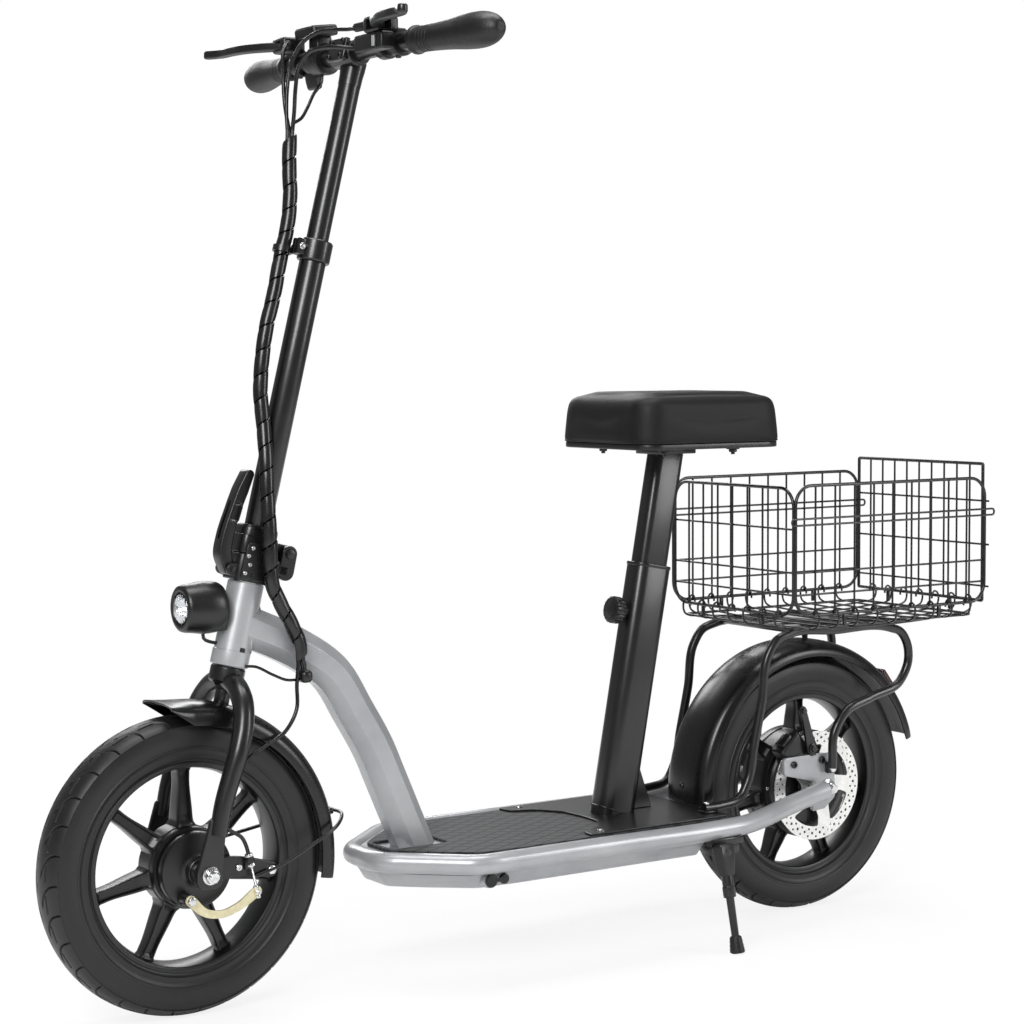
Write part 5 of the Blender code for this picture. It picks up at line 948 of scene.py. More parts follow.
def makeGuard(centre, radius, first, sweep, look, shape, steps):
    # shape gives the lift, the width and the depth of the section at each share of the sweep
    half = [(x, y) for y, x in look["section"]]
    spine = [(-x, y) for x, y in half] + [(x, y) for x, y in half[-2::-1]]
    fine = evenRoute([(x, y, 0) for x, y in spine], 0.0022)
    rings = []
    for step in range(steps + 1):
        share = step / steps
        lift, width, depth = shape(share)
        angle = radians(first - sweep * share)
        outer = [Vector((place.x * width, -place.y * depth)) for place in fine]
        inner = []
        for index, place in enumerate(outer):
            lean = outer[min(index + 1, len(outer) - 1)] - outer[max(index - 1, 0)]
            inner.append(place + Vector((lean.y, -lean.x)).normalized() * look["wall"])
        ring = []
        for side, drop in outer + inner[::-1]:
            reach = radius + lift + drop
            ring.append(centre + at(reach * cos(angle), side, reach * sin(angle)))
        rings.append(ring)
    return edged(loft(rings), 0.0009, 2)


def frontShape(share):
    tip = max(0, 1 - share / 0.09)
    skirt = max(0, 1 - share / 0.085)
    flap = max(0, (share - 0.9) / 0.1)
    return 0.003 * tip ** 2 + 0.0016 * flap, 1 + 0.05 * tip ** 2 - 0.04 * flap, 1 - 0.72 * skirt ** 1.1


def rearShape(share):
    end = max(0, 1 - share / 0.03) + max(0, (share - 0.97) / 0.03)
    return 0, 1 - 0.05 * end ** 2, 1 - 0.12 * end ** 2


stayHook = at(0.218, 0, axleHeight + 0.0441)


def makeFrontGuard():
    shell = makeGuard(front, 0.2063, 98.5, 109, guardLook, frontShape, 150)
    outward = at(stayHook.x, 0, stayHook.z - axleHeight).normalized()
    start = front + outward * 0.2045
    turn = outward.to_track_quat("Z", "X").to_matrix().to_4x4()
    bits = [shell, rod(start, stayHook - outward * 0.0028, 0.0042),
        block((-0.014, -0.009, 0), (0.014, 0.009, 0.0028), 0.001,
            Matrix.Translation(front + outward * 0.2058) @ turn)]
    assemble("frontMudguard", bits, "mudguardPlastic", "fork", ["front_fender"])
    rivets = []
    for angle, side in ((1.5, 0.012), (1.5, -0.012), (-6, 0), (68, 0)):
        place = around(front, side, angle, 0.206)
        rivets.append(socketScrew(place, place - front - at(0, side, 0), 0.0038, 0.002))
    assemble("frontMudguardRivets", rivets, "brightPlating", "fork")


def makeStay():
    hook = stayHook
    left, right = -0.0608, 0.068
    points = [(0.07, left, axleHeight - 0.014), (0.112, left, hook.z - 0.046),
        (0.15, left + 0.003, hook.z - 0.03), (0.197, -0.047, hook.z - 0.0095),
        (hook.x - 0.0015, -0.022, hook.z - 0.0005), hook, (hook.x - 0.0015, 0.022, hook.z - 0.0005),
        (0.197, 0.047, hook.z - 0.0095), (0.11, 0.058, hook.z - 0.026), (0.0141, right, axleHeight)]
    bits = [pipe(evenRoute(points, 0.003), 0.0024, 16),
        lathe([(0.0062, -0.0014), (0.0095, -0.0014), (0.0095, 0.0014), (0.0062, 0.0014)], 32,
            sideways((0.006, right, axleHeight)))]
    assemble("mudguardStay", bits, "satinPowderCoat", "fork", ["fender_stay"])


makeFrontGuard()
makeStay()
print("fork, brake and front mudguard made")


# Head tube, headlight and main tube

headLook = {"radius": 0.023, "half": 0.0535, "ring": 0.0242}
lightLook = {"place": (-0.024, 0, 0.024), "radius": 0.033}
tubeLook = {"radius": 0.028, "edge": 0.0016}


def makeHeadTube(look):
    half, radius, ring = look["half"], look["radius"], look["ring"]
    profile = softProfile([(0.0165, half - 0.001), (radius - 0.0015, half), (radius, half - 0.0012),
        (radius, 0.02 - half), (ring, 0.0192 - half), (ring, 0.001 - half), (ring - 0.0012, -half),
        (0.0165, -half)], 0.0004)
    bits = [turned(profile, 96, steer)]
    assemble("headTube", bits, "silverLacquer", "frame", ["head_tube"])
    cups = [lathe([(0.015, half - 0.0012), (0.0212, half - 0.0012), (0.0216, half + 0.0003),
            (0.015, half + 0.0003)], 64, steer),
        lathe([(0.015, 0.0012 - half), (0.0226, 0.0012 - half), (0.0226, -0.0002 - half),
            (0.015, -0.0002 - half)], 64, steer)]
    assemble("bearingCups", cups, "brightPlating", "frame")
    # a thin dark rubber patch on the side of the tube where it has a small square slot hole: painted shade in
    # place of the hole's dark inside
    holeShade = block((-0.0012, -radius - 0.0004, -0.035), (0.0062, 0.0008 - radius, -0.0282), 0.0008, steer)
    assemble("headTubeHoleShade", [holeShade], "gripRubber", "frame")


def makeHeadlight(look):
    centre = head + Vector(look["place"])
    radius = look["radius"]
    forward = Matrix.Translation(centre) @ Matrix.Rotation(radians(-90), 4, "Y")
    shell = [(0, 0), (0.024, 0.0002), (0.0285, 0.0014), (0.0308, 0.0048), (0.0322, 0.011), (radius, 0.019),
        (radius, 0.028), (radius - 0.002, 0.04), (radius - 0.003, 0.05), (radius - 0.0042, 0.0538),
        (radius - 0.006, 0.0552), (0.0232, 0.0556), (0.0212, 0.0548), (0.0198, 0.0525), (0.0194, 0.048),
        (0.017, 0.033), (0, 0.025)]
    bits = [turned(shell, 96, forward),
        block((centre.x - 0.01, -0.0125, centre.z - 0.03), (head.x - 0.0165, 0.0125, centre.z + 0.006),
            0.003)]
    lead = [centre + at(-0.022, 0.004, -0.031), centre + at(-0.0215, 0.004, -0.039),
        centre + at(-0.01, 0.003, -0.045), centre + at(0.002, 0, -0.047), head + at(-0.014, 0, -0.027)]
    bits.append(pipe(evenRoute(lead), 0.0022))
    assemble("headlightHousing", bits, "mouldedPlastic", "frame", ["headlight_housing"])
    mirror = [(0.004, 0.0335)] + [(0.004 + 0.015 * k / 14, 0.0335 + 0.018 * (k / 14) ** 2)
        for k in range(1, 15)]
    assemble("headlightReflector", [turned(mirror, 12, forward)], "lampReflector", "frame", crease=20)
    glow = turned([(0, 0.0385), (0.0026, 0.0381), (0.0038, 0.0365), (0.004, 0.0335), (0, 0.0335)], 40,
        forward)
    assemble("headlightDiode", [glow], "clearLens", "frame")
    lens = [(0, 0.06), (0.007, 0.0594), (0.013, 0.0577), (0.017, 0.0556), (0.0188, 0.0538), (0.0192, 0.052),
        (0.018, 0.0515), (0.012, 0.0545), (0, 0.057)]
    assemble("headlightLens", [turned(lens, 96, forward)], "clearLens", "frame", ["headlight_lens"])


def octagon(radius, edge):
    corners = [(radius * cos(pi / 8 + pi * k / 4), radius * sin(pi / 8 + pi * k / 4), edge) for k in range(8)]
    return rounded(corners, 4)


def makeMainTube(look):
    line = [(0.001, 0.0005), (0.026, -0.01), (0.078, -0.0345), (0.1326, -0.073), (0.1656, -0.1247),
        (0.198, -0.181)]
    foot = [(0.2935, 0, 0.2713), (0.3068, 0, 0.241), (0.3202, 0, 0.2103), (0.3335, 0, 0.18),
        (0.3405, 0, 0.164)]
    points = [(head.x + x, 0, head.z + z) for x, z in line] + foot
    route = evenRoute(points, 0.004)
    section = octagon(look["radius"], look["edge"])
    rings = []
    for index, place in enumerate(route):
        lean = (route[min(index + 1, len(route) - 1)] - route[max(index - 1, 0)]).normalized()
        up = at(0, 1, 0).cross(lean)
        narrow = 0.84 + 0.16 * min(1, max(0, (place.x - head.x - 0.004) / 0.03))
        rings.append([place + at(0, y * narrow, 0) + up * x for x, y in section])
    assemble("mainTube", [loft(rings)], "silverLacquer", "frame", ["main_tube"], 8)
    beads = [weldBead([(0.0232 * cos(a), 0.0232 * sin(a), -0.004 + 0.031 * cos(b))
        for a, b in [(radians(55 * sin(t)), t) for t in [2 * pi * k / 40 for k in range(40)]]], steer)]
    assemble("headWeld", beads, "silverLacquer", "frame")
    low = at(0.1582, -0.035, 0.415)
    bits = [block(low + at(-0.0085, -0.0105, -0.0085), low + at(0.0085, 0.0105, 0.0085), 0.0068, segments=6)]
    assemble("cableGland", bits, "mouldedPlastic", "frame")
    side = steer @ at(0.012, -0.0215, -0.05)
    lead = [low + at(-0.006, 0.001, -0.004), low + at(-0.026, 0.001, -0.003),
        side.lerp(low, 0.45) + at(0, -0.002, -0.005), side + at(0.012, -0.001, -0.001), side]
    assemble("lampLead", [pipe(evenRoute(lead), 0.0018, 16)], "cableJacket", "frame")


def weldBead(points, matrix=None, radius=0.0016):
    # a closed seam of small overlapping scales
    loop = [Vector(place) for place in points]
    factors = [0.85 + 0.3 * (index % 2) for index in range(len(loop))]
    return pipe(loop, radius, 12, factors, matrix, True)


makeHeadTube(headLook)
makeHeadlight(lightLook)
makeMainTube(tubeLook)
print("head tube, headlight and main tube made")


# Deck

deckLook = {"railRadius": 0.0135, "railY": 0.127, "railZ": 0.163, "plateTop": 0.1712, "halfWidth": 0.118,
    "trayBottom": 0.128}


def deckOutline(inset, start, end):
    half = deckLook["railY"] - inset
    corners = [(start, -0.03, 0.02), (start + 0.038, -0.075 + inset * 0.6, 0.05),
        (start + 0.09, -0.1235 + inset, 0.045), (start + 0.15, -half, 0.05), (end, -half, 0.002)]
    return rounded(corners + [(x, -y, radius) for x, y, radius in reversed(corners)], 10)


def makeDeckFrame(look):
    y, z = look["railY"], look["railZ"]
    rearEnd = [(0.983, -0.0881, axleHeight), (0.965, -0.09, 0.1845), (0.9, -0.102, 0.1755),
        (0.84, -0.1175, 0.1672), (0.8, -0.125, z + 0.0008), (0.765, -y, z)]
    bend = [(0.56, -y, z), (0.4, -y, z), (0.381, -y, z), (0.3615, -0.1235, z), (0.3486, -0.1149, z),
        (0.335, -0.1025, z), (0.289, -0.0606, z), (0.2757, -0.0485, z), (0.2655, -0.0335, z),
        (0.2625, -0.0185, z), (0.2625, 0, z)]
    whole = rearEnd + bend + [(x, -side, height) for x, side, height in reversed(rearEnd + bend[:-1])]
    bits = [pipe(evenRoute(whole, 0.004), look["railRadius"], 36),
        plate(deckOutline(y - look["halfWidth"], 0.27, 0.775), 0.004,
            raised(look["plateTop"] - 0.002), edge=0.0006)]
    for side in (-1, 1):
        low, high = sorted((side * 0.0745, side * 0.088))
        bits.append(block((0.973, low, axleHeight - 0.007), (0.9825, high, axleHeight + 0.007), 0.0012))
    assemble("deckFrame", bits, "silverLacquer", "frame", ["deck_frame"])
    bracket = [block((0.733, -0.1385, 0.1425), (0.79, -0.108, z - 0.0105), 0.0016),
        block((0.738, -0.1355, 0.129), (0.785, -0.1095, 0.144), 0.002)]
    assemble("kickstandBracket", bracket, "satinPowderCoat", "frame")


def makeTray(look):
    low = look["trayBottom"]
    levels = [(0.005, 0.2665, 0.735, 0.148), (0.0054, 0.267, 0.7347, 0.1466), (0.0104, 0.2732, 0.7314, 0.137),
        (0.0142, 0.278, 0.7286, 0.1296), (0.0156, 0.2797, 0.7274, 0.1284), (0.018, 0.2825, 0.725, low)]
    rings = [[(x, y, z) for x, y in deckOutline(inset, start, end)]
        for inset, start, end, z in reversed(levels)]
    bits = [loft(rings), rod((0.38, -0.108, 0.14), (0.38, -0.1236, 0.14), 0.0115, endRadius=0.01)]
    assemble("bellyTray", bits, "silverLacquer", "frame", ["belly_tray"], 25)
    screws = []
    for x in (0.345, 0.47, 0.6, 0.715):
        for y in (-0.095, 0.095):
            screws.append(socketScrew((x, y * (0.62 if x < 0.4 else 1), low), (0, 0, -1), 0.0045, 0.0016))
    assemble("trayScrews", screws, "brightPlating", "frame")


def makeChargeCap():
    y = -0.1241
    dome = [(0, 0), (0.0088, 0), (0.0094, -0.0008), (0.009, -0.0022), (0.007, -0.0034), (0.006, -0.0034),
        (0.0052, -0.0028), (0, -0.0028)]
    bits = [turned(dome, 48, sideways((0.38, y, 0.14))),
        block((0.386, y - 0.0024, 0.1372), (0.397, y - 0.0004, 0.1428), 0.0008)]
    assemble("chargeCap", bits, "gripRubber", "charge_cap", ["charge_cap"])
    plug = [(0, 0.002), (0.0066, 0.002), (0.007, -0.0006), (0.0064, -0.003), (0.004, -0.0038), (0, -0.0038)]
    assemble("chargeCapAnchor", [turned(plug, 40, sideways((0.401, y + 0.0012, 0.14)))], "gripRubber",
        "frame")


def makeDeckTop(look):
    outline = deckOutline(look["railY"] - look["halfWidth"] + 0.0045, 0.283, 0.77)
    opening = rectangle((0.29, -0.0285), (0.3765, 0.0285), 0.006)
    mat = plate(outline, 0.004, raised(0.1735), [opening], 0.0008)
    assemble("deckMat", [mat], "diamondMat", "frame", ["deck_mat"])
    corners = [(0.548, -0.113, 0.003), (0.552, -0.089, 0.01), (0.588, -0.073, 0.03), (0.61, -0.04, 0.03),
        (0.613, 0, 0.05), (0.61, 0.04, 0.03), (0.588, 0.073, 0.03), (0.552, 0.089, 0.01),
        (0.548, 0.113, 0.003), (0.785, 0.113, 0.006), (0.785, -0.113, 0.006)]
    cover = plate(rounded(corners, 8), 0.003, raised(coverTop - 0.0015), edge=0.0007)
    assemble("seatBaseCover", [cover], "satinPowderCoat", "frame", ["seat_base_cover"])
    screws = [socketScrew((0.574, side * 0.099, coverTop - 0.0002), (0, 0, 1), 0.005, 0.0022)
        for side in (-1, 1)]
    assemble("coverScrews", screws, "brightPlating", "frame")


makeDeckFrame(deckLook)
makeTray(deckLook)
makeChargeCap()
makeDeckTop(deckLook)
for name, finish in (("battery_pack", "shrinkSleeve"), ("motor_controller", "groundSteel")):
    for place in frame["nodes"][name].material_slots:
        place.material = finishes[finish]
print("deck made")


# Seat sleeve, post, knob and pan

seatLook = {"x": 0.77, "length": 0.26, "width": 0.22, "top": 0.766, "knobUp": 0.28, "sleeveLength": 0.3516}


def makeSleeve(look):
    length = look["sleeveLength"]
    hole = oblong(0.0254, 0.0164, 0.0114, 8)
    middle = raised((length - 0.02) / 2)
    bits = [plate(oblong(0.03, 0.021, 0.0158, 10), length + 0.02, seatFrame @ middle, [hole], 0.0012)]
    top = seatFrame @ raised(length - 0.0025)
    bits.append(plate(oblong(0.0308, 0.0218, 0.0164, 10), 0.005, top, [hole], 0.001))
    back = sleeveFoot + 0.03 / cos(seatLean)
    rise = 0.062
    past = back + rise * tan(seatLean)
    web = [(back - 0.003, coverTop, 0), (back + 0.036, coverTop, 0.002),
        (past + 0.002, coverTop + rise, 0.003), (past - 0.003, coverTop + rise, 0)]
    bits.append(plate(rounded(web, 5), 0.008, upright, edge=0.0012))
    foot = [(x * 1.02, y * 1.03, 0.0012 - x * 0.189) for x, y in oblong(0.0305, 0.0212, 0.0158, 10)]
    bits.append(weldBead(foot, seatFrame, 0.0011))
    assemble("seatSleeve", bits, "satinPowderCoat", "frame", ["seat_post_sleeve"])


def ribbed(start, end, radius, ribs, depth, matrix=None, edge=0.002):
    turn, length = turnTo(start, end)
    levels = [(0, 0.86, 0), (0.0006, 0.95, 0.3), (edge, 1, 1), (length - edge, 1, 1),
        (length - 0.0006, 0.93, 0.3), (length, 0.84, 0)]
    rings = []
    for height, share, wave in levels:
        ring = []
        for step in range(ribs * 8):
            angle = 2 * pi * step / (ribs * 8)
            reach = radius * share - depth * wave * max(0, cos(angle * ribs)) ** 2
            ring.append((reach * cos(angle), reach * sin(angle), height))
        rings.append(ring)
    return loft(rings, matrix=(matrix or Matrix()) @ turn)


def makeKnob(look):
    up = look["knobUp"]
    bits = [ribbed((-0.04, 0, up), (-0.055, 0, up), 0.019, 18, 0.0016, seatFrame),
        rod((-0.0303, 0, up), (-0.041, 0, up), 0.01, matrix=seatFrame, endRadius=0.012),
        rod((-0.0545, 0, up), (-0.0562, 0, up), 0.011, matrix=seatFrame)]
    assemble("seatKnob", bits, "mouldedPlastic", "seat_knob", ["seat_knob"])
    screw = threaded((-0.0253, 0, up), (-0.0405, 0, up), 0.004, 0.00125, seatFrame)
    assemble("seatKnobScrew", [screw], "brightPlating", "seat_knob")


def makeSeatPost(look):
    hole = oblong(0.023, 0.014, 0.009, 8)
    post = plate(oblong(0.025, 0.016, 0.011, 10), 0.331, seatFrame @ raised(0.3485),
        [hole], 0.0008)
    top = seatFrame @ at(0, 0, 0.514)
    mount = block((top.x - 0.034, -0.026, top.z - 0.0046), (top.x + 0.034, 0.026, top.z + 0.0046), 0.0015)
    assemble("seatPost", [post, mount], "satinPowderCoat", "seat", ["seat_post"])
    low = top.z + 0.0049
    half = (look["length"] / 2 - 0.006, look["width"] / 2 - 0.006)
    bits = [plate(oblong(*half, 0.032, 16), 0.008, Matrix.Translation((look["x"], 0, low + 0.004)),
        edge=0.0015)]
    bolts = []
    for x in (-0.066, 0.054):
        for y in (-0.072, 0.072):
            bits.append(rod((look["x"] + x, y, low - 0.0028), (look["x"] + x, y, low + 0.001), 0.0095))
            bolts += [hexHead((look["x"] + x, y, low - 0.0026), (look["x"] + x, y, low - 0.007), 0.0062,
                    bore=0.0032),
                threaded((look["x"] + x, y, low), (look["x"] + x, y, low - 0.01), 0.003)]
    assemble("seatPan", bits, "mouldedPlastic", "seat", ["seat_pan"])
    assemble("seatPanNuts", bolts, "satinPowderCoat", "seat")
    return low + 0.0083


makeSleeve(seatLook)
makeKnob(seatLook)
cushionBottom = makeSeatPost(seatLook)
print("seat post made")


# Folding joint and stem

stemLook = {"lower": 0.017, "upper": 0.0143, "socketTop": 0.49}


def makeFoldBase():
    low, top = 0.0541, 0.088
    outline = rectangle((-0.026, -0.022), (0.034, 0.022), 0.008, 8)
    hole = circle((0, 0), 0.0146, 40)
    bits = [plate(outline, top - low, steer @ raised((low + top) / 2), [hole], 0.0018),
        block((0.028, -0.0195, low + 0.012), (0.05, 0.0195, top), 0.006, steer, 5)]
    for side in (-1, 1):
        bits += [plate(strip([(0.0432, 0.076), (0.0432, 0.0994)], [0.011, 0.0105]), 0.0089,
                steer @ standing((0, side * 0.01505, 0)), edge=0.0014),
            plate(strip([(-0.024, 0.0655), (-0.0308, 0.0655)], [0.009, 0.0078]), 0.006,
                steer @ standing((0, side * 0.0142, 0)), edge=0.0014)]
        outline = rounded([(-0.0215, 0.057, 0.004), (0.027, 0.057, 0.004), (0.027, 0.084, 0.005),
            (0.003, 0.085, 0.005), (-0.001, 0.104, 0.008), (-0.02, 0.104, 0.009)], 6)
        bits.append(plate(outline, 0.003, steer @ standing((0, side * 0.0226, 0)),
            [circle((-0.008, 0.064), 0.0027, 20)], 0.001))
    bits += [rod((0.0432, -0.0222, 0.0994), (0.0432, 0.0222, 0.0994), 0.0058, matrix=steer),
        rod((-0.0308, -0.019, 0.0655), (-0.0308, 0.019, 0.0655), 0.003, matrix=steer)]
    assemble("foldBase", bits, "paintedCasting", "fork", ["fold_base"])
    screws = []
    for side in (-1, 1):
        for n, t in ((-0.012, 0.0965), (-0.016, 0.086), (-0.012, 0.0755), (-0.0165, 0.064)):
            screws.append(socketScrew(steer @ at(n, side * 0.0238, t), steer.to_3x3() @ at(0, side, 0),
                0.0027, 0.0016))
    assemble("foldBaseScrews", screws, "brightPlating", "fork")


def makeFoldLever():
    points = [(0, 0), (-0.01, 0.016), (-0.0118, 0.038), (-0.009, 0.07), (-0.004, 0.1), (0.0005, 0.121)]
    path = [(-0.0308 + n, 0.0655 + t) for n, t in points]
    outline = strip(path, [0.0075, 0.0085, 0.008, 0.0072, 0.0075, 0.006])
    window = strip([(-0.0392, 0.129), (-0.0374, 0.144)], [0.0042, 0.0038])
    lever = plate(outline, 0.0218, steer @ upright, [circle((-0.0308, 0.0655), 0.0034, 20), window], 0.0022)
    slot = block((-0.07, -0.003, 0.1), (-0.044, 0.003, 0.15), 0, steer)
    lever = carved(lever, [slot])
    assemble("foldLever", [lever], "paintedCasting", "fold_lever", ["fold_lever"])


def makeStemLower(look):
    low, top, pipeTop = 0.0886, 0.125, look["socketTop"]
    foot = plate(oblong(0.0255, 0.0205, 0.009, 8), top - low - 0.012,
        steer @ raised((low + top - 0.012) / 2), edge=0.002)
    shoulder = loft([[(x * s, y * s, t) for x, y in oblong(0.0245, 0.0197, 0.0125, 8)]
        for s, t in ((1.02, top - 0.016), (1.02, top - 0.006), (0.99, top - 0.002), (0.93, top),
        (0.8, top + 0.001))], matrix=steer)
    lug = plate(strip([(0.02, 0.099), (0.0432, 0.0994)], [0.011, 0.0105]), 0.0206, steer @ upright,
        [circle((0.0432, 0.0994), 0.0043, 20)], 0.0014)
    tube = lathe(softProfile([(0.0146, 0.13), (look["lower"], 0.116), (look["lower"], pipeTop),
        (0.0146, pipeTop)]), 72, steer)
    collar = lathe(softProfile([(0.0146, pipeTop - 0.021), (0.02, pipeTop - 0.021), (0.0212, pipeTop - 0.019),
        (0.0212, pipeTop + 0.005), (0.0196, pipeTop + 0.007), (0.0146, pipeTop + 0.007)]), 72, steer)
    bits = [foot, shoulder, lug, tube, collar]
    for side in (-1, 1):
        near, far = sorted((side * 0.0012, side * 0.009))
        bits.append(block((-0.0295, near, pipeTop - 0.017), (-0.016, far, pipeTop + 0.004), 0.0016, steer))
    centre, rearward, side, down = wrapAt(wrapLoopPlace)
    turn = Matrix((rearward, side, down)).transposed().to_4x4()
    bits += [lathe([(0.0104, -0.004), (0.0124, -0.004), (0.0124, 0.004), (0.0104, 0.004)], 40,
            Matrix.Translation(centre) @ turn),
        rod(centre + rearward * 0.011, steer @ at(-0.017, 0.004, pipeTop - 0.01), 0.0034)]
    assemble("stemLower", bits, "satinPowderCoat", "stem_lower", ["stem_lower"])
    t = pipeTop - 0.0065
    screws = [rod((-0.0245, -0.012, t), (-0.0245, 0.012, t), 0.003, matrix=steer),
        socketScrew(steer @ at(-0.0245, -0.009, t), steer.to_3x3() @ at(0, -1, 0), 0.0044, 0.0042),
        hexHead((-0.0245, 0.009, t), (-0.0245, 0.0125, t), 0.005, steer)]
    assemble("collarScrew", screws, "brightPlating", "stem_lower")


def makeStemUpper(look):
    n, t, radius = -0.009, barHeight, look["upper"]
    tube = lathe(softProfile([(radius - 0.002, 0.33), (radius, 0.33), (radius, t - 0.0126),
        (radius - 0.002, t - 0.0126)]), 72, steer)
    clamp = lathe([(0.0115, -0.026), (0.016, -0.026), (0.0175, -0.0245), (0.0175, 0.0245), (0.016, 0.026),
        (0.0115, 0.026)], 72, steer @ sideways((n, 0, t)))
    neck = loft([[(x * s, y * s, height) for x, y in circle((0, 0), 1, 48)]
        for s, height in ((0.0146, t - 0.04), (0.015, t - 0.028), (0.016, t - 0.018), (0.0164, t - 0.008))],
        matrix=steer)
    face = block((n - 0.0205, -0.0215, t - 0.015), (n - 0.0125, 0.0215, t + 0.015), 0.003, steer, 4)
    assemble("stemUpper", [tube, clamp, neck, face], "satinPowderCoat", "stem_upper", ["stem_upper"])
    screws = []
    for y in (-0.0145, 0.0145):
        for up in (-0.0098, 0.0098):
            screws.append(socketScrew(steer @ at(n - 0.02, y, t + up), steer.to_3x3() @ at(-1, 0, 0), 0.004,
                0.003))
    assemble("barClampScrews", screws, "satinPowderCoat", "stem_upper")


# Where the cables run: distance behind the stem's axis, sideways place, and share of the bar's height
wrapRoute = [(-0.051, 0.0365, 0.8481), (-0.0464, 0.027, 0.787), (-0.0397, 0.02, 0.7336),
    (-0.0377, 0.015, 0.6786), (-0.0392, 0.013, 0.6475), (-0.0397, 0.012, 0.6223), (-0.0409, 0.007, 0.5621),
    (-0.0439, 0.003, 0.5054), (-0.0421, 0.0, 0.4486), (-0.0364, -0.003, 0.3925), (-0.0267, -0.01, 0.3401),
    (-0.0197, -0.022, 0.284), (-0.0118, -0.0285, 0.2283), (0.0, -0.034, 0.1627), (0.0102, -0.034, 0.1124),
    (0.0181, -0.034, 0.0794), (0.0353, -0.0345, 0.0488), (0.0553, -0.0365, 0.0186), (0.0724, -0.037, -0.0126),
    (0.0793, -0.0372, -0.0416)]
wrapLine = evenRoute([steer @ at(behind, y, share * barHeight) for behind, y, share in wrapRoute])
wrapLengths = [0]
for before, after in zip(wrapLine, wrapLine[1:]):
    wrapLengths.append(wrapLengths[-1] + (after - before).length)
wrapLoopPlace = 0.1555


def linePoint(place):
    index = 0
    while index < len(wrapLine) - 2 and wrapLengths[index + 1] < place:
        index += 1
    share = (place - wrapLengths[index]) / (wrapLengths[index + 1] - wrapLengths[index])
    return wrapLine[index].lerp(wrapLine[index + 1], share)


def wrapAt(place):
    # centre, two directions across the wrap (rearwards first) and its direction of travel
    lean = (linePoint(min(place + 0.008, wrapLengths[-1])) - linePoint(max(place - 0.008, 0))).normalized()
    rearward = (at(1, 0, 0) - lean * lean.x).normalized()
    return linePoint(place), rearward, lean.cross(rearward), lean


makeFoldBase()
makeFoldLever()
makeStemLower(stemLook)
makeStemUpper(stemLook)
print("stem made")


# Handlebar, grips, levers and controls

barLook = {"radius": 0.0111, "straight": 0.145, "halfWidth": 0.31, "sweep": 0.024}


def barPoint(side, distance):
    turn = atan2(barLook["sweep"], barLook["halfWidth"] - barLook["straight"])
    return barCentre + at(distance * sin(turn), side * (barLook["straight"] + distance * cos(turn)), 0)


def makeHandlebar(look):
    left = [barPoint(-1, 0.161), barPoint(-1, 0.014), barPoint(-1, 0) + at(0, 0.006, 0),
        barPoint(-1, 0) + at(0, 0.022, 0)]
    route = left + [at(place.x, -place.y, place.z) for place in reversed(left)]
    assemble("handlebar", [pipe(evenRoute(route, 0.004), look["radius"], 40)], "satinPowderCoat",
        "stem_upper", ["handlebar"])


gripLook = {"levels": [(0.013, 0.012), (0.0134, 0.0166), (0.015, 0.0176), (0.02, 0.0176), (0.0225, 0.0166),
    (0.027, 0.0163), (0.055, 0.0167), (0.085, 0.0185), (0.112, 0.021), (0.13, 0.0218), (0.145, 0.0207),
    (0.157, 0.0174), (0.165, 0.0128), (0.17, 0.0076), (0.1716, 0)], "ribs": 4, "ribStart": 0.028,
    "ribEnd": 0.052, "ribDepth": 0.001}


def makeGrips(look):
    for side, word in sides:
        turn = turnTo(barPoint(side, 0), barPoint(side, 0.1))[0]
        profile = []
        for place, radius, _ in evenRoute([(a, b, 0) for a, b in look["levels"]], 0.0007):
            if look["ribStart"] < place < look["ribEnd"]:
                part = (place - look["ribStart"]) / (look["ribEnd"] - look["ribStart"]) * look["ribs"]
                radius -= look["ribDepth"] * (1 if part % 1 > 0.62 else 0)
            profile.append((radius, place))
        assemble(word + "Grip", [turned(profile, 72, turn)], "gripRubber", "stem_upper", [word + "_grip"], 50)


def mirrorBox(side, low, high, edge=0.002, segments=3):
    first = barCentre + at(low[0], side * low[1], low[2])
    second = barCentre + at(high[0], side * high[1], high[2])
    return block([min(pair) for pair in zip(first, second)], [max(pair) for pair in zip(first, second)], edge,
        segments=segments)


def barRing(first, last, radius, edge=0.001):
    low, high = sorted((first, last))
    profile = [(0.0114, low), (radius - edge, low), (radius - edge * 0.3, low + edge * 0.3),
        (radius, low + edge), (radius, high - edge), (radius - edge * 0.3, high - edge * 0.3),
        (radius - edge, high), (0.0114, high)]
    return lathe(profile, 72, sideways(barCentre))


def adjusterEnds(side):
    if side < 0:
        return barCentre + at(-0.0305, -0.106, 0.0225), barCentre + at(-0.0305, -0.064, 0.023)
    return barCentre + at(-0.029, 0.108, 0.022), barCentre + at(-0.041, 0.0905, 0.0195)


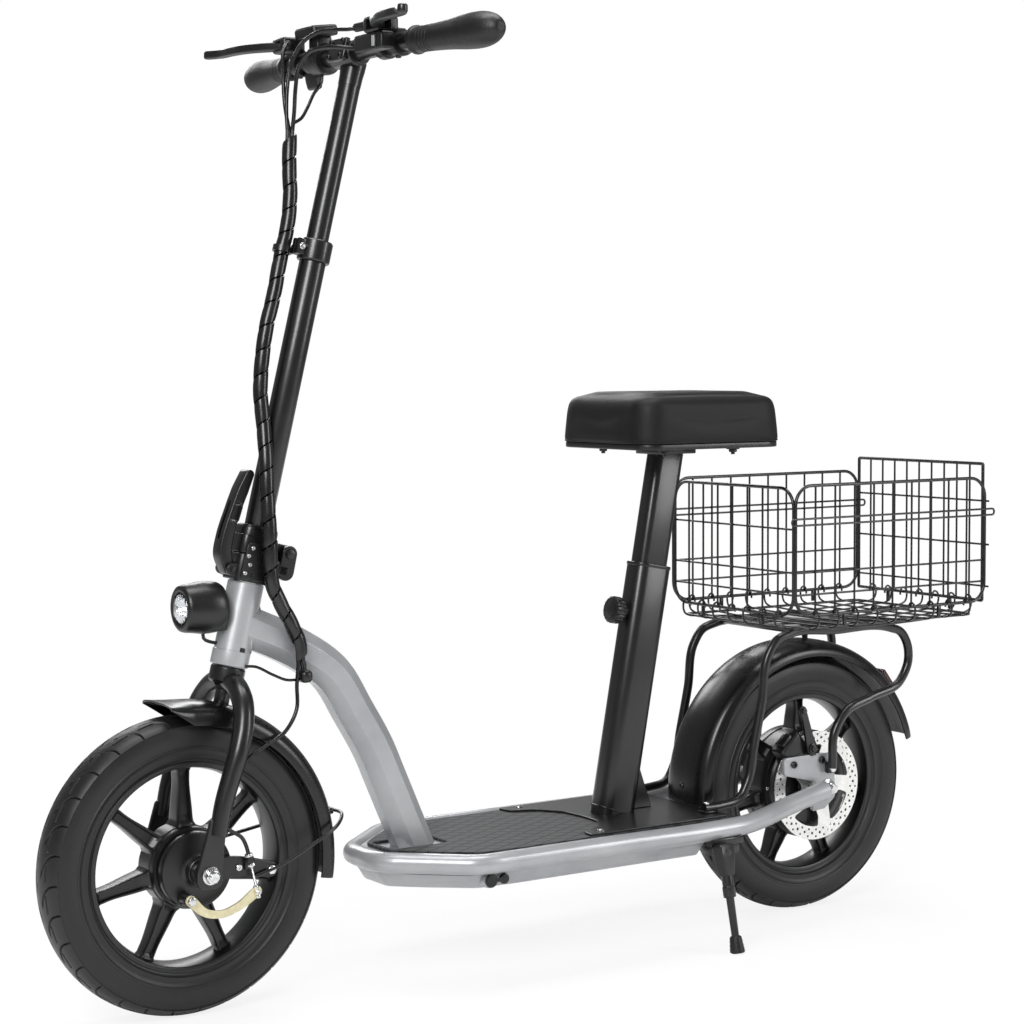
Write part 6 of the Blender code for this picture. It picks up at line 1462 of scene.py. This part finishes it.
def makeLeverBrackets():
    for side, word in sides:
        pivot = barCentre + at(-0.0305, side * 0.125, 0.021)
        body = mirrorBox(side, (-0.0405, 0.1016, 0.0112), (-0.007, 0.136, 0.0318), 0.005, 5)
        slot = mirrorBox(side, (-0.06, 0.112, 0.015), (-0.019, 0.15, 0.027), 0)
        body = carved(body, [slot])
        neck = mirrorBox(side, (-0.016, 0.119, 0.004), (0.006, 0.133, 0.018), 0.003, 4)
        start, end = adjusterEnds(side)
        lean = (end - start).normalized()
        bits = [body, barRing(side * 0.118, side * 0.134, 0.0165), neck,
            rod(start, end - lean * 0.012, 0.0038),
            ribbed(start + lean * 0.006, end - lean * 0.006, 0.0056, 12, 0.0006, edge=0.001),
            rod(end - lean * 0.008, end, 0.0044, endRadius=0.0036)]
        assemble(word + "LeverBracket", bits, "mouldedPlastic", "stem_upper", [word + "_lever_bracket"])
        screws = [rod(pivot - at(0, 0, 0.0085), pivot + at(0, 0, 0.009), 0.003),
            socketScrew(pivot + at(0, 0, 0.0088), (0, 0, 1), 0.0042, 0.002),
            socketScrew(barCentre + at(-0.003, side * 0.126, -0.0155), (0, 0, -1), 0.0036, 0.003)]
        assemble(word + "LeverBracketScrews", screws, "satinPowderCoat", "stem_upper")


leverLook = {"path": [(0, 0), (-0.014, 0.02), (-0.027, 0.045), (-0.033, 0.08), (-0.035, 0.112),
    (-0.043, 0.128)], "half": [0.008, 0.0088, 0.0072, 0.0064, 0.0062, 0.0064], "thickness": 0.0108}


def makeLevers(look):
    for side, word in sides:
        pivot = barCentre + at(-0.0305, side * 0.125, 0.021)
        outline = strip([(x, side * y) for x, y in look["path"]], look["half"])
        lever = plate(outline, look["thickness"], Matrix.Translation(pivot), [circle((0, 0), 0.0034, 24)],
            0.0026)
        node = word + "_brake_lever"
        assemble(word + "BrakeLever", [lever], "satinPowderCoat", node, [node])


def makeDisplay():
    tilt = Matrix.Translation(barCentre + at(-0.0105, 0.068, 0.0345)) @ Matrix.Rotation(radians(-7), 4, "Y")
    case = plate(oblong(0.0195, 0.0268, 0.0065, 8), 0.013, tilt, edge=0.0024)
    bezel = plate(oblong(0.018, 0.0253, 0.0055, 8), 0.0016, tilt @ raised(0.0064),
        edge=0.0005)
    neck = mirrorBox(1, (-0.015, 0.058, 0.008), (0.0085, 0.082, 0.031), 0.004, 4)
    bits = [barRing(0.055, 0.085, 0.02, 0.002), barRing(0.0575, 0.0625, 0.0206, 0.0008), neck, case, bezel]
    assemble("displayUnit", bits, "mouldedPlastic", "stem_upper", ["display_unit"])
    glass = plate(oblong(0.015, 0.0222, 0.0035, 8), 0.0008, tilt @ raised(0.0073),
        edge=0.0002)
    assemble("displayGlass", [glass], "displayGlass", "stem_upper")
    outline = strip([(0.0015, -0.013), (0.002, -0.022), (0.004, -0.031)], [0.0056, 0.005, 0.0044])
    place = standing(barCentre + at(0, 0.0995, 0))
    bits = [barRing(0.0856, 0.1, 0.0165, 0.0015), plate(outline, 0.027, place, edge=0.0016)]
    assemble("throttlePaddle", bits, "mouldedPlastic", "throttle_paddle", ["throttle_paddle"])
    screws = [socketScrew(barCentre + at(0.019, 0.07, -0.004), (1, 0, 0), 0.0034, 0.0026)]
    assemble("displayScrew", screws, "satinPowderCoat", "stem_upper")


def makeSwitch():
    body = mirrorBox(-1, (-0.0375, 0.075, -0.01), (-0.0175, 0.142, 0.0118), 0.0035, 4)
    recess = mirrorBox(-1, (-0.045, 0.1212, -0.007), (-0.0345, 0.1288, 0.008), 0)
    body = carved(body, [recess])
    bits = [body,
        mirrorBox(-1, (-0.02, 0.085, -0.009), (-0.006, 0.1, 0.009), 0.002), barRing(-0.1, -0.085, 0.0165)]
    ring = rectangle((-0.0054, -0.009), (0.0054, 0.01), 0.002)
    hole = rectangle((-0.0037, -0.0069), (0.0037, 0.0079), 0.001)
    turn = Matrix.Translation(barCentre + at(-0.0379, -0.125, 0)) @ Matrix.Rotation(radians(90), 4, "Z")
    bits.append(plate(ring, 0.0014, turn @ upright, [hole], 0.0004))
    assemble("switchBox", bits, "mouldedPlastic", "stem_upper", ["switch_box"])
    rocker = mirrorBox(-1, (-0.0395, 0.1217, -0.0062), (-0.0357, 0.1283, 0.0072), 0.0009)
    assemble("switchRocker", [rocker], "greyRocker", "switch_rocker", ["switch_rocker"])


makeHandlebar(barLook)
makeGrips(gripLook)
makeLeverBrackets()
makeLevers(leverLook)
makeDisplay()
makeSwitch()
print("handlebar made")


# Cables and the spiral wrap round them. Each is cut where it passes from one moving body to the next.

cableLook = {"brake": 0.0025, "loom": 0.0026, "wrapRadius": 0.0095, "wrapWall": 0.0012, "pitch": 0.031,
    "band": 0.0284, "glandTop": 0.424}
stemUp = steer.to_3x3() @ at(0, 0, 1)


def heightUp(place):
    return (place - head).dot(stemUp)


def onStem(height):
    return origin + head + stemUp * height


# body above, body below, where the bend starts and ends up the stem, and where the piece is cut
stretches = [("stem_upper", "stem_lower", 0.715, 0.495, 0.475), ("stem_lower", "fork", 0.175, 0.052, 0.0385),
    ("fork", "frame", 0.025, -0.026, -9)]


def cableInWrap(rearOffset, sideOffset):
    count = ceil(wrapLengths[-1] / 0.006)
    route = []
    for index in range(count + 1):
        centre, rearward, side, _ = wrapAt(wrapLengths[-1] * index / count)
        route.append(centre + rearward * rearOffset + side * sideOffset)
    return route


def bendPiece(name, items, node, above, start, end):
    bit = assemble(name, items, "cableJacket", above, [node])
    whole = bit.matrix_world.copy()
    bit.parent = None
    bit.matrix_world = whole
    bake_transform(bit)


def stemPiece(name, items, node, stretch):
    above, below, start, end, _ = stretch
    bendPiece(name, items, node, above, onStem(start), onStem(end))


def cutPieces(route, middle):
    # the number, part and stretch of each piece, with a shared point at each cut
    pieces = []
    begin = 0
    for number, stretch in enumerate(stretches):
        end = begin
        while end < len(route) - 1 and heightUp(middle[end]) > stretch[4]:
            end += 1
        pieces.append((number, route[begin:end + 1], stretch))
        begin = end
    return pieces


def makeWrap(look):
    per = 32
    total = wrapLengths[-1]
    count = int((total - look["band"]) / look["pitch"] * per)
    rows = []
    for index in range(count + 1):
        angle = 2 * pi * index / per
        row = []
        for share in [k / 6 for k in range(7)]:
            centre, rearward, side, _ = wrapAt(look["pitch"] * index / per + share * look["band"])
            crown = 1 - 0.05 * (2 * share - 1) ** 4
            out = rearward * cos(angle) + side * sin(angle)
            row.append((centre + out * look["wrapRadius"] * crown,
                centre + out * (look["wrapRadius"] * crown - look["wrapWall"])))
        rows.append(row)
    for number, part, stretch in cutPieces(rows, [row[3][0] for row in rows]):
        rings = [[pair[0] for pair in row] + [pair[1] for pair in row[::-1]] for row in part]
        stemPiece("spiralWrap" + str(number), [loft(rings)], "spiral_wrap", stretch)


def makeCable(name, node, radius, before, offsets, after, extra=()):
    inside = cableInWrap(*offsets)
    route = evenRoute([*before, inside[0]]) + inside[1:] + evenRoute([inside[-1], *after])[1:]
    for number, part, stretch in cutPieces(route, route):
        items = [pipe(part, radius, 16)]
        if number == 0:
            items += [pipe(line, width, 16) for line, width in extra]
        stemPiece(name + str(number), items, node, stretch)


def fromBar(points):
    return [barCentre + Vector(point) for point in points]


def intoGland(end, top):
    return [(end.x + 0.0015, end.y, top + 0.0065), (end.x + 0.0015, end.y, top - 0.002)]


def makeCables(look):
    first, last = adjusterEnds(-1)
    leaving = (last - first).normalized()
    upper = [last - leaving * 0.002, last + leaving * 0.01, last + at(-0.005, 0.034, 0.002)]
    upper += fromBar([(-0.0475, 0, 0.0239), (-0.0565, 0.025, 0.0109), (-0.0645, 0.038, -0.0141),
        (-0.069, 0.04, -0.0441), (-0.071, 0.039, -0.0741)])
    end = cableInWrap(-0.0034, 0)[-1]
    below = [(0.1455, -0.0375, 0.405), (0.143, -0.041, 0.375), (0.125, -0.046, 0.35), (0.09, -0.052, 0.333),
        (0.064, -0.056, 0.32), (0.045, -0.0575, 0.298), (0.035, -0.0575, 0.27), (0.034, -0.0575, 0.24),
        cableStop - pull * 0.022 + at(-0.003, 0, 0.002), cableStop - pull * 0.012, cableStop - pull * 0.002]
    makeCable("frontBrakeCable", "front_brake_cable", look["brake"], upper, (-0.0034, 0), below[:1])
    bendPiece("frontBrakeCableTail", [pipe(evenRoute([end, *below])[6:], look["brake"], 16)],
        "front_brake_cable", "frame", origin + Vector(below[0]), origin + Vector(below[5]))
    first, last = adjusterEnds(1)
    leaving = (last - first).normalized()
    upper = [last - leaving * 0.002, last + leaving * 0.012]
    upper += fromBar([(-0.0575, 0.072, 0.0039), (-0.0625, 0.062, -0.0191), (-0.0665, 0.054, -0.0491),
        (-0.0675, 0.047, -0.0741)])
    gland = intoGland(cableInWrap(0.002, -0.0032)[-1], look["glandTop"])
    makeCable("rearBrakeCable", "rear_brake_cable", look["brake"], upper, (0.002, -0.0032), gland)
    face = barCentre + at(-0.029, -0.0753, -0.002)
    upper = [face, face + at(0, 0.008, 0)]
    upper += fromBar([(-0.0435, -0.04, 0.0019), (-0.0505, -0.015, 0.0029), (-0.0565, 0.006, -0.0011),
        (-0.062, 0.022, -0.0191), (-0.063, 0.029, -0.0441), (-0.064, 0.0315, -0.0741)])
    inside = cableInWrap(0.002, 0.0032)
    lead = fromBar([(0, 0.072, -0.019), (-0.001, 0.072, -0.028), (-0.0145, 0.068, -0.0441),
        (-0.0325, 0.055, -0.0661), (-0.0495, 0.0415, -0.0811)]) + [inside[0] + at(0, 0, 0.01)]
    gland = intoGland(inside[-1], look["glandTop"])
    makeCable("wiringLoom", "wiring_loom", look["loom"], upper, (0.002, 0.0032), gland,
        [(evenRoute(lead), look["loom"] * 0.85)])


makeWrap(cableLook)
makeCables(cableLook)
print("cables made")


# Rear end: dropouts, axle, caliper

caliperPivot = spin["caliper_arm_pull"] - origin
caliperBolts = [(-0.0648, 0.0403), (-0.0119, 0.0423)]


def makeDropouts():
    corners = [(-0.083, 0.0503, 0.006), (0.004, 0.052, 0.003), (0.0135, 0.022, 0.01), (0.016, -0.014, 0.012),
        (-0.0047, -0.03, 0.003), (-0.0277, -0.032, 0.003), (-0.0278, 0.006, 0.004), (-0.026, 0.0115, 0.004),
        (-0.081, 0.0254, 0.004)]
    for side, word in sides:
        place = standing(rear + at(0, side * 0.0712, 0))
        item = plate(rounded(corners, 8), 0.006, place, [circle((0, 0), 0.0063, 32)], 0.0009)
        if side < 0:
            notch = rod(caliperPivot + at(0, -0.01, 0), caliperPivot + at(0, 0.01, 0), 0.0112)
            item = carved(item, [notch])
        assemble(word + "Dropout", [item], "silverLacquer", "frame", [word + "_dropout"])


def makeCaliper():
    turn = Matrix.Translation(rear) @ Matrix.Rotation(-radians(131.5), 4, "Y")
    body = block((0.06, -0.0662, -0.021), (0.096, -0.0395, 0.022), 0.004, turn, 4)
    slot = block((0.04, -0.0522, -0.05), (0.082, -0.0478, 0.05), 0, turn)
    bits = [carved(body, [slot])]
    bracketY = -0.0661
    bits.append(plate(strip([caliperBolts[0], (-0.04, 0.0455), caliperBolts[1]], [0.008, 0.008, 0.007]),
        0.0036, standing(rear + at(0, bracketY, 0)), edge=0.0008))
    start = turn @ at(0.078, -0.0395, 0)
    bits += [rod(start, start + at(0, 0.0022, 0), 0.0125),
        rod(start, start + at(0, 0.0032, 0), 0.009),
        block((0.094, -0.062, -0.01), (0.101, -0.044, 0.012), 0.002, turn)]
    assemble("brakeCaliper", bits, "paintedCasting", "frame", ["brake_caliper"])
    pivot = caliperPivot
    screws = []
    for x, z in caliperBolts:
        place = rear + at(x, 0, z)
        screws += [rod((place.x, bracketY, place.z), (place.x, -0.0755, place.z), 0.003),
            socketScrew((place.x, -0.0745, place.z), (0, -1, 0), 0.0052, 0.0036)]
    screws.append(rod((pivot.x, -0.0642, pivot.z), (pivot.x, pivot.y - 0.0045, pivot.z), 0.003))
    assemble("caliperBolts", screws, "satinPowderCoat", "frame")
    arm = plate(strip([(0, 0), (-0.006, 0.018), (-0.012, 0.04), (-0.018, 0.058)],
        [0.0095, 0.007, 0.0055, 0.0055]), 0.005, standing(pivot),
        [circle((0, 0), 0.0034, 24), circle((-0.0178, 0.0565), 0.0022, 16)], 0.0008)
    bits = [arm, rod(pivot + at(0, -0.0022, 0), pivot + at(0, -0.0048, 0), 0.0075)]
    assemble("caliperArm", bits, "satinPowderCoat", "caliper_arm", ["caliper_arm"])
    nuts = [hexHead(pivot + at(0, -0.0046, 0), pivot + at(0, -0.0085, 0), 0.0056),
        hexHead(pivot + at(-0.0178, -0.0022, 0.0565), pivot + at(-0.0178, -0.0062, 0.0565), 0.0046)]
    assemble("caliperArmNuts", nuts, "satinPowderCoat", "caliper_arm")


def makeRearAxle():
    outside, inside = 0.0745, 0.0679
    bits = [threaded(around(rear, -0.091), around(rear, 0.091), 0.006),
        rod(around(rear, -0.026), around(rear, 0.026), 0.07)]
    for side, start in ((-1, 0.0525), (1, 0.0403)):
        bits += [hexHead(around(rear, side * start), around(rear, side * inside), 0.0105),
            rod(around(rear, side * outside), around(rear, side * (outside + 0.0018)), 0.013, 0.0003),
            hexHead(around(rear, side * (outside + 0.0016)), around(rear, side * (outside + 0.01)), 0.0104,
                bore=0.0062)]
    assemble("rearAxle", bits, "brightPlating", "frame", ["rear_axle"])


makeDropouts()
makeCaliper()
makeRearAxle()


# Rack, rear mudguard and tail light

rackLook = {"radius": 0.0065, "bar": 0.005, "y": 0.085, "clearance": 0.0003, "basketWires": 0.4292}


def makeRack(look):
    height = coverTop + look["clearance"] + look["radius"]
    line = [(-0.1729, 0.006), (-0.1584, 0.0287), (-0.1476, 0.0767), (-0.133, 0.1406), (-0.122, 0.2041),
        (-0.107, 0.224), (-0.0814, 0.2326), (0, 0.2322), (0.1114, 0.2279), (0.132, 0.2207), (0.1455, 0.2017),
        (0.1478, 0.1762), (0.1319, 0.1476), (0.0725, 0.1273), (0.0238, 0.1094), (0.0046, 0.0848), (0, 0.0302)]
    bits = []
    for side in (-1, 1):
        points = [(0.762, height), (0.792, height)] + [(rear.x + x, rear.z + z) for x, z in line]
        route = evenRoute([(x, side * look["y"], z) for x, z in points], 0.003)
        bits.append(pipe(route, look["radius"], 24))
        low, high = sorted((side * 0.075, side * 0.084))
        bits += [block((rear.x - 0.0065, low, rear.z + 0.0225), (rear.x + 0.0065, high, rear.z + 0.039),
                0.002),
            block((0.757, side * look["y"] - 0.0095, coverTop + 0.0002),
                (0.777, side * look["y"] + 0.0095, coverTop + 0.0034), 0.0008)]
    level = look["basketWires"] - look["clearance"] - look["bar"]
    for x in (-0.07, 0.02, 0.1):
        bits.append(rod((rear.x + x, -look["y"], level), (rear.x + x, look["y"], level), look["bar"]))
    bits.append(rod((rear.x + 0.02, 0, level), (rear.x + 0.02, 0, rear.z + 0.2125), 0.0045))
    assemble("rearRack", bits, "satinPowderCoat", "frame", ["rear_rack"])
    screws = []
    for side in (-1, 1):
        screws += [hexHead((rear.x, side * 0.0838, rear.z + 0.0305), (rear.x, side * 0.0885, rear.z + 0.0305),
                0.0062),
            socketScrew((0.767, side * look["y"], coverTop + 0.0125), (0, 0, 1), 0.0042, 0.0024)]
    assemble("rackScrews", screws, "brightPlating", "frame")


def makeRearGuard():
    section = [(0.0225, 0.0458), (0.015, 0.045), (0.0095, 0.0425), (0.0055, 0.0375), (0.0025, 0.029),
        (0.0008, 0.019), (0.0001, 0.0095), (0, 0)]
    shell = makeGuard(rear, 0.2118, 183.3, 168.6, {**guardLook, "section": section}, rearShape, 210)
    assemble("rearMudguard", [shell], "mudguardPlastic", "frame", ["rear_fender"])
    rivets = []
    for angle in (84.5, 176):
        place = around(rear, 0, angle, 0.2116)
        rivets.append(socketScrew(place, place - rear, 0.0042, 0.002))
    assemble("rearMudguardScrews", rivets, "paintedCasting", "frame")
    turn = Matrix.Translation(rear) @ Matrix.Rotation(-radians(38), 4, "Y")
    base = block((0.2121, -0.0195, -0.023), (0.218, 0.0195, 0.023), 0.0025, turn, 4)
    assemble("tailLightBase", [base], "mouldedPlastic", "frame")
    lens = block((0.217, -0.018, -0.0215), (0.2263, 0.018, 0.0215), 0.0045, turn, 5)
    assemble("tailLightLens", [lens], "redLens", "frame", ["tail_light"])


makeRack(rackLook)
makeRearGuard()
print("rear end made")


# Basket: straight cold-drawn wires, welded where they cross, all in satin black

basketLook = {"front": 0.882, "rear": 1.249, "half": 0.139, "floor": 0.4312, "bottom": 0.449, "top": 0.6365,
    "frontTop": 0.633, "rearTop": 0.657, "wire": 0.0015, "rim": 0.0024, "corner": 0.028,
    "tabs": (0.4334, 0.4505)}


def wirePanel(place, low, high, corner, columns, rows, past, offset, look):
    # a rim, upright wires at even steps, and level wires laid against them
    rim = [place(x, y) for x, y in rectangle(low, high, corner, 8)]
    bits = [pipe(rim, look["rim"], 16, closed=True)]
    for index in range(1, columns):
        x = low[0] + (high[0] - low[0]) * index / columns
        bits.append(pipe([place(x, low[1]), place(x, high[1])], look["wire"], 12))
    for z in rows:
        ends = [place(low[0] - past, z, offset), place(high[0] + past, z, offset)]
        bits.append(pipe(ends, look["wire"], 12))
    return bits


def makeSidePanel(side, name, node, look):
    def place(x, z, offset=0):
        return at(x, side * (look["half"] + offset), z)

    low, high = (look["front"], look["bottom"] + 0.0022), (look["rear"], look["top"] - 0.0022)
    tabFoot, tabTop = look["tabs"]
    bits = wirePanel(place, low, high, look["corner"], 10, (0.4805, 0.512), 0, -0.0022, look)
    latch = rectangle((look["front"] - 0.008, 0.579), (look["rear"] + 0.0175, 0.588), 0.0044, 6)
    bits.append(pipe([place(x, z, 0.002) for x, z in latch], look["wire"], 12, closed=True))
    for x in (0.97375, 1.15725):
        y = side * look["half"]
        bits.append(block((x - 0.003, y - 0.0018, tabFoot), (x + 0.003, y + 0.0018, tabTop), 0.0008))
    assemble(name, bits, "satinPowderCoat", "frame", [node])


def makeEndPanel(x, top, name, node, columns, rows, corner, past, look):
    def place(y, z, offset=0):
        return at(x + offset, y, z)

    half = look["half"] - 0.004
    low, high = (-half, look["bottom"] + 0.0022), (half, top - 0.0022)
    bits = wirePanel(place, low, high, corner, columns, rows, past, 0.0024, look)
    tabFoot, tabTop = look["tabs"]
    for y in (-half / 2, half / 2):
        bits.append(block((x - 0.0016, y - 0.003, tabFoot), (x + 0.0016, y + 0.003, tabTop), 0.0007))
    assemble(name, bits, "satinPowderCoat", "frame", [node])


def makeBasketFloor(look):
    z, half = look["floor"], look["half"]
    middle, reach = (look["front"] + look["rear"]) / 2, (look["rear"] - look["front"]) / 2
    low, high = (look["front"] + 0.012, 0.012 - half), (look["rear"] - 0.012, half - 0.012)
    bits = [pipe([at(x, y, z) for x, y in rectangle(low, high, 0.012, 6)], look["rim"] - 0.0004, 16,
        closed=True)]
    hook = [(-0.018, 0), (-0.004, 0.0006), (0.0056, 0.0052), (0.0086, 0.0145), (0.0062, 0.0235),
        (0.0, 0.0262), (-0.0046, 0.0215), (-0.005, 0.015)]
    for index in range(1, 10):
        x = look["front"] + 2 * reach * index / 10
        ends = [(half + out, z + up) for out, up in hook]
        route = [(x, -y, height) for y, height in reversed(ends)] + [(x, y, height) for y, height in ends]
        bits.append(pipe(evenRoute(route, 0.0025), look["wire"], 12))
    for index in range(1, 8):
        y = half * (index / 4 - 1)
        ends = [(reach + out, z + up - (0.0006 if up == 0 else 0)) for out, up in hook]
        route = [(middle - x, y, height) for x, height in reversed(ends)]
        route += [(middle + x, y, height) for x, height in ends]
        bits.append(pipe(evenRoute(route, 0.0025), look["wire"], 12))
    assemble("basketFloor", bits, "satinPowderCoat", "frame", ["basket_floor"])


makeSidePanel(-1, "basketLeftPanel", "basket_left_panel", basketLook)
makeSidePanel(1, "basketRightPanel", "basket_right_panel", basketLook)
makeEndPanel(basketLook["front"], basketLook["frontTop"], "basketFrontPanel", "basket_front_panel", 8,
    (0.4805, 0.512, 0.573), basketLook["corner"], 0, basketLook)
makeEndPanel(basketLook["rear"], basketLook["rearTop"], "basketRearPanel", "basket_rear_panel", 10,
    (0.4727, 0.535, 0.5997), 0.002, 0.01, basketLook)
makeBasketFloor(basketLook)
print("basket made")


# Kickstand

standLook = {"pivot": (0.748, -0.146, 0.137), "foot": (0.752, -0.172, 0)}


def makeKickstand(look):
    pivot, foot = Vector(look["pivot"]), Vector(look["foot"])
    down = (foot - pivot).normalized()
    turn, length = turnTo(pivot, foot)
    profile = [(0, 0.022), (0.0076, 0.022), (0.008, 0.023), (0.008, 0.048), (0.0088, 0.049), (0.0088, 0.062),
        (0.0084, 0.063), (0.006, 0.0636), (0.0056, 0.065), (0.0052, 0.118), (0, 0.118)]
    taper = [[(x, y, t) for x, y in oblong(w, d, 0.003, 5)] for t, w, d in ((-0.01, 0.011, 0.0075),
        (-0.007, 0.014, 0.0088), (0.006, 0.0142, 0.009), (0.03, 0.0092, 0.0088), (0.033, 0.0084, 0.0084))]
    bits = [turned(profile, 48, turn), loft(taper, matrix=turn), rod(pivot, pivot + at(0, 0.037, 0), 0.004)]
    assemble("kickstandLeg", bits, "paintedCasting", "kickstand", ["kickstand_leg"])
    rings = []
    for step in range(14):
        share = step / 13
        radius = 0.008 + 0.0026 * share + (0.0003 if step % 3 == 1 and step > 3 else 0)
        radius -= 0.0016 if step in (0, 13) else 0
        centre = pivot + down * (0.116 + (length - 0.116) * share)
        spread = turn.to_3x3()
        ring = []
        for k in range(40):
            place = centre + spread @ at(radius * cos(2 * pi * k / 40), radius * sin(2 * pi * k / 40), 0)
            place.z = max(place.z, 0.0002)
            ring.append(place)
        rings.append(ring)
    assemble("kickstandShoe", [loft(rings)], "gripRubber", "kickstand")
    bolt = [hexHead(pivot - at(0, 0.006, 0), pivot - at(0, 0.0105, 0), 0.0066)]
    assemble("kickstandBolt", bolt, "satinPowderCoat", "kickstand")


makeKickstand(standLook)
print("kickstand made")


# Seat cushion: foam under a drawn vinyl cover, wider at its lip than at the top

cushionLook = {"corner": 0.036, "lip": 0.0016, "swell": 0.005, "grid": 0.004, "pressure": 4.0}


def cushionLevels(look, shape, bottom, shrink):
    height = look["top"] - bottom - shrink
    levels = [(0.0012, 0), (0, 0.04), (0.0004, 0.14), (0.0015, 0.35), (0.0028, 0.58), (0.004, 0.72),
        (0.0058, 0.83), (0.0088, 0.905), (0.0134, 0.952), (0.02, 0.978), (0.03, 0.99), (0.045, 0.995),
        (0.06, 0.998), (0.075, 1)]
    rings = []
    for inset, level in levels:
        half = (look["length"] / 2 - inset - shrink, look["width"] / 2 - inset - shrink)
        outline = oblong(*half, max(shape["corner"] - inset * 0.5, 0.01), 16)
        rings.append([(look["x"] + x, y, bottom + height * level) for x, y in outline])
    return rings


def swollen(item, shape, bottom):
    # the foam pushes the cover outward, and each point moves no further than the swell
    grid = item.modifiers.new("grid", "REMESH")
    grid.mode = "VOXEL"
    grid.voxel_size = shape["grid"]
    bpy.context.view_layer.update()
    item.data = bakedMesh(item)
    item.modifiers.clear()
    start = [vertex.co.copy() for vertex in item.data.vertices]
    resting = item.vertex_groups.new(name="resting")
    resting.add([index for index, place in enumerate(start) if place.z < bottom + 0.004], 1.0, "REPLACE")
    cloth = item.modifiers.new("cloth", "CLOTH")
    cloth.settings.vertex_group_mass = "resting"
    cloth.settings.use_pressure = True
    cloth.settings.uniform_pressure_force = shape["pressure"]
    cloth.settings.effector_weights.gravity = 0
    for number in range(1, 21):
        bpy.context.scene.frame_set(number)
    moved = bakedMesh(item)
    item.modifiers.clear()
    steps = [after.co - before for after, before in zip(moved.vertices, start)]
    for number in range(30):  # stretched vinyl spreads the swell evenly, without creases
        sums = [step.copy() for step in steps]
        shares = [1] * len(steps)
        for edge in item.data.edges:
            first, second = edge.vertices
            sums[first] += steps[second]
            sums[second] += steps[first]
            shares[first] += 1
            shares[second] += 1
        steps = [total / share for total, share in zip(sums, shares)]
    outward = [vertex.normal.copy() for vertex in item.data.vertices]
    for vertex, step, before, normal in zip(item.data.vertices, steps, start, outward):
        step -= normal * min(0, step.dot(normal))  # the firm foam behind lets no part of the cover sink in
        vertex.co = before + step * min(1, shape["swell"] / max(step.length, 0.000001))
    bpy.data.meshes.remove(moved)
    bpy.context.scene.frame_set(1)
    smooth = item.modifiers.new("smooth", "SUBSURF")
    smooth.levels = smooth.render_levels = 1
    return item


def makeCushion(look, shape, bottom):
    foam = loft(cushionLevels(look, shape, bottom, 0.0035))
    foam = swollen(foam, shape, bottom)
    cushion = assemble("seatCushion", [foam], "grainedVinyl", "seat", ["seat_cushion"], 60)
    half = (look["length"] / 2 - 0.0048, look["width"] / 2 - 0.0048)
    edge = [(look["x"] + x, y, bottom + shape["lip"]) for x, y in oblong(*half, shape["corner"], 16)]
    assemble("seatCushionLip", [pipe(edge, shape["lip"], 16, closed=True)], "grainedVinyl", "seat")


makeCushion(seatLook, cushionLook, cushionBottom)
print("cushion made")
